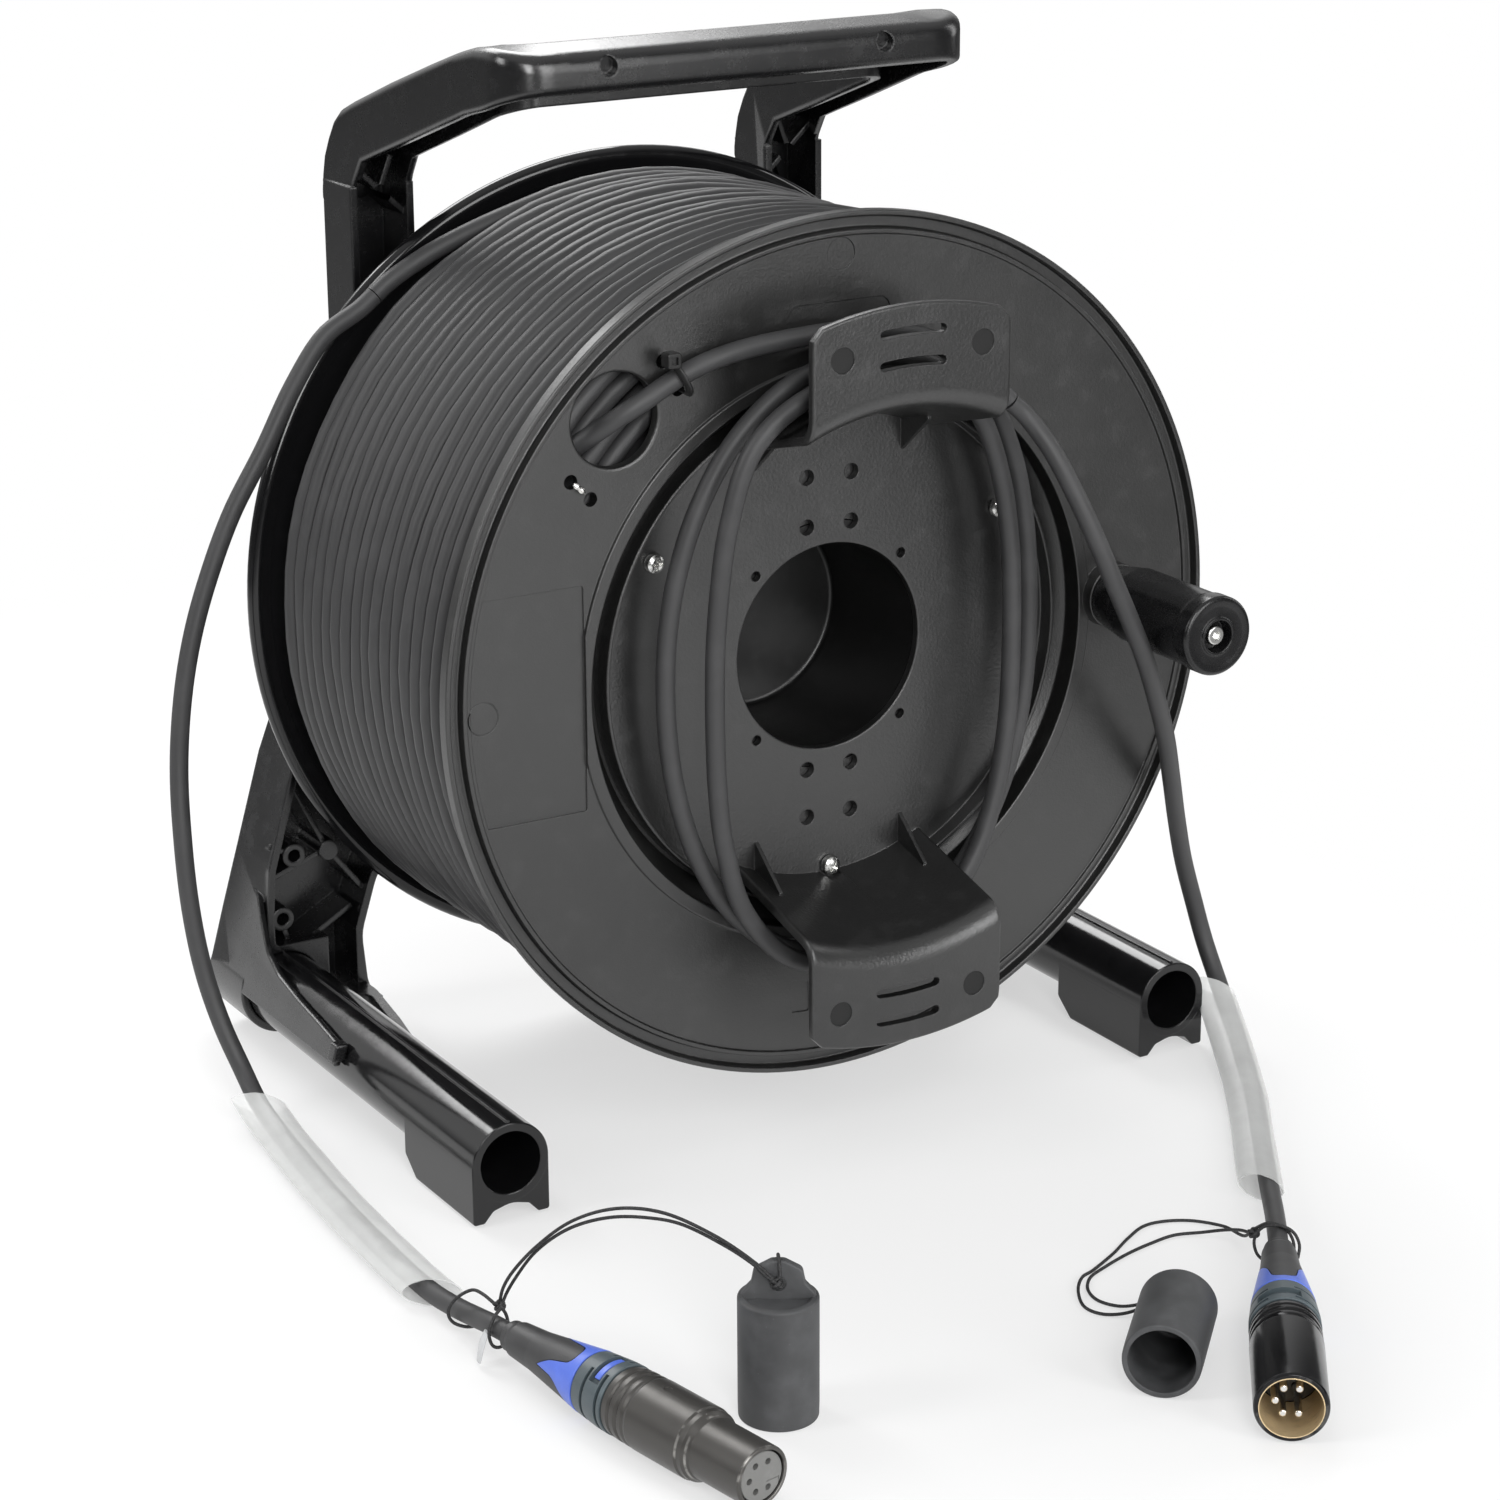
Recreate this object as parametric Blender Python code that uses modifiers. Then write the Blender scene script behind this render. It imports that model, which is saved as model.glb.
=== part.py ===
"""A long cable on a one-sided cable drum, with its two plugs, clear sleeves and rubber caps.

The scene is in metres, with +Z up and the front towards -Y. Sizes in this file are in millimetres, and
the functions that make shapes turn them into metres. y is counted back from the rim plane of the front
flange, z up from the floor.
"""

import math

import bmesh
import bpy
from mathutils import Matrix, Vector

MM = 0.001

# Driving dimensions
# Where the front flange's rim plane is, so that the origin is under the middle of the frame and drum
RIM_Y = -58.25
AXLE_Z = 143.85
FLANGE_R = 125.0
REAR_FLANGE_Y = 127.0
DISH_R = 74.4
DISH_Y = 8.3
BORE_R = 30.0
BORE_DEPTH = 54.0
GAP = 0.3

CABLE_D = 5.5
WINDING_R = 117.2
WINDING_TURNS = 16
WINDING_FRONT_Y = 11.0
WINDING_REAR_Y = 119.5
LOOP_POINTS = 24

KNOB_X = 91.7
KNOB_Z = AXLE_Z + 3.6
KNOB_END_Y = -52.0

FRAME_FRONT_Y = 142.7
FRAME_REAR_Y = 161.6
POST_OUT_X = 81.2
POST_IN_X = 60.5
WALL = 2.4

FOOT_X = 113.3
FOOT_Z = 17.4
FOOT_R = 11.8
FOOT_BORE_R = 9.2
FOOT_FRONT_Y = -7.9

PLUG_R = 9.5
PLUG_Z = 9.6
CAP_R = 10.2
CAP_WALL = 1.6
CAP_LENGTH = 33.0

# Sides of round pieces
FINE = 32
ROUND = 14
SMALL = 8

# Colour, roughness and metallic value of each finish
FINISHES = {
    "gloss_black": ((0.012, 0.012, 0.013), 0.12, 0.0),
    "satin_black": ((0.030, 0.030, 0.029), 0.42, 0.0),
    "cable_grey": ((0.060, 0.060, 0.062), 0.62, 0.0),
    "rubber": ((0.035, 0.036, 0.037), 0.75, 0.0),
    "blue": ((0.055, 0.110, 0.600), 0.45, 0.0),
    "grey_ring": ((0.090, 0.110, 0.120), 0.45, 0.0),
    "black_metal": ((0.025, 0.025, 0.027), 0.28, 0.6),
    "insert_black": ((0.030, 0.030, 0.032), 0.50, 0.0),
    "silver": ((0.750, 0.740, 0.720), 0.25, 1.0),
    "zinc": ((0.700, 0.700, 0.680), 0.30, 1.0),
    "steel": ((0.520, 0.520, 0.530), 0.30, 1.0),
    "clear_sleeve": ((0.820, 0.840, 0.820), 0.30, 0.0),
    "lanyard": ((0.020, 0.020, 0.022), 0.60, 0.0),
    "white_cord": ((0.850, 0.850, 0.850), 0.50, 0.0),
    "nylon_washer": ((0.750, 0.740, 0.700), 0.50, 0.0),
}


def clear_scene():
    """Remove what the scene holds, and make the collections of the part and of its cutters."""
    for obj in list(bpy.data.objects):
        bpy.data.objects.remove(obj, do_unlink=True)
    groups = []
    for name in ("dmx_cable_drum", "cutters"):
        group = bpy.data.collections.new(name)
        bpy.context.scene.collection.children.link(group)
        groups.append(group)
    groups[1].hide_render = True
    return groups


MODEL, CUTTERS = clear_scene()


def at(x, y, z):
    """The world point of a place given in millimetres."""
    return Vector((x, y + RIM_Y, z)) * MM


def finish(name):
    """The material of this finish, made once."""
    material = bpy.data.materials.get(name)
    if material is None:
        colour, roughness, metallic = FINISHES[name]
        material = bpy.data.materials.new(name)
        material.use_nodes = True
        shader = material.node_tree.nodes["Principled BSDF"]
        shader.inputs["Base Color"].default_value = (*colour, 1.0)
        shader.inputs["Roughness"].default_value = roughness
        shader.inputs["Metallic"].default_value = metallic
    return material


def add(name, data, finish_name=None):
    """Put data in the scene: as a named piece with its finish, or, without one, as a cutter."""
    obj = bpy.data.objects.new(name, data)
    if finish_name is None:
        CUTTERS.objects.link(obj)
        obj.hide_render = True
        obj.display_type = "WIRE"
    else:
        MODEL.objects.link(obj)
        data.materials.append(finish(finish_name))
    return obj


def evaluated_mesh(obj):
    """A mesh of the object with its modifiers or curve shape worked out, with loose caps welded."""
    graph = bpy.context.evaluated_depsgraph_get()
    mesh = bpy.data.meshes.new_from_object(obj.evaluated_get(graph))
    work = bmesh.new()
    work.from_mesh(mesh)
    bmesh.ops.remove_doubles(work, verts=work.verts, dist=1e-6)
    bmesh.ops.recalc_face_normals(work, faces=work.faces)
    if obj.modifiers:
        flat = math.radians(0.3)
        bmesh.ops.dissolve_limit(work, angle_limit=flat, verts=work.verts, edges=work.edges)
        bmesh.ops.triangulate(work, faces=work.faces)
    work.to_mesh(mesh)
    work.free()
    return mesh


def settle(curve, name, finish_name):
    """Turn a curve object into a mesh object in the same place, and remove the curve."""
    mesh = evaluated_mesh(curve)
    place = curve.matrix_world.copy()
    bpy.data.objects.remove(curve, do_unlink=True)
    obj = add(name, mesh, finish_name)
    obj.matrix_world = place
    return obj


def smooth(obj, degrees=35.0):
    """Shade the round faces of a piece smooth and keep its corners sharp."""
    obj.data.shade_smooth()
    obj.data.set_sharp_from_angle(angle=math.radians(degrees))
    return obj


def box(name, low, high, finish_name=None):
    """A box between two corners."""
    mesh = bpy.data.meshes.new(name)
    work = bmesh.new()
    bmesh.ops.create_cube(work, size=1.0)
    size = Vector([b - a for a, b in zip(low, high)]) * MM
    middle = at(*[(a + b) / 2 for a, b in zip(low, high)])
    bmesh.ops.scale(work, vec=size, verts=work.verts)
    bmesh.ops.translate(work, vec=middle, verts=work.verts)
    work.to_mesh(mesh)
    work.free()
    return add(name, mesh, finish_name)


def rod(name, start, end, radius, finish_name=None, sides=SMALL, end_radius=None):
    """A cylinder or a cone between two places."""
    first = at(*start)
    last = at(*end)
    axis = last - first
    mesh = bpy.data.meshes.new(name)
    work = bmesh.new()
    bmesh.ops.create_cone(
        work,
        cap_ends=True,
        segments=sides,
        radius1=radius * MM,
        radius2=(radius if end_radius is None else end_radius) * MM,
        depth=axis.length,
    )
    turn = axis.to_track_quat("Z", "Y").to_matrix().to_4x4()
    bmesh.ops.transform(work, matrix=Matrix.Translation((first + last) / 2) @ turn, verts=work.verts)
    work.to_mesh(mesh)
    work.free()
    return smooth(add(name, mesh, finish_name))


def with_round_corners(outline):
    """The outline's corners as 2D points, where a corner (a, b, radius) becomes an arc."""
    corners = []
    for index, corner in enumerate(outline):
        place = Vector(corner[:2])
        if len(corner) == 2:
            corners.append(place)
            continue
        before = Vector(outline[index - 1][:2]) - place
        after = Vector(outline[(index + 1) % len(outline)][:2]) - place
        half = before.angle(after) / 2
        cut = min(corner[2] / math.tan(half), 0.48 * before.length, 0.48 * after.length)
        middle = place + (before.normalized() + after.normalized()).normalized() * cut / math.cos(half)
        first = place + before.normalized() * cut - middle
        last = place + after.normalized() * cut - middle
        sweep = first.angle_signed(last)
        steps = max(1, round(abs(sweep) / math.radians(40)))
        for step in range(steps + 1):
            corners.append(middle + Matrix.Rotation(-sweep * step / steps, 2) @ first)
    return corners


PRISM_AXES = {
    "x": Matrix(((0, 0, 1, 0), (1, 0, 0, 0), (0, 1, 0, 0), (0, 0, 0, 1))),
    "y": Matrix(((1, 0, 0, 0), (0, 0, -1, 0), (0, 1, 0, 0), (0, 0, 0, 1))),
    "z": Matrix.Identity(4),
}


def prism(name, outline, axis, low, high, finish_name=None, holes=()):
    """A flat outline given thickness along x, y or z. Its points are (y, z), (x, z) or (x, y)."""
    curve = bpy.data.curves.new(name, "CURVE")
    curve.dimensions = "2D"
    curve.fill_mode = "BOTH"
    curve.extrude = (high - low) / 2 * MM
    for ring in (outline, *holes):
        corners = with_round_corners(ring)
        spline = curve.splines.new("POLY")
        spline.points.add(len(corners) - 1)
        for item, corner in zip(spline.points, corners):
            item.co = (corner[0] * MM, corner[1] * MM, 0.0, 1.0)
        spline.use_cyclic_u = True
    obj = add(name + "_outline", curve)
    middle = (low + high) / 2
    place = {"x": (middle, 0, 0), "y": (0, middle, 0), "z": (0, 0, middle)}[axis]
    obj.matrix_world = Matrix.Translation(at(*place)) @ PRISM_AXES[axis]
    bpy.context.view_layer.update()
    return settle(obj, name, finish_name)


def turned(name, profile, place, finish_name=None, sides=FINE):
    """A profile of (radius, distance along the axis) turned about the local Z axis of a place."""
    closed = profile[0][0] > 0
    area = sum(a[0] * b[1] - b[0] * a[1] for a, b in zip(profile, profile[1:] + profile[:1]))
    if area > 0:
        profile = profile[::-1]
    mesh = bpy.data.meshes.new(name)
    points = [(radius * MM, 0.0, along * MM) for radius, along in profile]
    edges = [(index, index + 1) for index in range(len(points) - 1)]
    if closed:
        edges.append((len(points) - 1, 0))
    mesh.from_pydata(points, edges, [])
    obj = add(name, mesh, finish_name)
    screw = obj.modifiers.new("Turn", "SCREW")
    screw.axis = "Z"
    screw.steps = sides
    screw.render_steps = sides
    screw.use_merge_vertices = True
    screw.merge_threshold = 1e-5
    graph = bpy.context.evaluated_depsgraph_get()
    work = bmesh.new()
    work.from_mesh(bpy.data.meshes.new_from_object(obj.evaluated_get(graph)))
    screw.use_normal_flip = work.calc_volume(signed=True) < 0
    work.free()
    obj.matrix_world = place
    return obj


def combine(obj, operation, others):
    """Join other shapes to a piece, cut them out of it or keep what they share, one after another."""
    for other in others:
        boolean = obj.modifiers.new(other.name, "BOOLEAN")
        boolean.operation = operation
        boolean.object = other
        boolean.solver = "EXACT"
    return obj


def join(obj, *others):
    return combine(obj, "UNION", others)


def cut(obj, *others):
    return combine(obj, "DIFFERENCE", others)


def keep_common(obj, *others):
    return combine(obj, "INTERSECT", others)


def finished(obj):
    """Work out the modifiers of a piece, and shade it smooth between its corners."""
    bpy.context.view_layer.update()
    obj.data = evaluated_mesh(obj)
    obj.modifiers.clear()
    return smooth(obj)


def tube(name, points, diameter, finish_name=None, resolution=2, cyclic=False):
    """A round cord through world points, with filled ends."""
    curve = bpy.data.curves.new(name, "CURVE")
    curve.dimensions = "3D"
    curve.bevel_depth = diameter / 2 * MM
    curve.bevel_resolution = resolution
    curve.use_fill_caps = True
    spline = curve.splines.new("POLY")
    spline.points.add(len(points) - 1)
    for item, point in zip(spline.points, points):
        item.co = (*point, 1.0)
    spline.use_cyclic_u = cyclic
    spline.use_smooth = True
    return add(name, curve, finish_name)


def spline_through(route, samples=16):
    """Close points on a centripetal Catmull-Rom curve through the places of a route."""
    places = [route[0] * 2 - route[1], *route, route[-1] * 2 - route[-2]]
    fine = []
    for index in range(1, len(places) - 2):
        p0, p1, p2, p3 = places[index - 1 : index + 3]
        t1 = math.sqrt((p1 - p0).length)
        t2 = t1 + math.sqrt((p2 - p1).length)
        t3 = t2 + math.sqrt((p3 - p2).length)
        for step in range(samples):
            t = t1 + (t2 - t1) * step / samples
            a1 = p0.lerp(p1, t / t1)
            a2 = p1.lerp(p2, (t - t1) / (t2 - t1))
            a3 = p2.lerp(p3, (t - t2) / (t3 - t2))
            b1 = a1.lerp(a2, t / t2)
            b2 = a2.lerp(a3, (t - t1) / (t3 - t1))
            fine.append(b1.lerp(b2, (t - t1) / (t2 - t1)))
    fine.append(places[-2])
    return fine


def evenly(points, spacing):
    """Points at equal distances along a run of close points, ends kept."""
    lengths = [0.0]
    for before, after in zip(points, points[1:]):
        lengths.append(lengths[-1] + (after - before).length)
    count = max(1, round(lengths[-1] / spacing))
    even = []
    index = 0
    for step in range(count + 1):
        wanted = lengths[-1] * step / count
        while index < len(points) - 2 and lengths[index + 1] < wanted:
            index += 1
        span = lengths[index + 1] - lengths[index]
        even.append(points[index].lerp(points[index + 1], (wanted - lengths[index]) / span))
    return even


def cord_route(start, start_way, places, end, end_way, spacing):
    """Cord points from start to end, straight for one cable diameter at each end, smooth between."""
    straight = CABLE_D * 1.1 * MM
    first = start + start_way * straight
    last = end - end_way * straight
    middle = evenly(spline_through([start, first, *places, last, end]), spacing * MM)
    kept = [p for p in middle if (p - start).length > 2 * straight and (p - end).length > 2 * straight]
    return [start, first, *kept, last, end]


def least_gap(points, diameter, skip):
    """The least clear distance of a cord to itself, in millimetres, between points over skip apart."""
    least = math.inf
    for index, point in enumerate(points):
        for other, following in zip(points[index + skip :], points[index + skip + 1 :]):
            along = following - other
            share = min(max((point - other).dot(along) / along.length_squared, 0.0), 1.0)
            least = min(least, (point - other - along * share).length)
    return least / MM - diameter


# Places of the turned pieces: their local Z axis is the axis that they are turned about
BACKWARDS = Matrix.Rotation(math.radians(-90), 4, "X")
DRUM = Matrix.Translation(at(0, 0, AXLE_Z)) @ BACKWARDS
CRANK = Matrix.Translation(at(KNOB_X, 0, KNOB_Z)) @ BACKWARDS
# Takes a shape laid out from the rim plane to one laid out from the scene's origin
FROM_RIM = Matrix.Translation((0.0, -RIM_Y * MM, 0.0))


def around(radius, degrees, y=0.0):
    """The place at this radius and angle on the drum, counted from its right side upwards."""
    angle = math.radians(degrees)
    return (radius * math.cos(angle), y, AXLE_Z + radius * math.sin(angle))


# Front flange
FLANGE_FACE_Y = 0.8
FLANGE_BACK_Y = 4.0
WEB_Y = (11.1, 14.0)
EXIT_HOLE = (-71.9, AXLE_Z + 76.0)
EXIT_HOLE_R = 13.0
TIE_HOLES = ((-57.1, AXLE_Z + 90.3), (-52.6, AXLE_Z + 82.2))
WIRE_HOLES = ((-85.6, AXLE_Z + 60.9), (-79.7, AXLE_Z + 55.4))
SCREW_R = 65.6
SCREW_ANGLES = (30, 150, 270)
PIN_R = 4.0


def front_flange():
    """The disc at the front, with its grooved rim, a step down to the dish and the web behind the dish."""
    profile = [
        (125.0, 0.0),
        (125.0, FLANGE_BACK_Y),
        (84.0, FLANGE_BACK_Y),
        (84.0, WEB_Y[1]),
        (36.3, WEB_Y[1]),
        (36.3, WEB_Y[0]),
        (75.4, WEB_Y[0]),
        (80.7, 6.5),
        (80.7, 0.0),
        (84.5, 0.0),
        (84.7, FLANGE_FACE_Y),
        (118.4, FLANGE_FACE_Y),
        (118.7, 0.0),
        (119.8, 0.0),
        (120.2, 2.6),
        (123.2, 2.6),
        (123.5, 0.0),
    ]
    flange = turned("front_flange", profile, DRUM, "satin_black")
    boss = rod("crank_boss", (KNOB_X, -3.6, KNOB_Z), (KNOB_X, 2.0, KNOB_Z), 9.6, sides=16)
    join(flange, boss)
    label = [
        (-82.5, AXLE_Z - 32),
        (-82.5, AXLE_Z + 32),
        *[around(117.6, degrees)[::2] for degrees in (164.2, 172, 180, 188, 195.8)],
    ]
    bar = [
        (-18, AXLE_Z + 92.6, 3),
        (15, AXLE_Z + 92.6, 3),
        (15, AXLE_Z + 100.5, 3),
        (-18, AXLE_Z + 100.5, 3),
    ]
    exit_x, exit_z = EXIT_HOLE
    mark_z = AXLE_Z + 113.6
    cut(
        flange,
        rod("crank_well", (KNOB_X, -5.0, KNOB_Z), (KNOB_X, FLANGE_FACE_Y, KNOB_Z), 8.0, sides=16),
        rod("pin_hole", (KNOB_X, -2.0, KNOB_Z), (KNOB_X, 6.0, KNOB_Z), PIN_R + GAP),
        rod("exit_hole", (exit_x, -2.0, exit_z), (exit_x, 6.0, exit_z), EXIT_HOLE_R, sides=18),
        prism("label_recess", label, "y", -1.0, FLANGE_FACE_Y + 0.5),
        rod("ejector_mark", (-1, -1, mark_z), (-1, FLANGE_FACE_Y + 0.4, mark_z), 4.2),
        prism("bar_recess", bar, "y", -1.0, FLANGE_FACE_Y + 0.5),
    )
    for number, (x, z) in enumerate((*TIE_HOLES, *WIRE_HOLES), 1):
        cut(flange, rod(f"tie_hole_{number}", (x, -2, z), (x, 6, z), 2.0, sides=8))
    for number, degrees in enumerate(SCREW_ANGLES, 1):
        x, _, z = around(SCREW_R, degrees)
        cut(flange, rod(f"web_hole_{number}", (x, 10, z), (x, 16, z), 1.8, sides=8))
    return finished(flange)


def rear_flange():
    """The gloss disc at the back, with a rounded bead at its edge and a bearing sleeve in the middle."""
    profile = [
        (121.0, REAR_FLANGE_Y),
        (124.2, REAR_FLANGE_Y + 0.8),
        (FLANGE_R, 129.6),
        (124.2, 131.4),
        (121.0, 132.2),
        (119.5, 130.4),
        (18.0, 130.4),
        (18.0, 134.4),
        (10.3, 134.4),
        (10.3, 110.0),
        (16.0, 110.0),
        (16.0, REAR_FLANGE_Y + 0.6),
        (119.5, REAR_FLANGE_Y + 0.6),
    ]
    return finished(turned("rear_flange", profile, DRUM, "gloss_black"))


def drum_inside():
    """The barrel between the flanges, the cup in the middle of the face, and the wound cable's core."""
    barrel = [(60.0, 14.3), (64.0, 14.3), (64.0, 127.3), (60.0, 127.3)]
    finished(turned("drum_barrel", barrel, DRUM, "satin_black", 12))
    cup = [
        (0.0, BORE_DEPTH),
        (BORE_R, BORE_DEPTH),
        (BORE_R, WEB_Y[0]),
        (36.0, WEB_Y[0]),
        (36.0, 13.6),
        (32.4, 13.6),
        (32.4, BORE_DEPTH + 2.4),
        (0.0, BORE_DEPTH + 2.4),
    ]
    finished(turned("hub_cup", cup, DRUM, "satin_black", 24))
    core = [(64.3, 14.3), (112.6, 14.3), (112.6, 127.3), (64.3, 127.3)]
    finished(turned("winding_core", core, DRUM, "cable_grey", LOOP_POINTS))


# Winding bracket
HOOK_HALF_X = 31.5
LIP_Y = (-34.0, -31.0)
LIP_R = 105.8
SLOT_HALF_X = 10.3


def shelf_radius(y, outer):
    """The hook shelf's inner or outer radius at y, which widens towards the front."""
    share = (DISH_Y - y) / (DISH_Y + 28.0)
    return (70.0 + 8.9 * share) if outer else (67.0 + 9.2 * share)


def hook(name, up):
    """One storage hook: a curved shelf that bends into a lip, with slots, gussets and moulding marks."""
    bend = [
        (82.0 - 5.8 * math.cos(angle), -28.0 - 6.0 * math.sin(angle))
        for angle in (math.radians(step * 30.0) for step in range(1, 4))
    ]
    profile = [
        (shelf_radius(9.5, False), 9.5),
        (shelf_radius(-28.0, False), -28.0),
        *bend,
        (109.0, LIP_Y[0]),
        (109.0, LIP_Y[1]),
        (83.0, LIP_Y[1]),
        (80.2, -30.0),
        (shelf_radius(-27.0, True), -27.0),
        (shelf_radius(9.5, True), 9.5),
    ]
    shelf = turned(name, profile, DRUM, sides=48)
    edge = [
        (LIP_R * math.sin(angle), AXLE_Z + up * LIP_R * math.cos(angle))
        for angle in (math.radians(step * 6.0) for step in range(-2, 3))
    ]
    side_z = AXLE_Z + up * math.sqrt(LIP_R**2 - HOOK_HALF_X**2)
    outline = [
        (HOOK_HALF_X, side_z, 3.0),
        (HOOK_HALF_X, AXLE_Z + up * 50.0),
        (-HOOK_HALF_X, AXLE_Z + up * 50.0),
        (-HOOK_HALF_X, side_z, 3.0),
        *edge,
    ]
    keep_common(shelf, prism(name + "_sides", outline, "y", -36.0, 9.5))
    for radius in (90.0, 98.5):
        lean = SLOT_HALF_X / radius
        slot = [
            ((radius + side) * math.sin(angle), AXLE_Z + up * (radius + side) * math.cos(angle))
            for side, way in ((1.0, 1), (-1.0, -1))
            for angle in (way * lean * step for step in (-1, 0, 1))
        ]
        cut(shelf, prism(f"{name}_slot_{radius:.0f}", slot, "y", -36.0, -29.0))
    for side in (-1, 1):
        gusset = [
            (9.5, AXLE_Z + up * 54.5),
            (DISH_Y - 0.2, AXLE_Z + up * 54.5),
            (-4.8, AXLE_Z + up * 65.4),
            (-4.8, AXLE_Z + up * 67.0),
            (9.5, AXLE_Z + up * 64.2),
        ]
        join(shelf, prism(f"{name}_gusset_{side}", gusset, "x", side * 24.3 - 0.6, side * 24.3 + 0.6))
    return shelf


def winding_bracket():
    """The round dish on the drum's face with a hook at the top and one at the bottom."""
    dish = [
        (BORE_R, DISH_Y),
        (73.1, DISH_Y),
        (73.5, 3.6),
        (DISH_R, 3.6),
        (DISH_R, 10.8),
        (BORE_R, 10.8),
    ]
    bracket = turned("winding_bracket", dish, DRUM, "satin_black")
    join(bracket, hook("hook_top", 1), hook("hook_bottom", -1))
    for number, degrees in enumerate(SCREW_ANGLES, 1):
        x, _, z = around(SCREW_R, degrees)
        cut(
            bracket,
            rod(f"screw_hole_{number}", (x, 7, z), (x, 12, z), 1.8, sides=8),
            rod(f"screw_room_{number}", (x, 2.0, z), (x, DISH_Y, z), 3.5, sides=10),
        )
    for x in (-7.3, 7.3):
        for height in (-50.0, -35.7, 35.7, 50.0):
            z = AXLE_Z + height
            cut(bracket, rod(f"dish_hole_{x}_{height}", (x, 7, z), (x, 12, z), 2.3, sides=8))
    for x in (-24.0, 24.0):
        for height in (-24.0, 24.0):
            z = AXLE_Z + height
            cut(bracket, rod(f"pilot_hole_{x}_{height}", (x, 7, z), (x, 12, z), 1.5, sides=6))
    return finished(bracket)


def bracket_screws():
    """Pan-head screws that hold the bracket to the web."""
    for number, degrees in enumerate(SCREW_ANGLES, 1):
        profile = [
            (0.0, 5.6),
            (2.0, 6.0),
            (3.0, 7.2),
            (3.0, 8.0),
            (1.4, 8.0),
            (1.4, 13.8),
            (0.0, 13.8),
        ]
        x, _, z = around(SCREW_R, degrees)
        place = Matrix.Translation(at(x, 0, z)) @ BACKWARDS
        finished(turned(f"bracket_screw_{number}", profile, place, "zinc", SMALL))


# Cable ends on the drum: from the winding to the outer lead, and from the storage wraps to the inner lead
OUTER_END = at(-84.0, 122.0, AXLE_Z + 90.35)
OUTER_WAY = Vector((-0.80, 0.02, -0.60)).normalized()
INNER_END = at(41.0, -20.0, AXLE_Z + 71.65)
INNER_WAY = Vector((0.72, -0.16, -0.68)).normalized()
TAIL_ANGLE = 108.0


def winding_points():
    """The outer layer: an even helix towards the back, whose last end rises off the layer."""
    turn = 360.0 / LOOP_POINTS
    count = WINDING_TURNS * LOOP_POINTS
    pitch = (WINDING_REAR_Y - WINDING_FRONT_Y) / WINDING_TURNS
    points = []
    for step in range(count + 1):
        angle = TAIL_ANGLE + (step - count) * turn
        points.append(at(*around(WINDING_R, angle, WINDING_FRONT_Y + pitch * step / LOOP_POINTS)))
    for share in (0.4, 0.75):
        angle = TAIL_ANGLE + 21.0 * share
        points.append(at(*around(WINDING_R + 5.6 * share**1.5, angle, WINDING_REAR_Y + 2.3 * share)))
    straight = OUTER_WAY * CABLE_D * 1.1 * MM
    return [*points, OUTER_END - straight, OUTER_END]


# Half the height or width and the depth of the storage wraps at each quarter turn, from the first top on
WRAP_QUARTERS = (
    (93.8, -8.0),
    (60.5, -3.0),
    (88.5, -2.9),
    (60.0, -3.5),
    (86.8, -9.8),
    (50.5, -9.2),
    (88.5, -9.6),
    (48.5, -10.5),
    (82.4, -20.5),
    (84.0, -20.0),
)
# How square each quarter's curve is, where 2 is an ellipse
WRAP_POWERS = (2.2, 2.1, 2.1, 2.2, 2.5, 2.4, 2.8, 3.6, 2.0)
WRAP_LAST_ANGLE = 22.0
EXIT_ROUTE = (
    (-85.5, 11.0, AXLE_Z + 62.5),
    (-81.0, 9.4, AXLE_Z + 67.3),
    (-76.6, 4.2, AXLE_Z + 72.2),
    (-72.4, -0.4, AXLE_Z + 76.6),
    (-66.0, -3.0, AXLE_Z + 80.8),
    (-55.1, -3.2, AXLE_Z + 86.2),
    (-46.0, -3.6, AXLE_Z + 89.5),
    (-35.5, -4.6, AXLE_Z + 91.9),
    (-22.0, -6.6, AXLE_Z + 93.6),
)


def wrap_place(degrees):
    """The place of the storage wraps at an angle counted clockwise from the first top."""
    quarter = int(degrees // 90)
    share = degrees / 90 - quarter
    here, there = WRAP_QUARTERS[quarter : quarter + 2]
    tall, wide = (here[0], there[0]) if quarter % 2 == 0 else (there[0], here[0])
    power = WRAP_POWERS[quarter]
    angle = math.radians(degrees)
    reach = (abs(math.sin(angle) / wide) ** power + abs(math.cos(angle) / tall) ** power) ** (-1 / power)
    ease = (1 - math.cos(math.pi * share)) / 2
    depth = here[1] + (there[1] - here[1]) * ease
    return at(reach * math.sin(angle), depth, AXLE_Z + reach * math.cos(angle))


def wrap_points():
    """The inner end of the cable: out through the exit hole, twice round the hooks and off the top one."""
    turn = 360.0 / LOOP_POINTS
    last = int((720.0 + WRAP_LAST_ANGLE) // turn)
    loops = [wrap_place(step * turn) for step in range(last + 1)]
    straight = INNER_WAY * CABLE_D * 1.1 * MM
    way_in = spline_through([at(*place) for place in EXIT_ROUTE] + loops[:2])
    way_in = evenly(way_in[: -2 * 16 + 15], 10.0 * MM)
    return [*way_in, *loops[1:], INNER_END - straight, INNER_END]


def wound_cable():
    """The two wound forms, each one unbroken tube."""
    winding = winding_points()
    tube("winding", winding, CABLE_D, "cable_grey", resolution=1)
    wraps = wrap_points()
    tube("storage_wraps", wraps, CABLE_D, "cable_grey", resolution=1)
    print(f"winding: least gap to itself {least_gap(winding, CABLE_D, 4):.2f} mm")
    print(f"storage wraps: least gap to itself {least_gap(wraps, CABLE_D, 4):.2f} mm")


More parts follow.
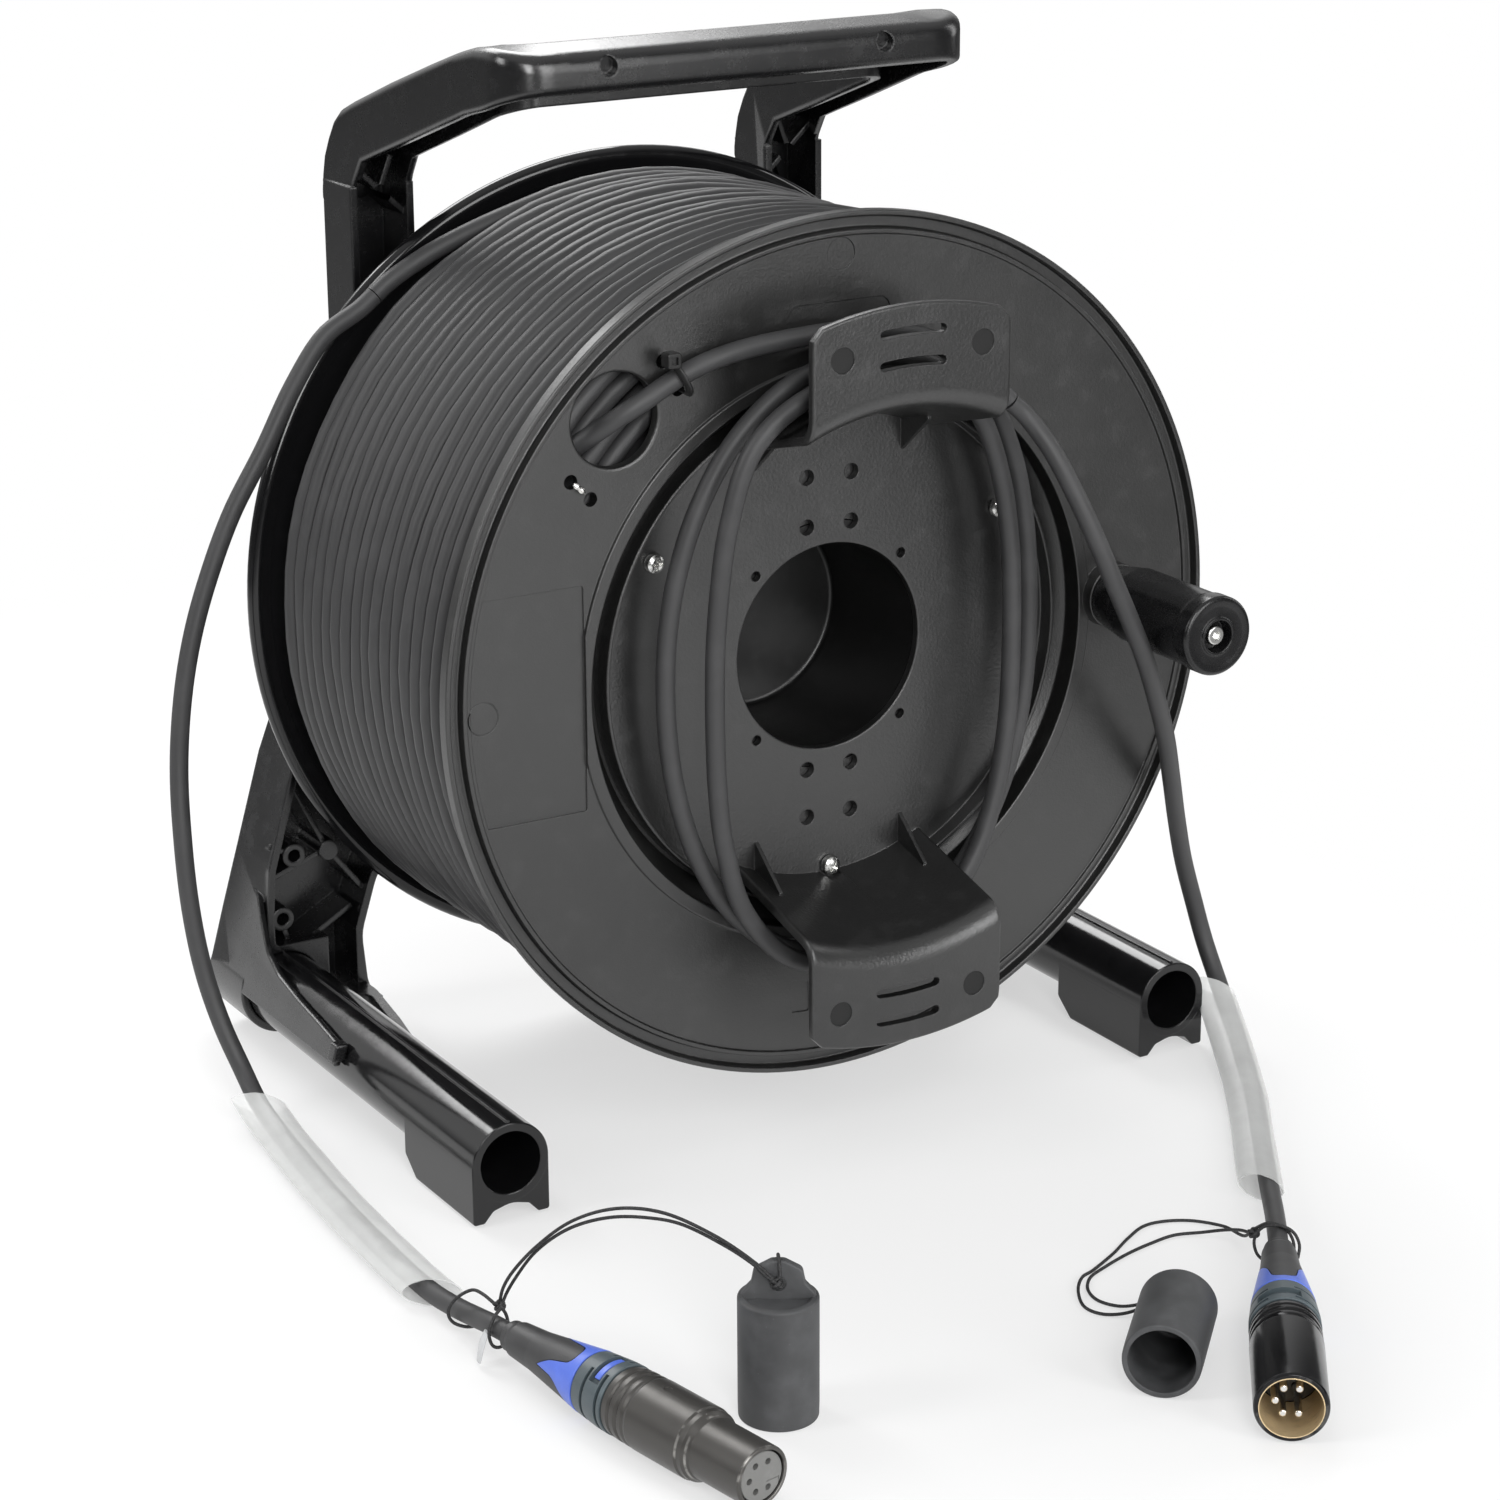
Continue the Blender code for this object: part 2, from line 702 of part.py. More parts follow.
def ties():
    """The cable tie at the exit hole and the wire tie through the two small holes."""
    (x1, z1), (x2, z2) = TIE_HOLES
    loop = [
        at(x1, 5.4, z1),
        at(x1, -5.2, z1),
        at(x1 * 0.75 + x2 * 0.25, -7.4, z1 * 0.75 + z2 * 0.25),
        at(x1 * 0.25 + x2 * 0.75, -7.4, z1 * 0.25 + z2 * 0.75),
        at(x2, -5.2, z2),
        at(x2, 5.4, z2),
        at(x2 * 0.8 + x1 * 0.2, 7.0, z2 * 0.8 + z1 * 0.2),
        at(x2 * 0.2 + x1 * 0.8, 7.0, z2 * 0.2 + z1 * 0.8),
    ]
    strap = settle(tube("tie_strap", loop, 1.7, resolution=1, cyclic=True), "cable_tie", "satin_black")
    head = box("tie_head", (x1 - 3.0, -8.0, z1 - 0.6), (x1 + 0.8, -3.6, z1 + 3.8))
    finished(join(strap, head))
    (x1, z1), (x2, z2) = WIRE_HOLES
    staple = [at(x1, 6.5, z1), at(x1, -0.1, z1), at(x2, -0.1, z2), at(x2, 6.5, z2)]
    tube("wire_tie", staple, 1.2, "silver", resolution=2)


def crank():
    """The crank's pin, riveted in the flange, its knob and the screw in the knob's end."""
    pin = [
        (0.0, -45.0),
        (PIN_R, -45.0),
        (PIN_R, FLANGE_BACK_Y + GAP),
        (7.3, FLANGE_BACK_Y + GAP),
        (7.3, 6.6),
        (0.0, 6.6),
    ]
    pin = turned("crank_pin", pin, CRANK, "steel", 12)
    cut(pin, rod("pin_bore", (KNOB_X, -46, KNOB_Z), (KNOB_X, -36, KNOB_Z), 2.2, sides=12))
    finished(pin)
    knob = [
        (PIN_R + GAP, -3.9),
        (PIN_R + GAP, -45.4),
        (2.3, -45.4),
        (2.3, -48.9),
        (6.7, -48.9),
        (6.7, KNOB_END_Y),
        (9.0, KNOB_END_Y),
        (11.0, -51.0),
        (11.6, -49.0),
        (11.6, -15.0),
        (9.3, -3.9),
    ]
    finished(turned("crank_knob", knob, CRANK, "gloss_black", ROUND + 2))
    screw = [
        (0.0, -50.2),
        (1.5, -50.9),
        (2.8, -50.9),
        (3.3, -50.4),
        (3.3, -49.2),
        (1.9, -49.2),
        (1.9, -38.0),
        (0.0, -38.0),
    ]
    finished(turned("knob_screw", screw, CRANK, "zinc", SMALL))


# Axle, thrust washer and the ring that keeps the drum on it
AXLE_R = 10.0


def axle():
    """The fixed axle through the frame's hub and the rear flange's sleeve."""
    shaft = [
        (0.0, 103.0),
        (AXLE_R, 103.0),
        (AXLE_R, 106.2),
        (8.0, 106.2),
        (8.0, 109.2),
        (AXLE_R, 109.2),
        (AXLE_R, FRAME_REAR_Y + GAP),
        (17.0, FRAME_REAR_Y + GAP),
        (17.0, 164.4),
        (15.4, 166.0),
        (0.0, 166.0),
    ]
    finished(turned("axle_stub", shaft, DRUM, "steel", 12))
    ring = [(8.3, 106.5), (14.5, 106.5), (14.5, 108.9), (8.3, 108.9)]
    finished(turned("retaining_ring", ring, DRUM, "steel", ROUND))
    washer = [(AXLE_R + GAP, 134.7), (18.5, 134.7), (18.5, 136.4), (AXLE_R + GAP, 136.4)]
    finished(turned("thrust_washer", washer, DRUM, "nylon_washer", ROUND))


# Rear frame, as its right half
GRIP_TOP = 312.0

# The ribs of the right half: the (x, z) places that each one joins, and where its front edge is
RIBS = (
    ((79.6, 268.5), (61.6, 252.0), 145.0),
    ((66.5, 270.0), (79.6, 236.0), 145.2),
    ((61.6, 232.0), (79.6, 214.0), 145.1),
    ((14.0, AXLE_Z + 14), (63.0, 200.0), 146.0),
    ((12.0, AXLE_Z + 1), (91.4, AXLE_Z + 1), 146.1),
    ((12.0, AXLE_Z - 13), (80.0, 60.0), 146.2),
    ((14.0, AXLE_Z - 8), (107.5, 84.0), 146.3),
    ((0.0, AXLE_Z + 15), (0.0, 195.0), 146.4),
    ((0.0, AXLE_Z - 15), (0.0, 96.0), 146.4),
    ((96.3, 59.1), (108.0, 84.0), 145.0),
    ((96.3, 59.1), (84.6, 44.0), 145.2),
    ((103.2, 30.0), (88.0, 38.5), 147.0),
)


def rib(number, start, end, front, width=1.8):
    """A thin upright rib on the frame's rear wall between two (x, z) places."""
    first = Vector(start)
    last = Vector(end)
    side = (last - first).normalized()
    side = Vector((-side.y, side.x)) * width / 2
    outline = [tuple(first + side), tuple(first - side), tuple(last - side), tuple(last + side)]
    back = FRAME_REAR_Y - 0.5 - 0.1 * number
    return prism(f"frame_rib_{number}", outline, "y", front, back)


def leg_flare():
    """The outer wall's flare, where the leg is wider at the back than at its front edge."""
    levels = (
        (110.0, 101.8, 101.9),
        (88.7, 107.6, 110.4),
        (60.0, 115.7, 119.0),
        (41.8, 118.2, 124.5),
        (24.0, 118.2, 129.6),
    )
    work = bmesh.new()
    rings = []
    for z, front_x, back_x in levels:
        corners = (
            (front_x - 4.0, FRAME_FRONT_Y + 0.1),
            (front_x - 0.1, FRAME_FRONT_Y + 0.1),
            (back_x, FRAME_REAR_Y - 0.1),
            (front_x - 4.0, FRAME_REAR_Y - 0.1),
        )
        rings.append([work.verts.new(at(x, y, z)) for x, y in corners])
    for upper, lower in zip(rings, rings[1:]):
        for index in range(4):
            work.faces.new((upper[index - 1], upper[index], lower[index], lower[index - 1]))
    work.faces.new(rings[0])
    work.faces.new(rings[-1][::-1])
    bmesh.ops.recalc_face_normals(work, faces=work.faces)
    mesh = bpy.data.meshes.new("leg_flare")
    work.to_mesh(mesh)
    work.free()
    return add("leg_flare", mesh)


def handle_shapes():
    """The moulded handle from post to grip, and the hollow under it: a side view crossed with a plan."""
    side = [
        (161.6, 255.0),
        (161.6, 267.0, 14.0),
        (154.0, 283.2, 9.0),
        (80.0, 308.4, 12.0),
        (64.0, GRIP_TOP, 8.0),
        (52.6, 309.0, 5.0),
        (50.6, 303.0, 4.0),
        (53.0, 297.6, 3.0),
        (77.0, 291.2, 4.0),
        (FRAME_FRONT_Y, 268.3),
        (FRAME_FRONT_Y, 255.0),
    ]
    hollow_side = [
        (159.2, 250.0),
        (159.2, 266.6, 12.0),
        (152.8, 281.2, 7.0),
        (79.4, 305.8, 8.0),
        (64.0, 309.2, 5.0),
        (55.4, 306.6, 3.0),
        (54.6, 285.0),
        (140.0, 250.0),
    ]
    plan = [
        (-2.0, 50.0),
        (75.6, 50.0, 9.0),
        (POST_OUT_X, 161.6),
        (POST_OUT_X, 170.0),
        (POST_IN_X, 170.0),
        (POST_IN_X, 77.0, 9.0),
        (-2.0, 77.0),
    ]
    hollow_plan = [
        (-4.0, 54.0),
        (71.6, 54.0, 5.0),
        (POST_OUT_X - WALL, 161.0),
        (POST_IN_X + WALL, 161.0),
        (POST_IN_X + WALL, 74.6, 6.0),
        (-4.0, 74.6),
    ]
    solid = prism("handle", side, "x", -2.0, 90.0)
    keep_common(solid, prism("handle_plan", plan, "z", 240.0, 320.0))
    hollow = keep_common(
        prism("handle_hollow", hollow_side, "x", -4.0, 90.0),
        prism("handle_hollow_plan", hollow_plan, "z", 240.0, 320.0),
    )
    return solid, hollow


def both_sides(half):
    """Mirror a piece whose right half has been made, a little of it past the middle."""
    cut(half, box(half.name + "_left_rest", (-60.0, 0.0, -20.0), (0.0, 200.0, 340.0)))
    bpy.context.view_layer.update()
    mesh = evaluated_mesh(half)
    mesh.transform(half.matrix_world)
    half.matrix_world = Matrix.Identity(4)
    half.modifiers.clear()
    half.data = mesh
    work = bmesh.new()
    work.from_mesh(mesh)
    middle_wall = [face for face in work.faces if all(abs(vert.co.x) < 1e-6 for vert in face.verts)]
    bmesh.ops.delete(work, geom=middle_wall, context="FACES")
    work.to_mesh(mesh)
    work.free()
    mirror = half.modifiers.new("Both sides", "MIRROR")
    mirror.use_mirror_merge = True
    mirror.merge_threshold = 1e-5
    return smooth(half)


def outer_gusset():
    """The plate that carries the leg's outer wall forward beside the foot tube, leaning in."""
    outline = [
        (76.0, 18.5),
        (156.0, 18.5),
        (156.0, 52.0),
        (146.0, 48.0),
        (142.0, 43.4),
        (132.4, 34.8),
        (122.3, 31.0),
        (108.0, 28.6),
        (92.3, 26.8),
        (76.0, 24.6),
    ]
    plate = prism("outer_gusset", outline, "x", 125.3, 127.3)
    lug = prism("gusset_lug", [(74.4, 20.4), (78.6, 20.4), (78.6, 25.6), (74.4, 25.6)], "x", 125.0, 129.0)
    join(plate, lug)
    lean = Matrix.Identity(4)
    lean[0][2] = -0.27
    lean[0][3] = 0.27 * 20.0 * MM
    plate.data = evaluated_mesh(plate)
    plate.modifiers.clear()
    plate.data.transform(lean @ plate.matrix_world)
    plate.matrix_world = Matrix.Identity(4)
    return plate


def back_frame():
    """Posts, legs, web, hub, handle and gussets, moulded in one: an open-front tray with ribs."""
    outline = [
        (-2.0, 95.8),
        (24.0, 93.4),
        (48.0, 84.0, 20.0),
        (70.0, 65.5, 20.0),
        (81.1, 47.3, 14.0),
        (86.6, 30.0, 14.0),
        (85.2, 14.5, 10.0),
        (81.5, 2.5),
        (106.0, 2.5),
        (118.2, 14.0),
        (118.2, 41.8, 8.0),
        (117.0, 56.0, 10.0),
        (108.9, 83.9, 14.0),
        (POST_OUT_X, 186.0, 30.0),
        (POST_OUT_X, 262.0),
        (POST_IN_X, 262.0),
        (POST_IN_X, 207.0, 10.0),
        (48.0, 199.0, 10.0),
        (-2.0, 196.0),
    ]
    frame = prism("back_frame", outline, "y", FRAME_FRONT_Y, FRAME_REAR_Y, "gloss_black")
    handle, handle_hollow = handle_shapes()
    socket_front = (FOOT_X, FRAME_FRONT_Y + 0.3, FOOT_Z)
    socket = rod("foot_socket", socket_front, (FOOT_X, 168.5, FOOT_Z), 14.4, sides=ROUND)
    pad = box("rear_pad", (80.0, FRAME_FRONT_Y + 0.6, 0.0), (107.0, 168.0, 7.5))
    join(frame, handle, leg_flare(), socket, pad)

    pocket = [
        (-4.0, 98.3),
        (25.0, 95.8),
        (50.0, 86.0, 20.0),
        (72.0, 67.0, 20.0),
        (83.5, 48.0, 12.0),
        (89.0, 31.5),
        (115.8, 31.5),
        (115.8, 41.8, 8.0),
        (114.6, 56.0, 8.0),
        (106.5, 83.2, 12.0),
        (POST_OUT_X - WALL, 185.6, 28.0),
        (POST_OUT_X - WALL, 264.0),
        (POST_IN_X + WALL, 264.0),
        (POST_IN_X + WALL, 205.6, 10.0),
        (49.2, 196.7, 10.0),
        (-4.0, 193.6),
    ]
    inner_gusset = [
        (86.0, 146.0),
        (86.0, 135.0, 9.0),
        (90.0, 110.0, 20.0),
        (99.0, 66.0),
        (101.9, 62.0),
        (101.9, 146.0),
    ]
    gusset_window = [(99.6, 139.0, 2.0), (99.6, 84.0), (93.6, 110.0, 15.0), (89.6, 133.0, 4.0)]
    hub = rod("frame_hub", (0, 136.7, AXLE_Z), (0, FRAME_REAR_Y - 0.2, AXLE_Z), 24.0, sides=ROUND)
    cut(
        frame,
        prism("tray_hollow", pocket, "y", FRAME_FRONT_Y - 1, FRAME_REAR_Y - WALL),
        handle_hollow,
        box("toe_hollow", (88.8, FRAME_FRONT_Y - 1, 10.0), (98.2, FRAME_REAR_Y - WALL, 33.0)),
    )
    join(
        frame,
        hub,
        *[rib(number, *line) for number, line in enumerate(RIBS)],
        rod("post_boss", (70.0, 143.6, 258.5), (70.0, 161.2, 258.5), 3.0, sides=8),
        rod("leg_boss_1", (96.3, 143.6, 59.1), (96.3, 161.25, 59.1), 3.0, sides=8),
        rod("leg_boss_2", (107.7, 144.2, 59.2), (107.7, 161.3, 59.2), 3.7, sides=8),
        rod("leg_boss_3", (112.4, 144.2, 39.4), (112.4, 161.35, 39.4), 3.7, sides=8),
        outer_gusset(),
        prism("inner_gusset", inner_gusset, "z", 11.5, 14.0, holes=[gusset_window]),
    )
    cut(
        frame,
        rod("leg_ring_1", (107.7, 140.0, 59.2), (107.7, 156.0, 59.2), 2.0, sides=6),
        rod("leg_ring_2", (112.4, 140.0, 39.4), (112.4, 156.0, 39.4), 2.0, sides=6),
        rod("grip_dimple", (44.8, 45.0, 305.4), (44.8, 52.6, 305.4), 2.7, sides=8),
        rod("axle_hole", (0, 130.0, AXLE_Z), (0, 170.0, AXLE_Z), AXLE_R + GAP, sides=ROUND),
        rod("foot_hole", (FOOT_X, 60.0, FOOT_Z), (FOOT_X, 165.3, FOOT_Z), FOOT_R + GAP, sides=ROUND),
    )
    return both_sides(frame)


def foot_tube(side, name):
    """A foot tube, pressed into the leg's socket, with a saddle block under its front end."""
    x = side * FOOT_X
    foot = rod(name, (x, FOOT_FRONT_Y, FOOT_Z), (x, 165.0, FOOT_Z), FOOT_R, "gloss_black", sides=ROUND)
    saddle = [
        (x - 11.9, 0.0, 0.8),
        (x - 7.6, 0.0, 1.2),
        (x - 5.4, 4.0, 2.0),
        (x, 5.0, 6.0),
        (x + 5.4, 4.0, 2.0),
        (x + 7.6, 0.0, 1.2),
        (x + 11.9, 0.0, 0.8),
        (x + 11.9, 16.0),
        (x - 11.9, 16.0),
    ]
    block = prism(name + "_block", saddle, "y", FOOT_FRONT_Y + 0.1, 33.0)
    ridge = box(name + "_ridge", (x - 0.6, 0.0, 28.0), (x + 0.6, 140.0, 29.9))
    join(foot, block, ridge)
    cut(foot, rod(name + "_bore", (x, -12.0, FOOT_Z), (x, 168.0, FOOT_Z), FOOT_BORE_R, sides=ROUND))
    return finished(foot)


# Plugs: each is laid out along its own axis, from the rear of the bend relief to the face
def plug_place(x, y, way):
    """The place of a plug on the floor: local Z runs along it, local X points up, local Y to its left."""
    along = Vector((*way, 0.0)).normalized()
    up = Vector((0.0, 0.0, 1.0))
    left = along.cross(up)
    turn = Matrix((up, left, along)).transposed().to_4x4()
    return Matrix.Translation(at(x, y, PLUG_Z)) @ turn


FEMALE_REAR = (-153.6, -85.8)
FEMALE_WAY = (0.177, -0.984)
FEMALE_LENGTH = 96.7
MALE_REAR = (43.0, -148.8)
MALE_WAY = (-0.594, -0.805)
MALE_LENGTH = 88.1
FEMALE = plug_place(*FEMALE_REAR, FEMALE_WAY)
MALE = plug_place(*MALE_REAR, MALE_WAY)
BLUE_START = 11.5
BLUE_END = 30.0
RING_END = 40.0
PIN_CIRCLE_R = 3.9
PIN_ANGLES = (-120, -60, 0, 60, 120)


def relief_radius(along):
    """The outer radius of the bend relief and marking ring at a distance from the rear."""
    return 3.7 + (8.5 - 3.7) * min(along, BLUE_END) / BLUE_END


def in_place(obj, place):
    """Move a shape laid out about the scene's origin to a place on a plug or cap."""
    obj.matrix_world = place
    return obj


def tongue(name, place, width, reach, low):
    """A prism shaped like the relief's round-ended tongue, through the plug from above to below."""
    outline = [
        (low, -width / 2 - 1.2),
        (reach, -width / 2, width * 0.45),
        (reach, width / 2, width * 0.45),
        (low, width / 2 + 1.2),
    ]
    shape = prism(name, outline, "x", -12.0, 12.0)
    local = Matrix(((1, 0, 0, 0), (0, 0, 1, 0), (0, 1, 0, 0), (0, 0, 0, 1)))
    shape.data.transform(local @ FROM_RIM @ shape.matrix_world)
    shape.data.flip_normals()
    return in_place(shape, place)


def plug_rear(kind, place):
    """Bend relief, forked marking ring and grey ring of one plug."""
    relief = [
        (0.0, 0.0),
        (3.2, 0.0),
        (relief_radius(0), 0.6),
        (relief_radius(BLUE_START - 0.5), BLUE_START - 0.5),
        (relief_radius(BLUE_START) - 2.0, BLUE_START - 0.4),
        (relief_radius(BLUE_END) - 2.2, BLUE_END),
        (5.9, BLUE_END),
        (5.9, RING_END - 1.0),
        (0.0, RING_END - 1.0),
    ]
    boot = turned(f"{kind}_boot", relief, place, "rubber", 12)
    whole = [
        (0.0, 4.0),
        (relief_radius(4.0), 4.0),
        (relief_radius(BLUE_END), BLUE_END - GAP),
        (0.0, BLUE_END - GAP),
    ]
    cone = turned(f"{kind}_boot_cone", whole, place, sides=12)
    keep_common(cone, tongue(f"{kind}_tongue", place, 7.0, 25.5, 6.0))
    join(boot, cone)
    finished(boot)
    blue = [
        (relief_radius(BLUE_START) - 1.6, BLUE_START),
        (relief_radius(BLUE_START), BLUE_START),
        (relief_radius(BLUE_END), BLUE_END),
        (6.3, BLUE_END),
        (relief_radius(BLUE_END - 1.0) - 1.8, BLUE_END - 1.0),
    ]
    marker = turned(f"{kind}_marking_ring", blue, place, "blue", 12)
    cut(marker, tongue(f"{kind}_fork", place, 7.8, 26.0, 5.0))
    finished(marker)
    ring = [
        (6.3, BLUE_END + GAP),
        (8.5, BLUE_END + GAP),
        (9.0, BLUE_END + 2.0),
        (9.3, RING_END - GAP),
        (6.3, RING_END - GAP),
    ]
    ring = turned(f"{kind}_ring", ring, place, "grey_ring", 12)
    finished(ring)


def plug_shell(kind, place, outer, bore_r, bore_start, finish_name):
    """The metal shell: an outer profile from the grey ring to the face, bored from the face."""
    length = outer[-1][1]
    profile = [(0.0, RING_END), *outer, (bore_r, length), (bore_r, bore_start), (0.0, bore_start)]
    return turned(f"{kind}_shell", profile, place, finish_name, ROUND)


def pin_places():
    """The five contacts' (up, left) places about a plug's axis, with the gap towards the keyway."""
    for degrees in PIN_ANGLES:
        angle = math.radians(degrees)
        yield PIN_CIRCLE_R * math.sin(angle), PIN_CIRCLE_R * math.cos(angle)


def local_rod(name, place, up, left, start, end, radius, finish_name=None, sides=10):
    """A cylinder along a plug's axis, at a place beside it."""
    obj = rod(name, (0, start, 0), (0, end, 0), radius, finish_name, sides)
    obj.data.transform(Matrix.Rotation(math.radians(90), 4, "X") @ FROM_RIM)
    obj.data.transform(Matrix.Translation(Vector((up, left, 0.0)) * MM))
    return in_place(obj, place)


def local_box(name, place, low, high, finish_name=None):
    """A box in a plug's own directions: up, left, along."""
    obj = box(name, low, high, finish_name)
    obj.data.transform(FROM_RIM)
    return in_place(obj, place)


# The latch button is on the plug's right side, and is pressed in along the plug's local Y
def female_plug():
    """The socket plug: a stepped shell, an insert with five sockets and a sprung latch button."""
    outer = [
        (9.0, RING_END),
        (9.2, RING_END + 2.0),
        (8.6, RING_END + 2.8),
        (9.4, RING_END + 3.6),
        (9.4, RING_END + 5.2),
        (8.7, RING_END + 6.0),
        (PLUG_R, RING_END + 6.8),
        (PLUG_R, 74.8),
        (9.1, 75.6),
        (9.1, 77.0),
        (7.9, 78.6),
        (7.9, FEMALE_LENGTH - 0.6),
        (7.5, FEMALE_LENGTH),
    ]
    shell = plug_shell("female", FEMALE, outer, 6.7, 56.0, "black_metal")
    cut(shell, local_box("latch_window", FEMALE, (-2.7, -12.0, 61.7), (2.7, -4.0, 70.3)))
    finished(shell)
    body = [(0.0, 76.3), (6.4, 76.3), (6.4, 96.2), (0.0, 96.2)]
    insert = turned("female_insert", body, FEMALE, "insert_black", ROUND)
    for number, (up, left) in enumerate(pin_places(), 1):
        cut(insert, local_rod(f"socket_{number}", FEMALE, up, left, 88.0, 99.0, 0.8, sides=6))
    finished(insert)
    button = local_box("latch_button", FEMALE, (-2.4, -10.3, 62.0), (2.4, -5.0, 70.0), "black_metal")
    join(button, local_box("latch_foot", FEMALE, (-2.4, -5.8, 60.4), (2.4, -4.7, 71.6)))
    finished(button)


def male_plug():
    """The pin plug: a plain shell, an insert deep inside it and five pins."""
    outer = [
        (9.0, RING_END),
        (9.2, RING_END + 2.0),
        (8.6, RING_END + 2.8),
        (9.4, RING_END + 3.6),
        (9.4, RING_END + 5.2),
        (8.7, RING_END + 6.0),
        (PLUG_R, RING_END + 6.8),
        (PLUG_R, MALE_LENGTH - 0.5),
        (9.1, MALE_LENGTH),
    ]
    shell = plug_shell("male", MALE, outer, 8.2, 64.0, "black_metal")
    finished(shell)
    body = [(0.0, 64.3), (7.9, 64.3), (7.9, 69.5), (0.0, 69.5)]
    insert = turned("male_insert", body, MALE, "insert_black", ROUND)
    for number, (up, left) in enumerate(pin_places(), 1):
        cut(insert, local_rod(f"pin_seat_{number}", MALE, up, left, 66.0, 72.0, 1.35, sides=6))
    finished(insert)
    for number, (up, left) in enumerate(pin_places(), 1):
        local_rod(f"pin_{number}", MALE, up, left, 66.3, 82.0, 1.0, "silver", sides=8)


# Rubber caps: local Z runs from the open end to the closed end
STANDING_CAP = Matrix.Translation(at(-108.0, -141.2, 0.1))
LYING_WAY = Vector((0.62, 0.785, 0.0))
LYING_TURN = LYING_WAY.to_track_quat("Z", "Y").to_matrix().to_4x4()
LYING_CAP = Matrix.Translation(at(-24.3, -186.9, CAP_R + 0.1)) @ LYING_TURN


def rubber_cap(name, place, eye_turn):
    """A cap: a deep cup with an eyelet on its closed end."""
    profile = [
        (0.0, CAP_LENGTH - 2.6),
        (CAP_R - CAP_WALL, CAP_LENGTH - 2.6),
        (CAP_R - CAP_WALL, 0.0),
        (CAP_R - 0.4, 0.0),
        (CAP_R, 0.4),
        (CAP_R, CAP_LENGTH - 1.2),
        (CAP_R - 1.2, CAP_LENGTH),
        (0.0, CAP_LENGTH),
    ]
    cap = turned(name, profile, place, "rubber", ROUND)
    turn = place @ Matrix.Rotation(math.radians(eye_turn), 4, "Z")
    eye_top = CAP_LENGTH + 5.0
    hole_top = CAP_LENGTH + 4.6
    eye = local_box(name + "_eye", turn, (-1.4, -4.2, CAP_LENGTH - 1.0), (1.4, 4.2, eye_top))
    crown = rod(name + "_crown", (-1.4, 0, eye_top), (1.4, 0, eye_top), 4.2)
    hole = rod(name + "_hole", (-3, 0, hole_top), (3, 0, hole_top), 2.0, sides=12)
    for shape in (crown, hole):
        shape.data.transform(FROM_RIM)
        in_place(shape, turn)
    join(cap, eye, crown)
    cut(cap, hole)
    return finished(cap)


# Free cable: routes chosen by eye, in order from the drum to the plug
OUTER_ROUTE = (
    (-100.0, 122.5, 224.0),
    (-110.5, 122.0, 211.0),
    (-121.5, 121.0, 193.0),
    (-132.5, 120.0, 176.5),
    (-140.5, 119.0, 160.5),
    (-147.0, 118.0, 144.0),
    (-151.5, 117.5, 126.0),
    (-154.5, 116.5, 104.0),
    (-156.0, 113.0, 83.0),
    (-155.5, 111.0, 62.0),
    (-153.5, 108.5, 43.0),
    (-150.5, 104.0, 27.0),
    (-147.5, 97.5, 14.5),
    (-147.0, 88.0, 7.4),
    (-148.0, 72.0, 4.6),
    (-151.0, 44.0, 4.2),
    (-153.0, 23.0, 4.2),
    (-155.0, -10.0, 4.2),
    (-155.8, -43.5, 4.4),
    (-155.0, -57.0, 5.4),
    (-154.6, -70.0, 7.6),
)
INNER_ROUTE = (
    (50.3, -27.0, 202.0),
    (55.0, -33.0, 189.0),
    (59.5, -36.5, 177.0),
    (64.5, -38.0, 165.0),
    (71.2, -37.0, 152.6),
    (79.5, -33.6, 138.9),
    (89.0, -27.2, 123.7),
    (99.1, -19.2, 107.4),
    (108.6, -10.2, 90.4),
    (117.4, -2.0, 73.2),
    (125.2, 4.1, 56.7),
    (131.6, 6.6, 41.4),
    (135.1, 5.0, 28.0),
    (135.0, -2.5, 17.2),
    (130.5, -15.5, 9.7),
    (121.0, -34.0, 5.8),
    (107.5, -56.6, 4.4),
    (91.0, -80.7, 4.4),
    (73.7, -105.7, 5.2),
    (57.6, -128.9, 7.6),
)
SLEEVE_HALF_WIDTH = 7.2
SLEEVE_HALF_HEIGHT = 3.8
SLEEVE_WALL = 0.5


def plug_end(place, way):
    """Where the cable's end faces the rear of a plug's bend relief, and its direction there."""
    direction = Vector((*way, 0.0)).normalized()
    return place.translation - direction * GAP * MM, direction


def sleeve(name, points):
    """A clear lay-flat sleeve along part of a lead: an open oval tube with a wall."""
    oval = bpy.data.curves.new(name + "_oval", "CURVE")
    oval.dimensions = "2D"
    spline = oval.splines.new("POLY")
    sides = 8
    spline.points.add(sides - 1)
    for index, item in enumerate(spline.points):
        angle = 2 * math.pi * index / sides
        across = SLEEVE_HALF_WIDTH * math.cos(angle)
        high = SLEEVE_HALF_HEIGHT * math.sin(angle)
        item.co = (across * MM, high * MM, 0.0, 1.0)
    spline.use_cyclic_u = True
    guide = add(name + "_guide", oval)
    path = tube(name + "_path", points, 1.0)
    path.data.bevel_mode = "OBJECT"
    path.data.bevel_object = guide
    path.data.use_fill_caps = False
    path.data.twist_mode = "Z_UP"
    mesh = evaluated_mesh(path)
    bpy.data.objects.remove(path, do_unlink=True)
    obj = add(name, mesh, "clear_sleeve")
    wall = obj.modifiers.new("Wall", "SOLIDIFY")
    wall.thickness = SLEEVE_WALL * MM
    wall.offset = -1.0
    return obj


def between(points, first, last):
    """The run of a lead's points between its nearest points to two places."""
    near = []
    for place in (first, last):
        distances = [(point - place).length for point in points]
        near.append(distances.index(min(distances)))
    return points[min(near) : max(near) + 1]


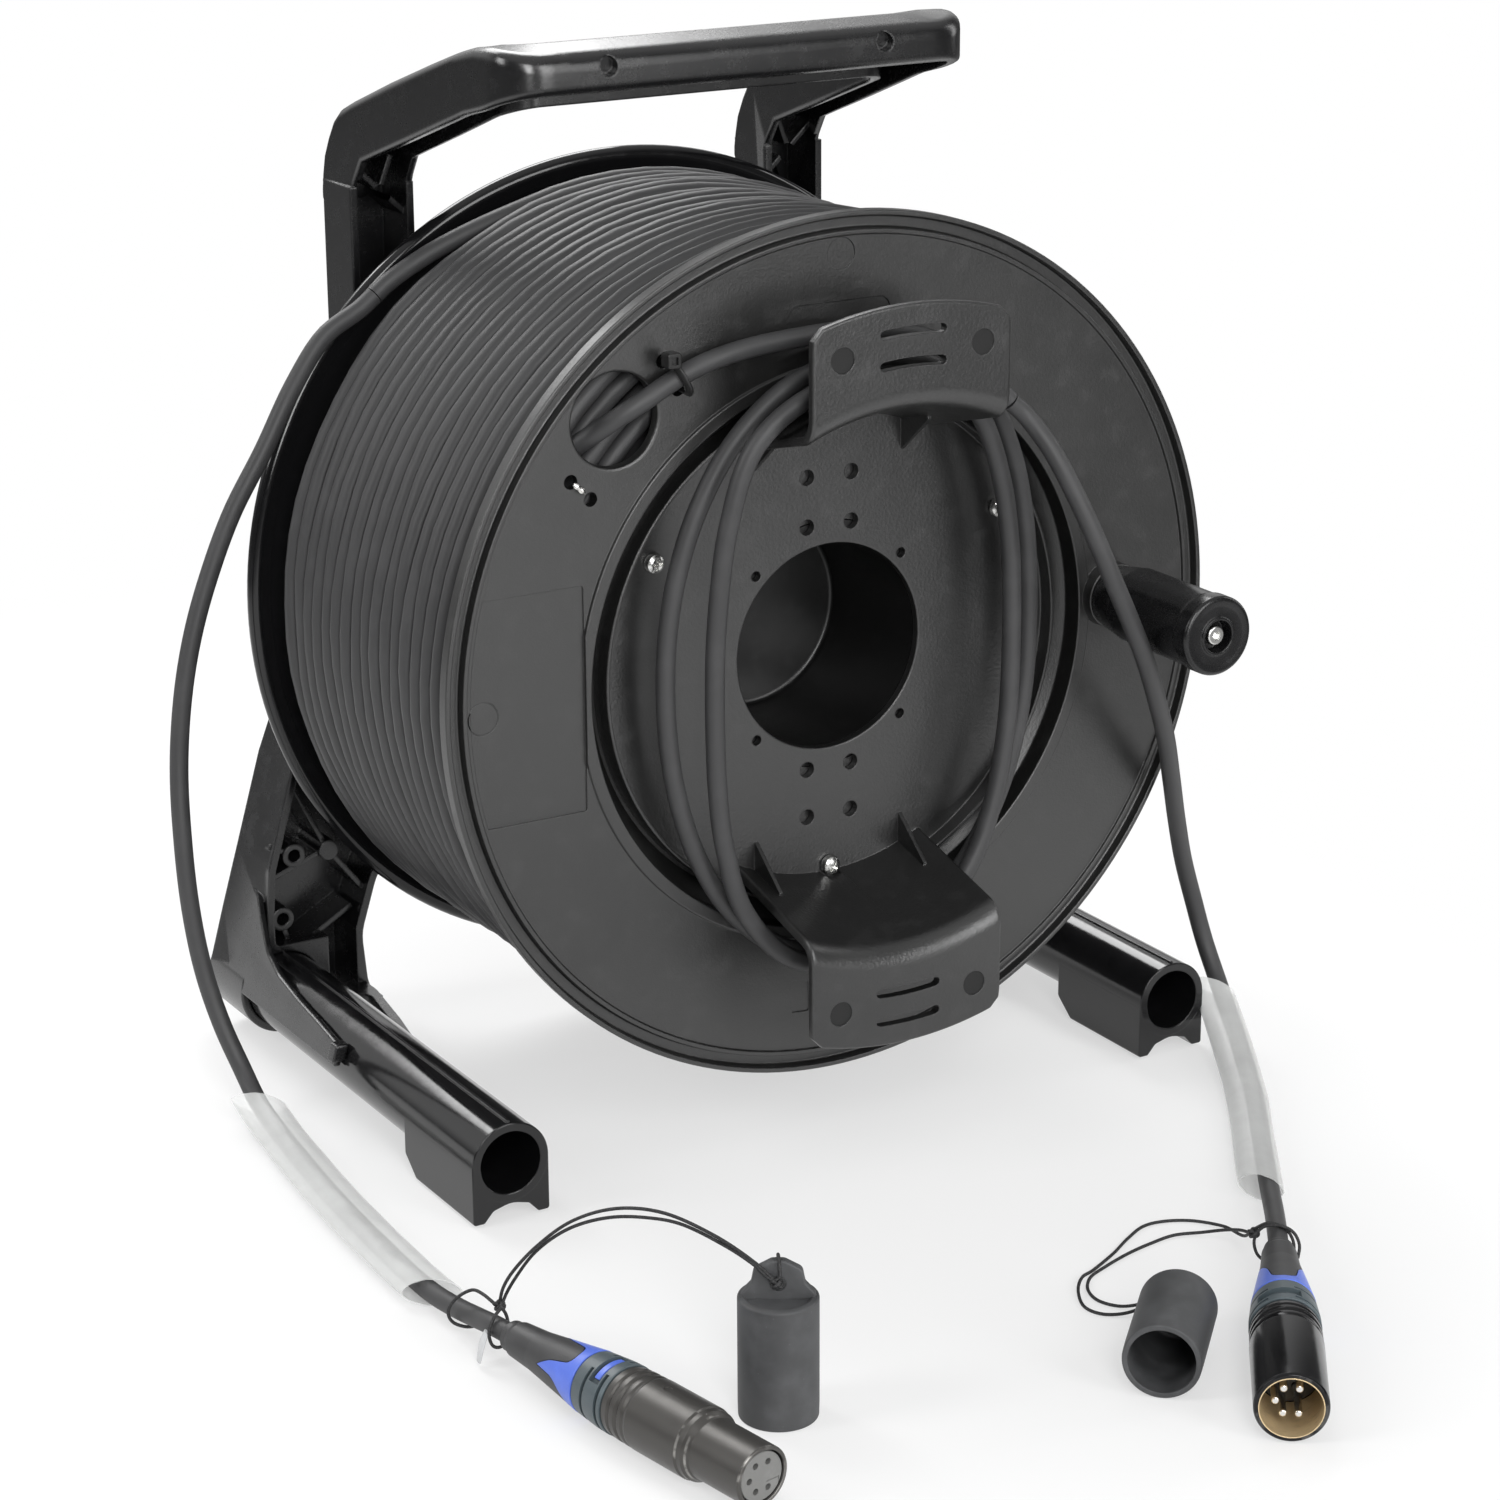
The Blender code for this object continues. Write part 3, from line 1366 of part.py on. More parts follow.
def leads():
    """Both free leads with their clear sleeves."""
    spacing = CABLE_D * 3.0
    end, way = plug_end(FEMALE, FEMALE_WAY)
    start = OUTER_END + OUTER_WAY * GAP * MM
    outer = cord_route(start, OUTER_WAY, [at(*place) for place in OUTER_ROUTE], end, way, spacing)
    tube("outer_lead", outer, CABLE_D, "cable_grey")
    sleeve("outer_sleeve", between(outer, at(-147, 88, 7.4), at(-155.8, -43.5, 4.4)))
    end, way = plug_end(MALE, MALE_WAY)
    start = INNER_END + INNER_WAY * GAP * MM
    inner = cord_route(start, INNER_WAY, [at(*place) for place in INNER_ROUTE], end, way, spacing)
    tube("inner_lead", inner, CABLE_D, "cable_grey")
    sleeve("inner_sleeve", between(inner, at(134.6, -5, 15.5), at(70.5, -110.5, 5.8)))


LANYARD_D = 1.0
LANYARD_LOOP_R = 4.0
# From the loop round the cable to the cap's eyelet
STANDING_LANYARD = (
    (-154.6, -70.5, 13.0),
    (-150.6, -77.0, 21.0),
    (-145.6, -84.6, 31.6),
    (-139.5, -93.6, 41.3),
    (-132.5, -104.2, 47.2),
    (-125.4, -115.0, 48.6),
    (-117.8, -126.4, 45.2),
    (-112.2, -134.9, 39.6),
    (-109.6, -138.8, 37.9),
    (-106.4, -143.6, 37.7),
)
LYING_LANYARD = (
    (55.8, -123.5, 9.0),
    (50.0, -117.0, 3.6),
    (41.0, -110.6, 1.0),
    (30.0, -109.6, 1.0),
    (16.0, -113.0, 1.0),
    (3.0, -119.0, 1.0),
    (-4.6, -126.0, 1.0),
    (-7.4, -134.0, 1.0),
    (-6.0, -141.0, 1.6),
    (-1.0, -146.0, 5.0),
    (2.0, -150.5, 8.6),
)


def lanyard(name, route, cable_at, along):
    """A thin cord with a loop round the cable at one end, joined in one piece."""
    way = Vector((*along, 0.0)).normalized()
    across = way.cross(Vector((0.0, 0.0, 1.0)))
    centre = at(*cable_at)
    ring = []
    for step in range(8):
        angle = math.radians(step * 45 + 22.5)
        out = across * math.cos(angle) + Vector((0.0, 0.0, math.sin(angle)))
        ring.append(centre + out * LANYARD_LOOP_R * MM)
    loop = settle(tube(name + "_loop", ring, LANYARD_D, cyclic=True), name, "lanyard")
    top = centre + Vector((0, 0, 0.92 * LANYARD_LOOP_R * MM))
    cord = spline_through([top, *[at(*place) for place in route]])
    cord = settle(tube(name + "_cord", evenly(cord, 9.5 * MM), LANYARD_D), name + "_run", None)
    join(loop, cord)
    return finished(loop)


def lanyards():
    """The cord from each cap to the cable behind its plug, and the knot of white cord."""
    lanyard("standing_lanyard", STANDING_LANYARD, (-154.6, -70.0, 7.6), FEMALE_WAY)
    lanyard("lying_lanyard", LYING_LANYARD, (57.6, -128.9, 7.6), MALE_WAY)
    knot = [
        at(-157.0, -68.5, 3.0),
        at(-159.6, -71.5, 1.4),
        at(-162.4, -76.0, 1.0),
        at(-160.2, -79.4, 1.0),
    ]
    tube("knot_tail", evenly(spline_through(knot), 2.6 * MM), 1.4, "white_cord", resolution=1)


front_flange()
rear_flange()
drum_inside()
winding_bracket()
bracket_screws()
wound_cable()
ties()
crank()
axle()
back_frame()
foot_tube(-1, "foot_tube_left")
foot_tube(1, "foot_tube_right")
plug_rear("female", FEMALE)
female_plug()
plug_rear("male", MALE)
male_plug()
rubber_cap("standing_cap", STANDING_CAP, -56.5)
rubber_cap("lying_cap", LYING_CAP, 0)
leads()
lanyards()
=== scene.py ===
"""A portable cable drum with a long lighting-control cable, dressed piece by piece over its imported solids.

Sizes are in millimetres: x to the right, y counted back from the rim plane of the front flange, z up from
the floor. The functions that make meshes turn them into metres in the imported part's own frame.
"""

from __future__ import annotations

import logging
import sys
from collections.abc import Callable, Iterable, Sequence
from dataclasses import dataclass
from enum import Enum
from math import asin, ceil, copysign, cos, hypot, pi, radians, sin, sqrt, tan

import bmesh
import bpy
from mathutils import Matrix, Vector, noise


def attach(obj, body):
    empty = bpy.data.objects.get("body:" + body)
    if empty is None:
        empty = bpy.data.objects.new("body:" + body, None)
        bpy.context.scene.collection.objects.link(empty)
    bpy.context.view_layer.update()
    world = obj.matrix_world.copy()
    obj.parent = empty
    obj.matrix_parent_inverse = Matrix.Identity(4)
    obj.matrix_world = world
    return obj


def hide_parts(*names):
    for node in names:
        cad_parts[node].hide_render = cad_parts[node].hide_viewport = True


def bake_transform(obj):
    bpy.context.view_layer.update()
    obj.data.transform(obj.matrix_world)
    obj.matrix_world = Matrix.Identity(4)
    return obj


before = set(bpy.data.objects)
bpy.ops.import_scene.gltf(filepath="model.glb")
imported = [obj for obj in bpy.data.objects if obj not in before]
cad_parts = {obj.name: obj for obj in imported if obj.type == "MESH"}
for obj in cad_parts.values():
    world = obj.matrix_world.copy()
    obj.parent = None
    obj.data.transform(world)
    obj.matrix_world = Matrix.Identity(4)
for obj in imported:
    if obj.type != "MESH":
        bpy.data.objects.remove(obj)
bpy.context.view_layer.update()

LOG = logging.getLogger("cable_drum")

# In metres: a millimetre, and how close two corners are that count as one.
MM = 0.001
WELD = 1e-6
# In millimetres: the rim plane, the axle's height, the gap between pieces, and the cable's diameter.
RIM_Y = -58.25
AXLE_Z = 143.85
GAP = 0.3
CABLE_D = 5.5
# How far the cable runs straight from each of its ends, in diameters.
STRAIGHT = 1.1
# The height of a lying plug's axis.
PLUG_Z = 9.6

Pair = Sequence[float]
Spot = tuple[float, float]
Place = tuple[float, float, float]
Colour = tuple[float, float, float]
Section = Callable[[int, float], Spot]
Object = bpy.types.Object


class Body(Enum):
    """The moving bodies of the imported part."""

    FRAME = "frame"
    DRUM = "drum"
    KNOB = "crank_knob"
    LATCH = "latch"


class Slot(Enum):
    """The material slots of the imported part."""

    GLOSS = "gloss_black"
    SATIN = "satin_black"
    CABLE = "cable_grey"
    RUBBER = "rubber"
    BLUE = "blue"
    RING = "grey_ring"
    SHELL = "black_metal"
    INSERT = "insert_black"
    SILVER = "silver"
    ZINC = "zinc"
    STEEL = "steel"
    SLEEVE = "clear_sleeve"
    LANYARD = "lanyard"
    WHITE = "white_cord"


class Axis(Enum):
    """The direction in which a flat outline is given thickness."""

    X = "x"
    Y = "y"
    Z = "z"


# Shader graphs


class Wire:
    """A number on its way between nodes, which Python's operators turn into Math nodes."""

    def __init__(self, graph: Graph, socket: bpy.types.NodeSocket) -> None:
        """Keep the graph and the socket that gives the number."""
        self.graph = graph
        self.socket = socket

    def sums(self, operation: str, *terms: Wire | float) -> Wire:
        """The result of one Math node.

        Args:
            operation: Blender's name of the sum.
            terms: the numbers or wires that go into it, in order.

        Returns:
            The wire that carries the result.
        """
        node = self.graph.node("ShaderNodeMath", {"operation": operation}, dict(enumerate(terms)))
        return Wire(self.graph, node.outputs[0])

    def __add__(self, other: Wire | float) -> Wire:
        """This number plus another."""
        return self.sums("ADD", self, other)

    def __radd__(self, other: float) -> Wire:
        """Another number plus this one."""
        return self.sums("ADD", other, self)

    def __sub__(self, other: Wire | float) -> Wire:
        """This number less another."""
        return self.sums("SUBTRACT", self, other)

    def __rsub__(self, other: float) -> Wire:
        """Another number less this one."""
        return self.sums("SUBTRACT", other, self)

    def __mul__(self, other: Wire | float) -> Wire:
        """This number times another."""
        return self.sums("MULTIPLY", self, other)

    def __rmul__(self, other: float) -> Wire:
        """Another number times this one."""
        return self.sums("MULTIPLY", other, self)

    def __pow__(self, other: Wire | float) -> Wire:
        """This number to a power."""
        return self.sums("POWER", self, other)

    def __abs__(self) -> Wire:
        """This number without its sign."""
        return self.sums("ABSOLUTE", self)

    def rising(self, low: float, high: float) -> Wire:
        """A smooth rise from 0 to 1 as this number goes from low to high.

        Args:
            low: the number where the rise starts.
            high: the number where it ends, which may be the lower one.

        Returns:
            The wire that carries the result.
        """
        values = {"Value": self, "From Min": low, "From Max": high}
        settings = {"interpolation_type": "SMOOTHSTEP"}
        return Wire(self.graph, self.graph.node("ShaderNodeMapRange", settings, values).outputs[0])


class Graph:
    """The nodes of one material, round its Principled shader, or of the room's light."""

    def __init__(self, name: str, tree: bpy.types.NodeTree | None = None) -> None:
        """Make the material with its shader, or take the room's tree, with a place to count from.

        Args:
            name: the material's name.
            tree: the tree to build in, where it isn't a material's.
        """
        if tree is None:
            self.material = bpy.data.materials.new(name)
            self.material.use_nodes = True
            tree = self.material.node_tree
            self.shader = tree.nodes["Principled BSDF"]
        self.tree = tree
        coordinates = self.node("ShaderNodeTexCoord", {}, {}).outputs
        self.place = coordinates["Object" if hasattr(self, "shader") else "Generated"]

    def node(self, kind: str, settings: dict, values: dict) -> bpy.types.Node:
        """Add a node.

        Args:
            kind: Blender's type name of the node.
            settings: its properties, set first.
            values: what goes into its sockets, a constant or a link, by name or number.

        Returns:
            The node.
        """
        made = self.tree.nodes.new(kind)
        for name, value in settings.items():
            setattr(made, name, value)
        for name, value in values.items():
            self.feed(made.inputs[name], value)
        return made

    def feed(self, socket: bpy.types.NodeSocket, value: object) -> None:
        """Link a wire or a socket to a socket, or set its constant.

        Args:
            socket: the socket that takes the value.
            value: the wire, socket or constant.
        """
        source = value.socket if isinstance(value, Wire) else value
        if isinstance(source, bpy.types.NodeSocket):
            self.tree.links.new(source, socket)
        else:
            socket.default_value = source

    def surface(self, **inputs: object) -> None:
        """Set or link sockets of the shader, whose names have _ for a space."""
        for name, value in inputs.items():
            self.feed(self.shader.inputs[name.replace("_", " ").title().replace("Ior", "IOR")], value)

    def stretched(self, scale: Place) -> bpy.types.NodeSocket:
        """The place on the object, multiplied along each of its directions."""
        settings = {"operation": "MULTIPLY"}
        return self.node("ShaderNodeVectorMath", settings, {0: self.place, 1: scale}).outputs[0]

    def noise(self, size: float, detail: float = 2.0, stretch: Place = (1, 1, 1)) -> Wire:
        """Smooth noise between 0 and 1.

        Args:
            size: the size of its lumps in millimetres.
            detail: how many finer layers it has.
            stretch: the number of lumps along each direction, relative to the others.

        Returns:
            The wire that carries it.
        """
        values = {"Vector": self.stretched(stretch), "Scale": 1000.0 / size, "Detail": detail}
        return Wire(self, self.node("ShaderNodeTexNoise", {}, values).outputs[0])

    def cells(self, size: float) -> Wire:
        """The distance to the nearest of many scattered points, about 0 to 1."""
        values = {"Vector": self.place, "Scale": 1000.0 / size}
        return Wire(self, self.node("ShaderNodeTexVoronoi", {}, values).outputs["Distance"])

    def coordinates(self) -> tuple[Wire, Wire, Wire]:
        """The place on the object as three numbers, in metres."""
        outputs = self.node("ShaderNodeSeparateXYZ", {}, {0: self.place}).outputs
        return Wire(self, outputs[0]), Wire(self, outputs[1]), Wire(self, outputs[2])

    def mixed(self, share: Wire, first: Colour, second: Colour) -> bpy.types.NodeSocket:
        """A colour between two, where share 0 is the first."""
        values = {0: share, 6: (*first, 1.0), 7: (*second, 1.0)}
        return self.node("ShaderNodeMix", {"data_type": "RGBA"}, values).outputs[2]

    def raised(self, height: Wire, depth: float, edge: float = 0.0) -> bpy.types.NodeSocket:
        """The normal of a surface with small relief and, where edge isn't 0, with softened edges.

        Args:
            height: the relief, between 0 and 1.
            depth: what a height of 1 stands for, in millimetres.
            edge: the radius that sharp edges get, in millimetres.

        Returns:
            The socket of the normal.
        """
        values: dict = {"Height": height, "Distance": depth * MM, "Strength": 1.0}
        if edge:
            values["Normal"] = self.node("ShaderNodeBevel", {"samples": 4}, {"Radius": edge * MM}).outputs[0]
        return self.node("ShaderNodeBump", {}, values).outputs[0]


def shade(colour: Colour, factor: float) -> Colour:
    """A colour made lighter or darker."""
    return (colour[0] * factor, colour[1] * factor, colour[2] * factor)


@dataclass(frozen=True)
class Finish:
    """What every finish has: a name, a colour and how rough it is."""

    name: str
    colour: Colour
    roughness: float

    def material(self) -> bpy.types.Material:
        """The finish's material, made when it is first asked for.

        Returns:
            The material.
        """
        known = bpy.data.materials.get("finish_" + self.name)
        if known is not None:
            return known
        graph = Graph("finish_" + self.name)
        self.dress(graph)
        return graph.material

    def dress(self, graph: Graph) -> None:
        """Build the nodes of the finish."""
        raise NotImplementedError


@dataclass(frozen=True)
class Moulded(Finish):
    """Moulded plastic, with the fine grain of its mould, slight waves and handling marks."""

    grain: float = 0.35
    depth: float = 0.012
    edge: float = 0.0
    dust: float = 0.15
    speckle: float = 0.0
    shine: float = 0.5

    def dress(self, graph: Graph) -> None:
        """Grain in the bump, with roughness and colour that drift a little.

        Args:
            graph: the graph of the finish's material.
        """
        fine = graph.noise(self.grain, 3.0)
        waves = graph.noise(14.0, 1.0)
        marks = graph.noise(6.0, 5.0).rising(0.52, 0.72)
        lighter = shade(self.colour, 1.0 + 4.0 * self.dust)
        specks = graph.cells(self.grain * 2.2)
        graph.surface(
            specular_ior_level=self.shine,
            base_color=graph.mixed(marks * (0.5 + 0.5 * fine), self.colour, lighter),
            roughness=self.roughness + 0.10 * (waves - 0.5) + 0.12 * (fine - 0.5) + self.dust * 0.4 * marks,
            normal=graph.raised(fine * 0.75 + specks * self.speckle + waves * 1.5, self.depth, self.edge),
        )


@dataclass(frozen=True)
class Jacket(Finish):
    """The cable's matte jacket, with faint scuffs and dust."""

    def dress(self, graph: Graph) -> None:
        """Scuffs that lighten the jacket, over a fine skin.

        Args:
            graph: the graph of the finish's material.
        """
        skin = graph.noise(0.25, 3.0)
        scuffs = graph.noise(9.0, 5.0).rising(0.45, 0.75)
        cloud = graph.noise(45.0, 2.0)
        graph.surface(
            base_color=graph.mixed(scuffs * 0.55 + cloud * 0.45, self.colour, shade(self.colour, 1.5)),
            roughness=self.roughness + 0.14 * (cloud - 0.5) + 0.10 * scuffs,
            normal=graph.raised(skin + scuffs * 0.5, 0.012),
        )


@dataclass(frozen=True)
class Rubber(Finish):
    """Soft rubber with a dull bloom."""

    def dress(self, graph: Graph) -> None:
        """A dusty bloom and a very fine skin.

        Args:
            graph: the graph of the finish's material.
        """
        skin = graph.noise(0.3, 4.0)
        bloom = graph.noise(7.0, 4.0).rising(0.35, 0.8)
        specks = graph.cells(2.6).rising(0.10, 0.03)
        graph.surface(
            base_color=graph.mixed(bloom * 0.7 + specks * 0.6, self.colour, shade(self.colour, 1.9)),
            roughness=self.roughness + 0.12 * (bloom - 0.5),
            normal=graph.raised(skin + bloom, 0.014, 0.25),
        )


@dataclass(frozen=True)
class Metal(Finish):
    """Bare metal with turning marks round the object's own Z axis."""

    lines: float = 0.2
    metal: float = 1.0

    def dress(self, graph: Graph) -> None:
        """Turning marks, fine along the axis, and cloudy brightness.

        Args:
            graph: the graph of the finish's material.
        """
        marks = graph.noise(self.lines, 3.0, (0.05, 0.05, 1.0))
        cloud = graph.noise(3.0, 3.0)
        graph.surface(
            metallic=self.metal,
            base_color=graph.mixed(cloud * 0.6 + marks * 0.4, shade(self.colour, 0.75), self.colour),
            roughness=self.roughness + 0.16 * (marks - 0.5),
            normal=graph.raised(marks + cloud * 0.5, 0.004, 0.15),
        )


@dataclass(frozen=True)
class PlatedShell(Finish):
    """A black-plated die-cast shell, worn bright along its edges, laid out along its own Z axis."""

    bright: Colour = (0.42, 0.41, 0.39)
    worn_at: tuple[float, ...] = ()

    def dress(self, graph: Graph) -> None:
        """Plating with small pits, and bright wear in narrow broken rings where the edges are.

        Args:
            graph: the graph of the finish's material.
        """
        along = graph.coordinates()[2]
        broken = graph.noise(5.0, 4.0).rising(0.48, 0.62) * 0.7
        wear = graph.cells(9.0).rising(0.030, 0.015) * 0.35
        for place in self.worn_at:
            wear = wear + abs(along - place * MM).rising(0.40 * MM, 0.12 * MM) * broken
        cloud = graph.noise(4.0, 4.0)
        graph.surface(
            base_color=graph.mixed(wear.sums("MINIMUM", wear, 1.0), self.colour, self.bright),
            metallic=0.55 + 0.4 * wear,
            roughness=self.roughness + 0.16 * (cloud - 0.5),
            normal=graph.raised(graph.noise(0.5, 3.0) + cloud, 0.006, 0.12),
        )


@dataclass(frozen=True)
class Milky(Finish):
    """Thin cloudy plastic film, with creases along it."""

    opacity: float = 0.8

    def dress(self, graph: Graph) -> None:
        """Clouds of opacity over fine creases.

        Args:
            graph: the graph of the finish's material.
        """
        creases = graph.noise(5.0, 3.0)
        cloud = graph.noise(16.0, 3.0)
        graph.surface(
            base_color=graph.mixed(cloud, shade(self.colour, 0.94), self.colour),
            alpha=self.opacity + 0.08 * (cloud - 0.5) + 0.04 * (creases - 0.5),
            roughness=self.roughness + 0.12 * (creases - 0.5),
            normal=graph.raised(creases, 0.05),
        )


@dataclass(frozen=True)
class Braid(Finish):
    """Thin braided cord."""

    def dress(self, graph: Graph) -> None:
        """Small crossing ridges, with painted light on their tops and painted shade in the grooves between
        them.

        Args:
            graph: the graph of the finish's material.
        """
        ridges = graph.cells(0.55)
        # The colour is lighter on the ridge tops and darker in the grooves between them: painted light and
        # painted shade that follow the relief.
        graph.surface(
            base_color=graph.mixed(ridges.rising(0.1, 0.6), shade(self.colour, 1.8), shade(self.colour, 0.6)),
            roughness=self.roughness + 0.1 * ridges,
            normal=graph.raised(1.0 - ridges, 0.12),
        )


COOL_BLACK = (0.006, 0.006, 0.0065)
FRAME_BLACK = Moulded("frame_black", COOL_BLACK, 0.25, grain=0.9, depth=0.016, edge=0.8, dust=0.10, shine=0.8)
TUBE_BLACK = Moulded("tube_black", COOL_BLACK, 0.13, grain=1.2, depth=0.008, edge=0.5, dust=0.08)
FLANGE_GLOSS = Moulded("flange_gloss", COOL_BLACK, 0.12, grain=1.4, depth=0.006, edge=0.3, dust=0.08)
FLANGE_SATIN = Moulded(
    "flange_satin", (0.008, 0.008, 0.0078), 0.38, grain=0.42, depth=0.045, edge=0.3, speckle=0.5, shine=1.0,
)
HOOK_SATIN = Moulded(
    "hook_satin", (0.008, 0.008, 0.008), 0.35, grain=0.50, depth=0.060, edge=0.5, speckle=0.6, shine=1.0,
)
# The lips' marks: the dull face is their own, the darker colour is painted shade in them.
PAD_BLACK = Moulded("pad_black", (0.004, 0.004, 0.004), 0.62, grain=0.6, depth=0.01)
CUP_BLACK = Moulded("cup_black", (0.005, 0.005, 0.005), 0.34, grain=0.6, depth=0.014)
KNOB_BLACK = Moulded("knob_black", COOL_BLACK, 0.26, grain=0.5, depth=0.012, edge=0.4)
TIE_BLACK = Moulded("tie_black", (0.010, 0.010, 0.010), 0.35, grain=0.5, depth=0.01, edge=0.2)
INSERT_BLACK = Moulded("insert_black", (0.012, 0.012, 0.012), 0.45, grain=0.3, depth=0.01, edge=0.1)
INSERT_GREY = Moulded("insert_grey", (0.155, 0.155, 0.15), 0.50, grain=0.3, depth=0.01, edge=0.1, dust=0.05)
RING_GREY = Moulded("ring_grey", (0.065, 0.085, 0.095), 0.42, grain=0.3, depth=0.01, edge=0.2, dust=0.1)
MARK_BLUE = Moulded("mark_blue", (0.080, 0.150, 0.620), 0.38, grain=0.4, depth=0.01, edge=0.2, dust=0.03)
NYLON = Moulded("nylon", (0.72, 0.71, 0.67), 0.50, grain=0.5, depth=0.01, dust=0.02)
CABLE = Jacket("cable_jacket", (0.034, 0.034, 0.035), 0.52)
RUBBER_BLACK = Rubber("rubber_black", (0.045, 0.046, 0.048), 0.62)
BOOT_RUBBER = Rubber("boot_rubber", (0.028, 0.028, 0.029), 0.52)
PLATED_FEMALE = PlatedShell("plated_female", (0.070, 0.067, 0.063), 0.36, worn_at=(75.2, 78.0, 96.4))
PLATED_MALE = PlatedShell("plated_male", (0.012, 0.012, 0.013), 0.18, worn_at=(87.9,))
LINING = Metal("brass_lining", (0.86, 0.67, 0.40), 0.30, metal=0.55)
SILVER = Metal("contact_silver", (0.90, 0.89, 0.86), 0.22)
ZINC = Metal("zinc_plate", (0.80, 0.80, 0.78), 0.24)
STEEL = Metal("turned_steel", (0.52, 0.52, 0.53), 0.28)
FILM = Milky("milky_film", (0.86, 0.87, 0.86), 0.34, opacity=0.36)
CORD_BLACK = Braid("cord_black", (0.020, 0.020, 0.021), 0.60)
TAG_WHITE = Milky("tag_white", (0.60, 0.61, 0.62), 0.30, opacity=0.92)


# Meshes


def at(x: float, y: float, z: float) -> Vector:
    """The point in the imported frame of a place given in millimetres."""
    return Vector((x, y + RIM_Y, z)) * MM


def around(radius: float, degrees: float, y: float = 0.0) -> Place:
    """The place at this radius and angle on the drum, counted from its right side upwards."""
    angle = radians(degrees)
    return (radius * cos(angle), y, AXLE_Z + radius * sin(angle))


def backwards(x: float, z: float) -> Matrix:
    """The place on the rim plane at x and z, with its Z axis towards the back."""
    return Matrix.Translation(at(x, 0, z)) @ Matrix.Rotation(radians(-90), 4, "X")


def spin(degrees: float) -> Matrix:
    """A turn about the Z axis."""
    return Matrix.Rotation(radians(degrees), 4, "Z")


def both_sides(half: Sequence[Pair]) -> list[Pair]:
    """An outline that is the same on both sides of 0, from its left half."""
    return [*half, *[(-corner[0], *corner[1:]) for corner in reversed(half)]]


def rectangle(left: float, low: float, right: float, high: float, corner: float = 0.0) -> list[Pair]:
    """The outline of a rectangle, with square or round corners."""
    places = ((left, low), (right, low), (right, high), (left, high))
    return [(*place, corner) if corner else place for place in places]


DRUM_AXIS = backwards(0, AXLE_Z)


def rounded(outline: Sequence[Pair], step: float = 10.0) -> list[Vector]:
    """An outline's points, where a corner (a, b, radius) becomes an arc.

    Args:
        outline: the corners in order.
        step: the most degrees from one point of an arc to the next.

    Returns:
        The points in order.
    """
    points: list[Vector] = []
    for index, corner in enumerate(outline):
        place = Vector(corner[:2])
        if len(corner) == 2:
            points.append(place)
            continue
        before = Vector(outline[index - 1][:2]) - place
        after = Vector(outline[(index + 1) % len(outline)][:2]) - place
        half = before.angle(after) / 2
        cut = min(corner[2] / tan(half), 0.48 * before.length, 0.48 * after.length)
        middle = place + (before.normalized() + after.normalized()).normalized() * cut / cos(half)
        first = place + before.normalized() * cut - middle
        last = place + after.normalized() * cut - middle
        sweep = first.angle_signed(last)
        steps = max(2, ceil(abs(sweep) / radians(step)))
        points.extend(middle + Matrix.Rotation(-sweep * s / steps, 2) @ first for s in range(steps + 1))
    return points


def new_object(name: str, data: bpy.types.ID) -> Object:
    """An object in the scene.

    Args:
        name: its name.
        data: its mesh, curve, lamp or camera.

    Returns:
        The object.
    """
    obj = bpy.data.objects.new(name, data)
    bpy.context.scene.collection.objects.link(obj)
    return obj


def as_worked(name: str, work: bmesh.types.BMesh) -> Object:
    """An object of the mesh being worked on, as it is.

    Args:
        name: the object's name.
        work: the mesh, which is used up.

    Returns:
        The object.
    """
    mesh = bpy.data.meshes.new(name)
    work.to_mesh(mesh)
    work.free()
    return new_object(name, mesh)


def from_work(name: str, work: bmesh.types.BMesh) -> Object:
    """An object of the mesh being worked on, with its faces turned outwards.

    Args:
        name: the object's name.
        work: the mesh, which is used up.

    Returns:
        The object.
    """
    bmesh.ops.recalc_face_normals(work, faces=work.faces)
    if work.calc_volume(signed=True) < 0:
        bmesh.ops.reverse_faces(work, faces=work.faces)
    return as_worked(name, work)


def band(work: bmesh.types.BMesh, one: Sequence, two: Sequence) -> None:
    """Make the faces between two closed rings of corners.

    Args:
        work: the mesh being worked on.
        one: the corners of a ring, or a single one.
        two: the corners of the next ring, or a single one.
    """
    sides = max(len(one), len(two))
    for side in range(sides if sides > 1 else 0):
        after = (side + 1) % sides
        if len(one) == 1:
            work.faces.new((one[0], two[side], two[after]))
        elif len(two) == 1:
            work.faces.new((one[side], one[after], two[0]))
        else:
            work.faces.new((one[side], one[after], two[after], two[side]))


def lofted(name: str, sections: Sequence[Sequence[Vector]]) -> Object:
    """A solid through flat sections with as many corners each.

    Args:
        name: the object's name.
        sections: the corners' places, from one end to the other.

    Returns:
        The object.
    """
    work = bmesh.new()
    rings = [[work.verts.new(place) for place in section] for section in sections]
    for one, two in zip(rings, rings[1:]):
        for index in range(len(one)):
            work.faces.new((one[index - 1], one[index], two[index], two[index - 1]))
    work.faces.new(rings[0])
    work.faces.new(rings[-1][::-1])
    return from_work(name, work)


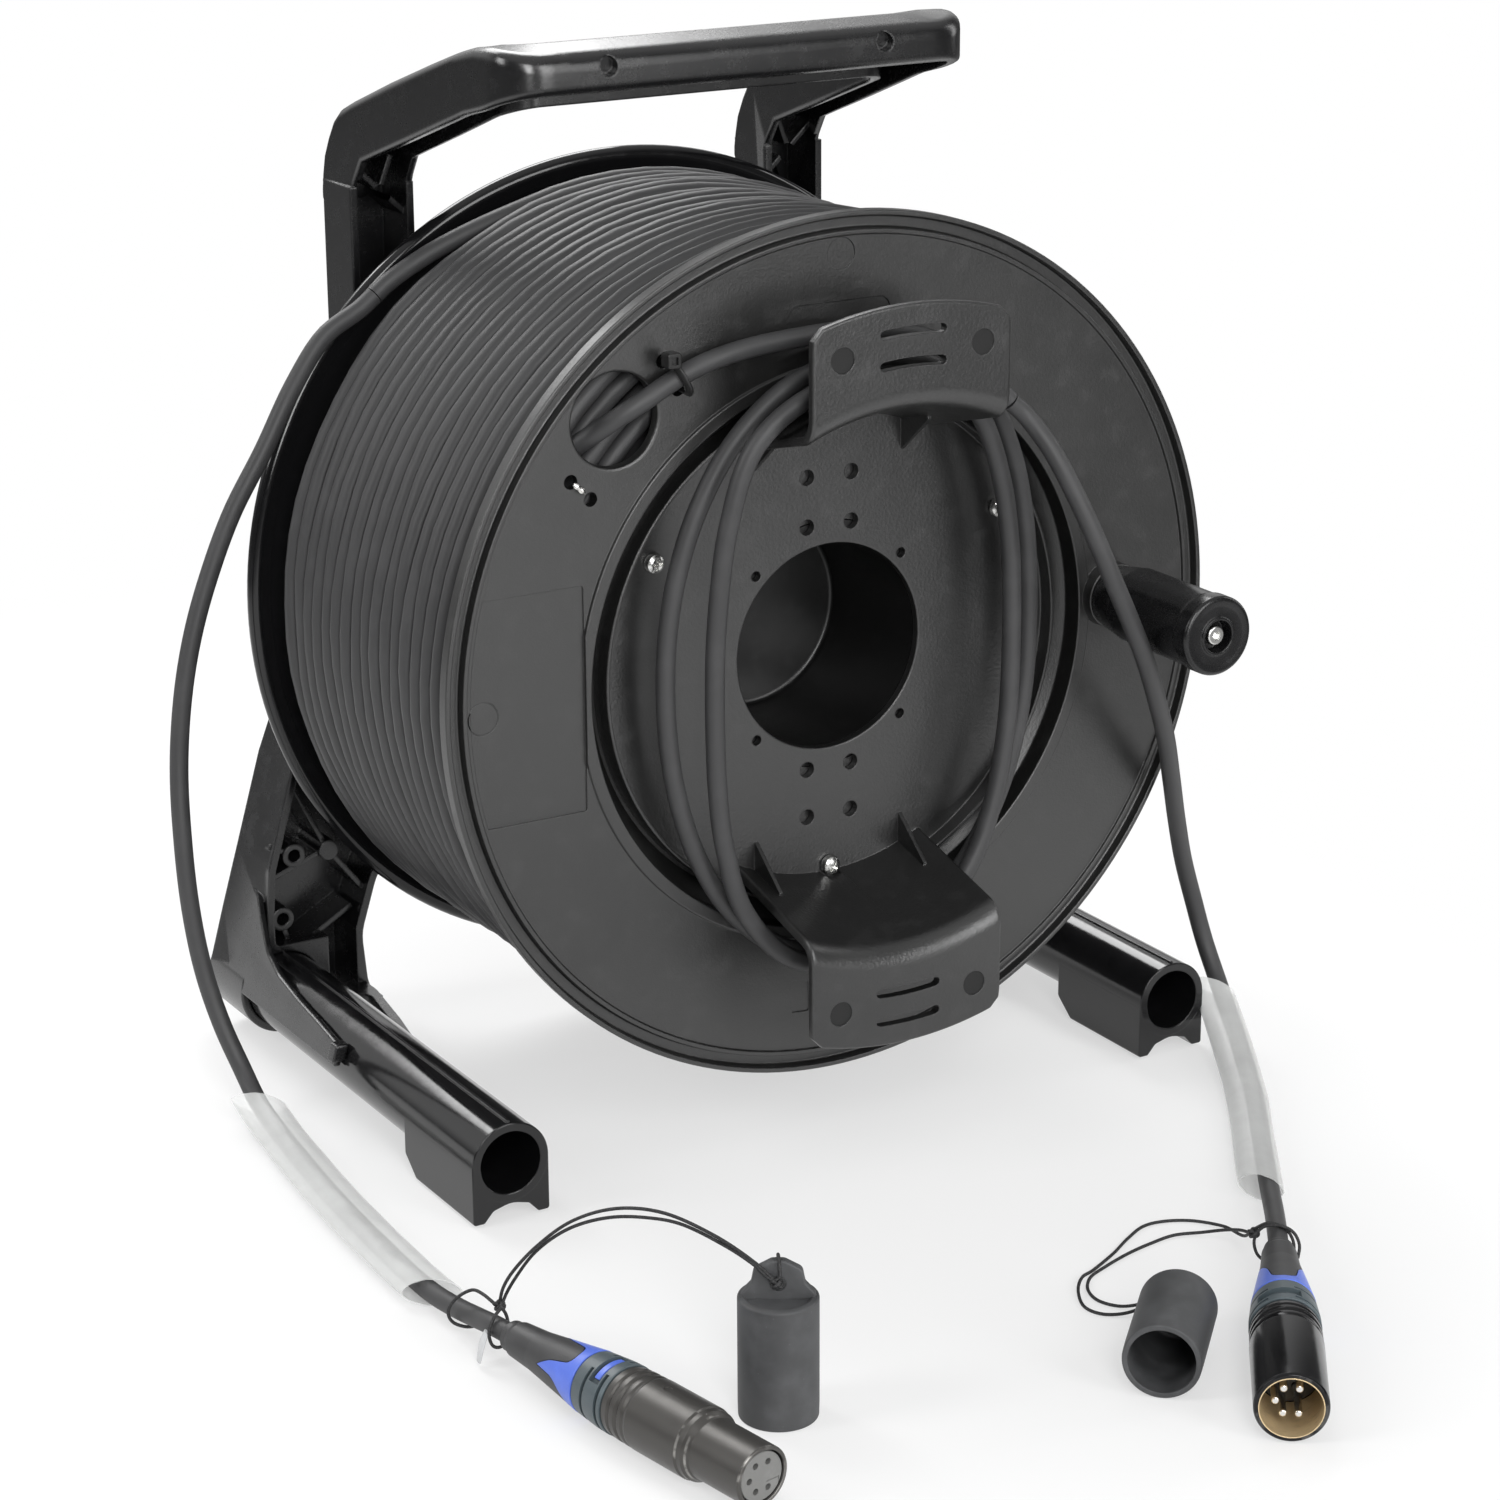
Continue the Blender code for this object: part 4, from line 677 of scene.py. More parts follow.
def turned(name: str, profile: Sequence[Pair], place: Matrix, sides: int = 96, step: float = 15.0) -> Object:
    """A profile turned about the local Z axis of a place.

    Args:
        name: the object's name.
        profile: (radius, distance along the axis) or (radius, distance, corner radius), all the way round the
            section, or from the axis back to the axis.
        place: where the turned object's own frame is.
        sides: the number of steps round it.
        step: the most degrees between the points of a rounded corner.

    Returns:
        The object.
    """
    points = rounded(profile, step)
    work = bmesh.new()
    rings = []
    for radius, along in points:
        if not radius:
            rings.append([work.verts.new((0, 0, along * MM))])
            continue
        turns = [2 * pi * side / sides for side in range(sides)]
        ring = [(radius * MM * cos(t), radius * MM * sin(t), along * MM) for t in turns]
        rings.append([work.verts.new(corner) for corner in ring])
    pairs = list(zip(rings, rings[1:]))
    if len(rings[0]) > 1:
        pairs.append((rings[-1], rings[0]))
    for one, two in pairs:
        band(work, one, two)
    obj = from_work(name, work)
    obj.matrix_world = place
    return smoothed(obj)


def smoothed(obj: Object, degrees: float = 32.0) -> Object:
    """Shade a piece smooth between its sharp edges.

    Args:
        obj: the piece.
        degrees: the angle between two faces from which their edge is sharp.

    Returns:
        The piece.
    """
    obj.data.shade_smooth()
    obj.data.set_sharp_from_angle(angle=radians(degrees))
    return obj


def worked_out(obj: Object) -> bpy.types.Mesh:
    """The mesh that a piece's modifiers or its curve come to."""
    bpy.context.view_layer.update()
    return bpy.data.meshes.new_from_object(obj.evaluated_get(bpy.context.evaluated_depsgraph_get()))


def baked(obj: Object, flat: float = 0.2) -> Object:
    """Work out a piece's modifiers into its mesh, weld it and merge its flat faces.

    Args:
        obj: the piece.
        flat: the angle in degrees up to which two faces count as one flat face.

    Returns:
        The piece.
    """
    mesh = worked_out(obj)
    work = bmesh.new()
    work.from_mesh(mesh)
    bmesh.ops.remove_doubles(work, verts=work.verts, dist=WELD)
    bmesh.ops.dissolve_limit(work, angle_limit=radians(flat), verts=work.verts, edges=work.edges)
    work.to_mesh(mesh)
    work.free()
    obj.modifiers.clear()
    obj.data = mesh
    return smoothed(obj)


def evened(obj: Object, weight: int = 80) -> None:
    """Let a piece's large faces set the shading along their edges, so that flat faces stay flat.

    Args:
        obj: the piece.
        weight: how much a large face counts, where 50 is as much as a small one.
    """
    weighted = obj.modifiers.new("weighted", "WEIGHTED_NORMAL")
    weighted.keep_sharp = True
    weighted.weight = weight
    mesh = worked_out(obj)
    obj.modifiers.clear()
    obj.data = mesh


def carved(obj: Object, *steps: tuple[str, Iterable[Object]]) -> Object:
    """Join shapes to a piece, cut them out of it or keep what they share.

    Args:
        obj: the piece.
        steps: pairs of an operation, UNION, DIFFERENCE or INTERSECT, and the shapes, in order.

    Returns:
        The piece, with the shapes used up.
    """
    used = []
    for operation, shapes in steps:
        for shape in shapes:
            boolean = obj.modifiers.new(shape.name, "BOOLEAN")
            boolean.operation = operation
            boolean.object = shape
            boolean.solver = "EXACT"
            used.append(shape)
    baked(obj)
    for shape in used:
        bpy.data.objects.remove(shape, do_unlink=True)
    return obj


PRISM_AXES = {
    Axis.X: Matrix(((0, 0, 1, 0), (1, 0, 0, 0), (0, 1, 0, 0), (0, 0, 0, 1))),
    Axis.Y: Matrix(((1, 0, 0, 0), (0, 0, -1, 0), (0, 1, 0, 0), (0, 0, 0, 1))),
    Axis.Z: Matrix.Identity(4),
}


def prism(
    name: str,
    outline: Sequence[Pair],
    axis: Axis,
    low: float,
    high: float,
    edge: float = 0.0,
    holes: Sequence[Sequence[Pair]] = (),
) -> Object:
    """A flat outline given thickness.

    Args:
        name: the object's name.
        outline: corners in (y, z), (x, z) or (x, y), each with or without a radius.
        axis: the direction of the thickness.
        low: where it starts.
        high: where it ends.
        edge: the radius of the edges round both faces.
        holes: more outlines, which are left open.

    Returns:
        The object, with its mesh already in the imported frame.
    """
    curve = bpy.data.curves.new(name, "CURVE")
    curve.dimensions = "2D"
    curve.fill_mode = "BOTH"
    curve.extrude = ((high - low) / 2 - edge) * MM
    curve.bevel_depth = edge * MM
    curve.bevel_resolution = 2
    curve.offset = -edge * MM
    for ring in (outline, *holes):
        corners = rounded(ring)
        spline = curve.splines.new("POLY")
        spline.points.add(len(corners) - 1)
        for item, corner in zip(spline.points, corners):
            item.co = (corner[0] * MM, corner[1] * MM, 0.0, 1.0)
        spline.use_cyclic_u = True
    obj = new_object(name, curve)
    middle = (low + high) / 2
    place = {Axis.X: (middle, 0, 0), Axis.Y: (0, middle, 0), Axis.Z: (0, 0, middle)}[axis]
    mesh = worked_out(obj)
    bpy.data.objects.remove(obj, do_unlink=True)
    mesh.transform(Matrix.Translation(at(*place)) @ PRISM_AXES[axis])
    work = bmesh.new()
    work.from_mesh(mesh)
    bmesh.ops.remove_doubles(work, verts=work.verts, dist=WELD)
    return smoothed(from_work(name, work))


def block(name: str, low: Pair, high: Pair) -> Object:
    """A plain box, as a tool for carving.

    Args:
        name: the object's name.
        low: its corner with the least x, y and z.
        high: its corner with the greatest.

    Returns:
        The object.
    """
    work = bmesh.new()
    bmesh.ops.create_cube(work, size=1.0)
    bmesh.ops.scale(work, vec=Vector([b - a for a, b in zip(low, high)]) * MM, verts=work.verts)
    bmesh.ops.translate(work, vec=at(*[(a + b) / 2 for a, b in zip(low, high)]), verts=work.verts)
    return from_work(name, work)


def rod(name: str, start: Pair, end: Pair, radius: float, sides: int = 32) -> Object:
    """A plain cylinder, as a tool for carving.

    Args:
        name: the object's name.
        start: the middle of one end.
        end: the middle of the other end.
        radius: its radius.
        sides: the number of steps round it.

    Returns:
        The object.
    """
    first, last = at(*start), at(*end)
    work = bmesh.new()
    sizes = {"radius1": radius * MM, "radius2": radius * MM, "depth": (last - first).length}
    bmesh.ops.create_cone(work, cap_ends=True, segments=sides, **sizes)
    turn = (last - first).to_track_quat("Z", "Y").to_matrix().to_4x4()
    bmesh.ops.transform(work, matrix=Matrix.Translation((first + last) / 2) @ turn, verts=work.verts)
    return smoothed(from_work(name, work))


def spline_through(route: Sequence[Vector], samples: int = 16) -> list[Vector]:
    """Close points on a smooth curve through the places of a route, a centripetal Catmull-Rom spline.

    Args:
        route: the places.
        samples: the number of points from one place to the next.

    Returns:
        The points in order.
    """
    places = [route[0] * 2 - route[1], *route, route[-1] * 2 - route[-2]]
    fine = []
    for index in range(1, len(places) - 2):
        p0, p1, p2, p3 = places[index - 1 : index + 3]
        t1 = sqrt((p1 - p0).length)
        t2 = t1 + sqrt((p2 - p1).length)
        t3 = t2 + sqrt((p3 - p2).length)
        for step in range(samples):
            t = t1 + (t2 - t1) * step / samples
            a1 = p0.lerp(p1, t / t1)
            a2 = p1.lerp(p2, (t - t1) / (t2 - t1))
            a3 = p2.lerp(p3, (t - t2) / (t3 - t2))
            b1 = a1.lerp(a2, t / t2)
            b2 = a2.lerp(a3, (t - t1) / (t3 - t1))
            fine.append(b1.lerp(b2, (t - t1) / (t2 - t1)))
    fine.append(places[-2])
    return fine


def evenly(points: Sequence[Vector], spacing: float) -> list[Vector]:
    """Points at equal distances along a run of close points, ends kept.

    Args:
        points: the run.
        spacing: about how far apart the new points are, in metres.

    Returns:
        The new points in order.
    """
    lengths = [0.0]
    for before, after in zip(points, points[1:]):
        lengths.append(lengths[-1] + (after - before).length)
    count = max(1, round(lengths[-1] / spacing))
    even = []
    index = 0
    for step in range(count + 1):
        wanted = lengths[-1] * step / count
        while index < len(points) - 2 and lengths[index + 1] < wanted:
            index += 1
        span = lengths[index + 1] - lengths[index]
        even.append(points[index].lerp(points[index + 1], (wanted - lengths[index]) / span))
    return even


def run_length(points: Sequence[Vector]) -> float:
    """The length of a run of points, in metres."""
    return sum((after - before).length for before, after in zip(points, points[1:]))


def wrinkle(place: Vector, size: float, seed: float) -> float:
    """Smooth noise of about -1 to 1 at a place, whose lumps have a size in millimetres."""
    return noise.noise(place / (size * MM) + Vector((seed, seed * 1.7, seed * 2.3)))


def swept(
    name: str,
    points: Sequence[Vector],
    section: Section,
    sides: int = 16,
    closed: bool = False,
    level: bool = False,
    hollow: float = 0.0,
    slant: Callable[[int, float], float] | None = None,
) -> Object:
    """A section carried along a line.

    Args:
        name: the object's name.
        points: the line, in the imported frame.
        section: gives the place (across, up) in millimetres at a point's number and an angle.
        sides: the number of places round the section.
        closed: whether the line is a ring.
        level: whether across stays level, rather than free of twist.
        hollow: the wall of an open tube in millimetres, or 0 for a solid.
        slant: gives how far a place of the section lies along the line in millimetres, if it isn't square.

    Returns:
        The object.
    """
    count = len(points)
    work = bmesh.new()
    across = Vector((0, 0, 1)).cross(points[1] - points[0])
    across = across.normalized() if across.length > 1e-9 else Vector((1, 0, 0))
    rings: list[list[bmesh.types.BMVert]] = []
    inner: list[list[bmesh.types.BMVert]] = []
    for index, point in enumerate(points):
        before = points[index - 1] if index or closed else point
        after = points[(index + 1) % count] if index < count - 1 or closed else point
        along = (after - before).normalized()
        if level:
            across = Vector((0, 0, 1)).cross(along)
        across = (across - along * across.dot(along)).normalized()
        up = along.cross(across)
        ring, hole = [], []
        for side in range(sides):
            angle = 2 * pi * side / sides
            a, b = section(index, angle)
            seat = point + along * (slant(index, angle) * MM if slant else 0.0)
            off = (across * a + up * b) * MM
            ring.append(work.verts.new(seat + off))
            if hollow:
                hole.append(work.verts.new(seat + off * (1 - hollow / max(hypot(a, b), hollow * 2))))
        rings.append(ring)
        inner.append(hole)
    for one, two in [*zip(rings, rings[1:]), *([(rings[-1], rings[0])] if closed else [])]:
        band(work, one, two)
    if hollow:
        for one, two in [*zip(inner[1:], inner), (rings[0], inner[0]), (rings[-1], inner[-1])]:
            band(work, one, two)
    elif not closed:
        work.faces.new(rings[0][::-1])
        work.faces.new(rings[-1])
    return smoothed(from_work(name, work), 50.0)


def round_section(diameter: float) -> Section:
    """The section of a round cord of a diameter in millimetres."""
    radius = diameter / 2
    return lambda index, angle: (radius * cos(angle), radius * sin(angle))


def fitted(obj: Object, finish: Finish, slot: Slot, body: Body | None, *nodes: str) -> Object:
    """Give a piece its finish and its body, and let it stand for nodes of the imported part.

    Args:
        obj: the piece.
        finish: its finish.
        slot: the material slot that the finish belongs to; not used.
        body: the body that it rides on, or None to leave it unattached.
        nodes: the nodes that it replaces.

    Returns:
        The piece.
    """
    if any(len(face.vertices) > 4 for face in obj.data.polygons):
        evened(obj)
    obj.data.materials.clear()
    obj.data.materials.append(finish.material())
    if body is not None:
        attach(obj, body.value)
    if nodes:
        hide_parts(*nodes)
    LOG.info("%s: %d faces", obj.name, len(obj.data.polygons))
    return obj


def laid(obj: Object, place: Matrix) -> Object:
    """Take a shape that was laid out about the origin to a place.

    Args:
        obj: the shape.
        place: the frame that it is meant for.

    Returns:
        The shape.
    """
    from_rim = Matrix.Translation((0.0, -RIM_Y * MM, 0.0))
    obj.data.transform(place @ from_rim @ obj.matrix_world)
    obj.matrix_world = Matrix.Identity(4)
    return obj


# The camera and the studio


@dataclass(frozen=True)
class Sight:
    """The camera, at the photograph's viewing angle."""

    place: Place = (-540.98, -856.02, 451.69)
    yaw: float = -30.776
    pitch: float = -18.379
    roll: float = -0.307
    focal: float = 3760.4
    frame_width: float = 1500.0
    sensor: float = 36.0

    def build(self) -> None:
        """Set up the scene's camera. The focal length is in pixels of the square frame."""
        yaw, pitch, roll = (radians(angle) for angle in (self.yaw, self.pitch, self.roll))
        look = Vector((-sin(yaw) * cos(pitch), cos(yaw) * cos(pitch), sin(pitch)))
        level = Vector((cos(yaw), sin(yaw), 0.0))
        over = level.cross(look)
        right = level * cos(roll) + over * sin(roll)
        up = over * cos(roll) - level * sin(roll)
        data = bpy.data.cameras.new("sight")
        data.sensor_width = self.sensor
        data.lens = self.focal / self.frame_width * self.sensor
        data.clip_start = 0.05
        data.clip_end = 80.0
        camera = new_object("sight", data)
        turn = Matrix((right, up, -look)).transposed().to_4x4()
        camera.matrix_world = Matrix.Translation(at(*self.place)) @ turn
        bpy.context.scene.camera = camera
        LOG.info("camera in place")


@dataclass(frozen=True)
class Lamp:
    """One flat soft lamp, which faces the drum."""

    name: str
    place: Place
    width: float
    height: float
    watts: float
    aim: Place = (0.0, 0.0, 0.14)

    def build(self) -> None:
        """Hang the lamp."""
        data = bpy.data.lights.new(self.name, "AREA")
        data.shape = "RECTANGLE"
        data.size = self.width
        data.size_y = self.height
        data.energy = self.watts
        lamp = new_object(self.name, data)
        aim = Vector(self.aim) - Vector(self.place)
        lamp.matrix_world = Matrix.Translation(self.place) @ aim.to_track_quat("-Z", "Y").to_matrix().to_4x4()


@dataclass(frozen=True)
class Studio:
    """A plain pale floor in a studio with soft lamps, white where the camera looks."""

    reach: float = 30.0
    paper_white: float = 0.80
    paper_grey: float = 0.12
    paper_edge: tuple[float, float] = (0.50, 0.95)
    white_edge: tuple[float, float] = (0.34, 0.60)
    white_side: tuple[float, float] = (0.15, 0.27)
    dark_side: tuple[float, float] = (0.22, 0.44)
    floor_glow: float = 0.55
    far_gloss: float = 0.05
    dim_light: float = 0.10
    back_light: float = 0.95
    top_light: float = 0.55
    lamps: tuple[Lamp, ...] = (
        Lamp("lamp_front", (0.47, -1.68, 0.66), 0.60, 1.25, 14.0),
        Lamp("lamp_left", (-0.62, -1.62, 0.85), 0.50, 1.30, 20.0),
        Lamp("lamp_back", (0.10, 1.30, 1.45), 1.60, 0.90, 30.0),
        Lamp("lamp_right", (1.60, -0.25, 0.75), 0.40, 1.20, 5.0),
        Lamp("lamp_side", (-1.70, 0.20, 1.10), 0.60, 1.00, 12.0),
    )

    def seen(self, graph: Graph) -> tuple[Wire, Wire]:
        """Whether a ray comes from the camera, and whether it comes off gloss or through clear things.

        Args:
            graph: the graph to work in.

        Returns:
            Two wires that are 1 for such a ray and 0 for another.
        """
        rays = graph.node("ShaderNodeLightPath", {}, {}).outputs
        gloss, clear = Wire(graph, rays["Is Glossy Ray"]), Wire(graph, rays["Is Transmission Ray"])
        return Wire(graph, rays["Is Camera Ray"]), gloss.sums("MAXIMUM", gloss, clear)

    def build(self) -> None:
        """Lay the floor, set the room's light and hang the lamps."""
        work = bmesh.new()
        bmesh.ops.create_grid(work, x_segments=1, y_segments=1, size=self.reach)
        floor = as_worked("floor", work)
        graph = Graph("floor_paper")
        x, y, _ = graph.coordinates()
        away, aside = (x**2.0 + y**2.0) ** 0.5, x - 0.1 * y
        far = away.sums("MAXIMUM", away.rising(*self.paper_edge), aside.rising(*self.dark_side))
        white = away.sums("MAXIMUM", away.rising(*self.white_edge), aside.rising(*self.white_side))
        paper = graph.mixed(far, (self.paper_white,) * 3, (self.paper_grey,) * 3)
        graph.surface(base_color=paper, roughness=0.9, specular_ior_level=0.1)
        glow = graph.node("ShaderNodeEmission", {}, {"Color": (1, 1, 1, 1), "Strength": 1.0})
        straight, mirrored = self.seen(graph)
        share = straight * (self.floor_glow + (1.0 - self.floor_glow) * white)
        share = share + mirrored * (self.floor_glow + (self.far_gloss - self.floor_glow) * far)
        shaders = {0: share, 1: graph.shader.outputs[0], 2: glow.outputs[0]}
        both = graph.node("ShaderNodeMixShader", {}, shaders)
        graph.feed(graph.tree.nodes["Material Output"].inputs["Surface"], both.outputs[0])
        floor.data.materials.append(graph.material)
        self.room()
        for lamp in self.lamps:
            lamp.build()
        bpy.context.scene.view_settings.view_transform = "Standard"
        LOG.info("studio in place")

    def room(self) -> None:
        """A dim room that is white behind the drum and to the camera, and lighter above."""
        world = bpy.data.worlds.new("room")
        world.use_nodes = True
        bpy.context.scene.world = world
        graph = Graph("room", world.node_tree)
        _, back, height = graph.coordinates()
        behind = back.rising(0.35, 0.8) * height.rising(-0.1, 0.25)
        light = self.dim_light + (self.back_light - self.dim_light) * behind
        light = light + self.top_light * height.rising(0.5, 0.95)
        straight, _ = self.seen(graph)
        background = world.node_tree.nodes["Background"]
        graph.feed(background.inputs["Color"], (1, 1, 1, 1))
        graph.feed(background.inputs["Strength"], light + (1.0 - light) * straight)


# The cable: its free ends, its winding and its storage wraps

# Where each lead leaves the drum and which way, and at what angle the outer one leaves the winding.
OUTER_END = at(-84.0, 122.0, AXLE_Z + 90.35)
OUTER_WAY = Vector((-0.80, 0.02, -0.60)).normalized()
INNER_END = at(41.0, -20.0, AXLE_Z + 71.65)
INNER_WAY = Vector((0.72, -0.16, -0.68)).normalized()
TAIL_ANGLE = 108.0


def plug_place(x: float, y: float, way: Pair) -> Matrix:
    """The place of a plug on the floor: local Z runs along it, local X points up, local Y to its left.

    Args:
        x: where its rear end is.
        y: where its rear end is, from the rim plane.
        way: the direction from its rear to its face, seen from above.

    Returns:
        The place.
    """
    along = Vector((*way, 0.0)).normalized()
    up = Vector((0.0, 0.0, 1.0))
    turn = Matrix((up, along.cross(up), along)).transposed().to_4x4()
    return Matrix.Translation(at(x, y, PLUG_Z)) @ turn


# The way from each plug's rear to its face, and where the plug lies.
FEMALE_WAY = (0.177, -0.984)
MALE_WAY = (-0.594, -0.805)
FEMALE = plug_place(-153.6, -85.8, FEMALE_WAY)
MALE = plug_place(43.0, -148.8, MALE_WAY)

OUTER_ROUTE = (
    (-100, 122.5, 224), (-110.5, 122, 211), (-121.5, 121, 193), (-132.5, 120, 176.5), (-140.5, 119, 160.5),
    (-147, 118, 144), (-151.5, 117.5, 126), (-154.5, 116.5, 104), (-156, 113, 83), (-155.5, 111, 62),
    (-153.5, 108.5, 43), (-150.5, 104, 27), (-147.5, 97.5, 14.5), (-147, 88, 7.4), (-148, 72, 4.6),
    (-151, 44, 4.2), (-153, 23, 4.2), (-155, -10, 4.2), (-155.8, -43.5, 4.4), (-155, -57, 5.4),
    (-154.6, -70, 7.6),
)
INNER_ROUTE = (
    (50.3, -27, 202), (55, -33, 189), (59.5, -36.5, 177), (64.5, -38, 165), (71.2, -37, 152.6),
    (79.5, -33.6, 138.9), (89, -27.2, 123.7), (99.1, -19.2, 107.4), (108.6, -10.2, 90.4), (117.4, -2, 73.2),
    (125.2, 4.1, 56.7), (131.6, 6.6, 41.4), (135.1, 5, 28), (135, -2.5, 17.2), (130.5, -15.5, 9.7),
    (121, -34, 5.8), (107.5, -56.6, 4.4), (91, -80.7, 4.4), (73.7, -105.7, 5.2), (57.6, -128.9, 7.6),
)


@dataclass(frozen=True)
class Lead:
    """One free end of the cable, from the drum over its sleeve to its plug."""

    kind: str
    plug: str
    start: Vector
    start_way: Vector
    route: tuple[Place, ...]
    plug_at: Matrix
    plug_way: Spot
    stays_below: float
    sleeve_from: Place
    sleeve_to: Place
    spacing: float = 3.0
    sleeve_half_width: float = 7.2
    sleeve_aside: float = 0.0
    sleeve_half_height: float = 3.8
    sleeve_wall: float = 0.3
    sleeve_slant: float = 0.55
    sleeve_slant_steps: float = 4.0

    def path(self) -> list[Vector]:
        """The cable's line, straight for a little at both ends.

        Returns:
            Points at even distances, from the drum to the plug.
        """
        direction = Vector((*self.plug_way, 0.0)).normalized()
        end = self.plug_at.translation - direction * GAP * MM
        start = self.start + self.start_way * GAP * MM
        straight = CABLE_D * STRAIGHT * MM
        first, last = start + self.start_way * straight, end - direction * straight
        places = [at(*place) for place in self.route]
        middle = evenly(spline_through([start, first, *places, last, end]), self.spacing * MM)
        kept = [p for p in middle if (p - start).length > 2 * straight and (p - end).length > 2 * straight]
        return evenly(spline_through([start, first, *kept, last, end], 4), self.spacing * MM)

    def build(self) -> None:
        path = self.path()
        cable = swept(f"{self.kind}_lead_cable", path, round_section(CABLE_D), 24)
        fitted(cable, CABLE, Slot.CABLE, None, f"{self.kind}_lead")
        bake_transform(cable)
        sleeve = self.sleeve(path)
        run_length(path)
        LOG.info("%s lead: %.0f mm long", self.kind, run_length(path) / MM)

    def sleeve(self, path: Sequence[Vector]) -> Object:
        """The lay-flat sleeve round part of the cable, with creased edges and slanting ends.

        Args:
            path: the cable's line.

        Returns:
            The sleeve.
        """
        near = []
        for place in (self.sleeve_from, self.sleeve_to):
            distances = [(point - at(*place)).length for point in path]
            near.append(distances.index(min(distances)))
        points = list(path[min(near) : max(near) + 1])
        last = len(points) - 1

        def section(index: int, angle: float) -> Spot:
            """A lens that narrows and widens a little along the sleeve.

            Args:
                index: the number of the point along the sleeve.
                angle: the angle round it.

            Returns:
                The place across and up.
            """
            swell = 1.0 + 0.05 * wrinkle(points[index], 22.0, 3.0)
            dent = 1.0 + 0.06 * wrinkle(points[index], 9.0, 7.0 + cos(angle))
            lens = copysign(abs(sin(angle)) ** 1.3, sin(angle))
            across = self.sleeve_aside + self.sleeve_half_width * (2.0 - swell) * cos(angle)
            return across, self.sleeve_half_height * swell * dent * lens

        def slant(index: int, angle: float) -> float:
            """How far the places near the ends lie along the cable."""
            share = max(0.0, 1.0 - min(index, last - index) / self.sleeve_slant_steps)
            return self.sleeve_slant * self.sleeve_half_width * cos(angle) * share

        name = f"{self.kind}_sleeve"
        sleeve = swept(name + "_film", points, section, 40, level=True, hollow=self.sleeve_wall, slant=slant)
        return fitted(sleeve, FILM, Slot.SLEEVE, Body.FRAME, name)


OUTER_LEAD = Lead(
    "outer", "female", OUTER_END, OUTER_WAY, OUTER_ROUTE, FEMALE, FEMALE_WAY,
    40.0, (-147.0, 88.0, 7.4), (-155.8, -43.5, 4.4),
)
INNER_LEAD = Lead(
    "inner", "male", INNER_END, INNER_WAY, INNER_ROUTE, MALE, MALE_WAY,
    26.0, (134.6, -5.0, 15.5), (70.5, -110.5, 5.8), sleeve_half_width=6.3, sleeve_aside=-2.3,
)


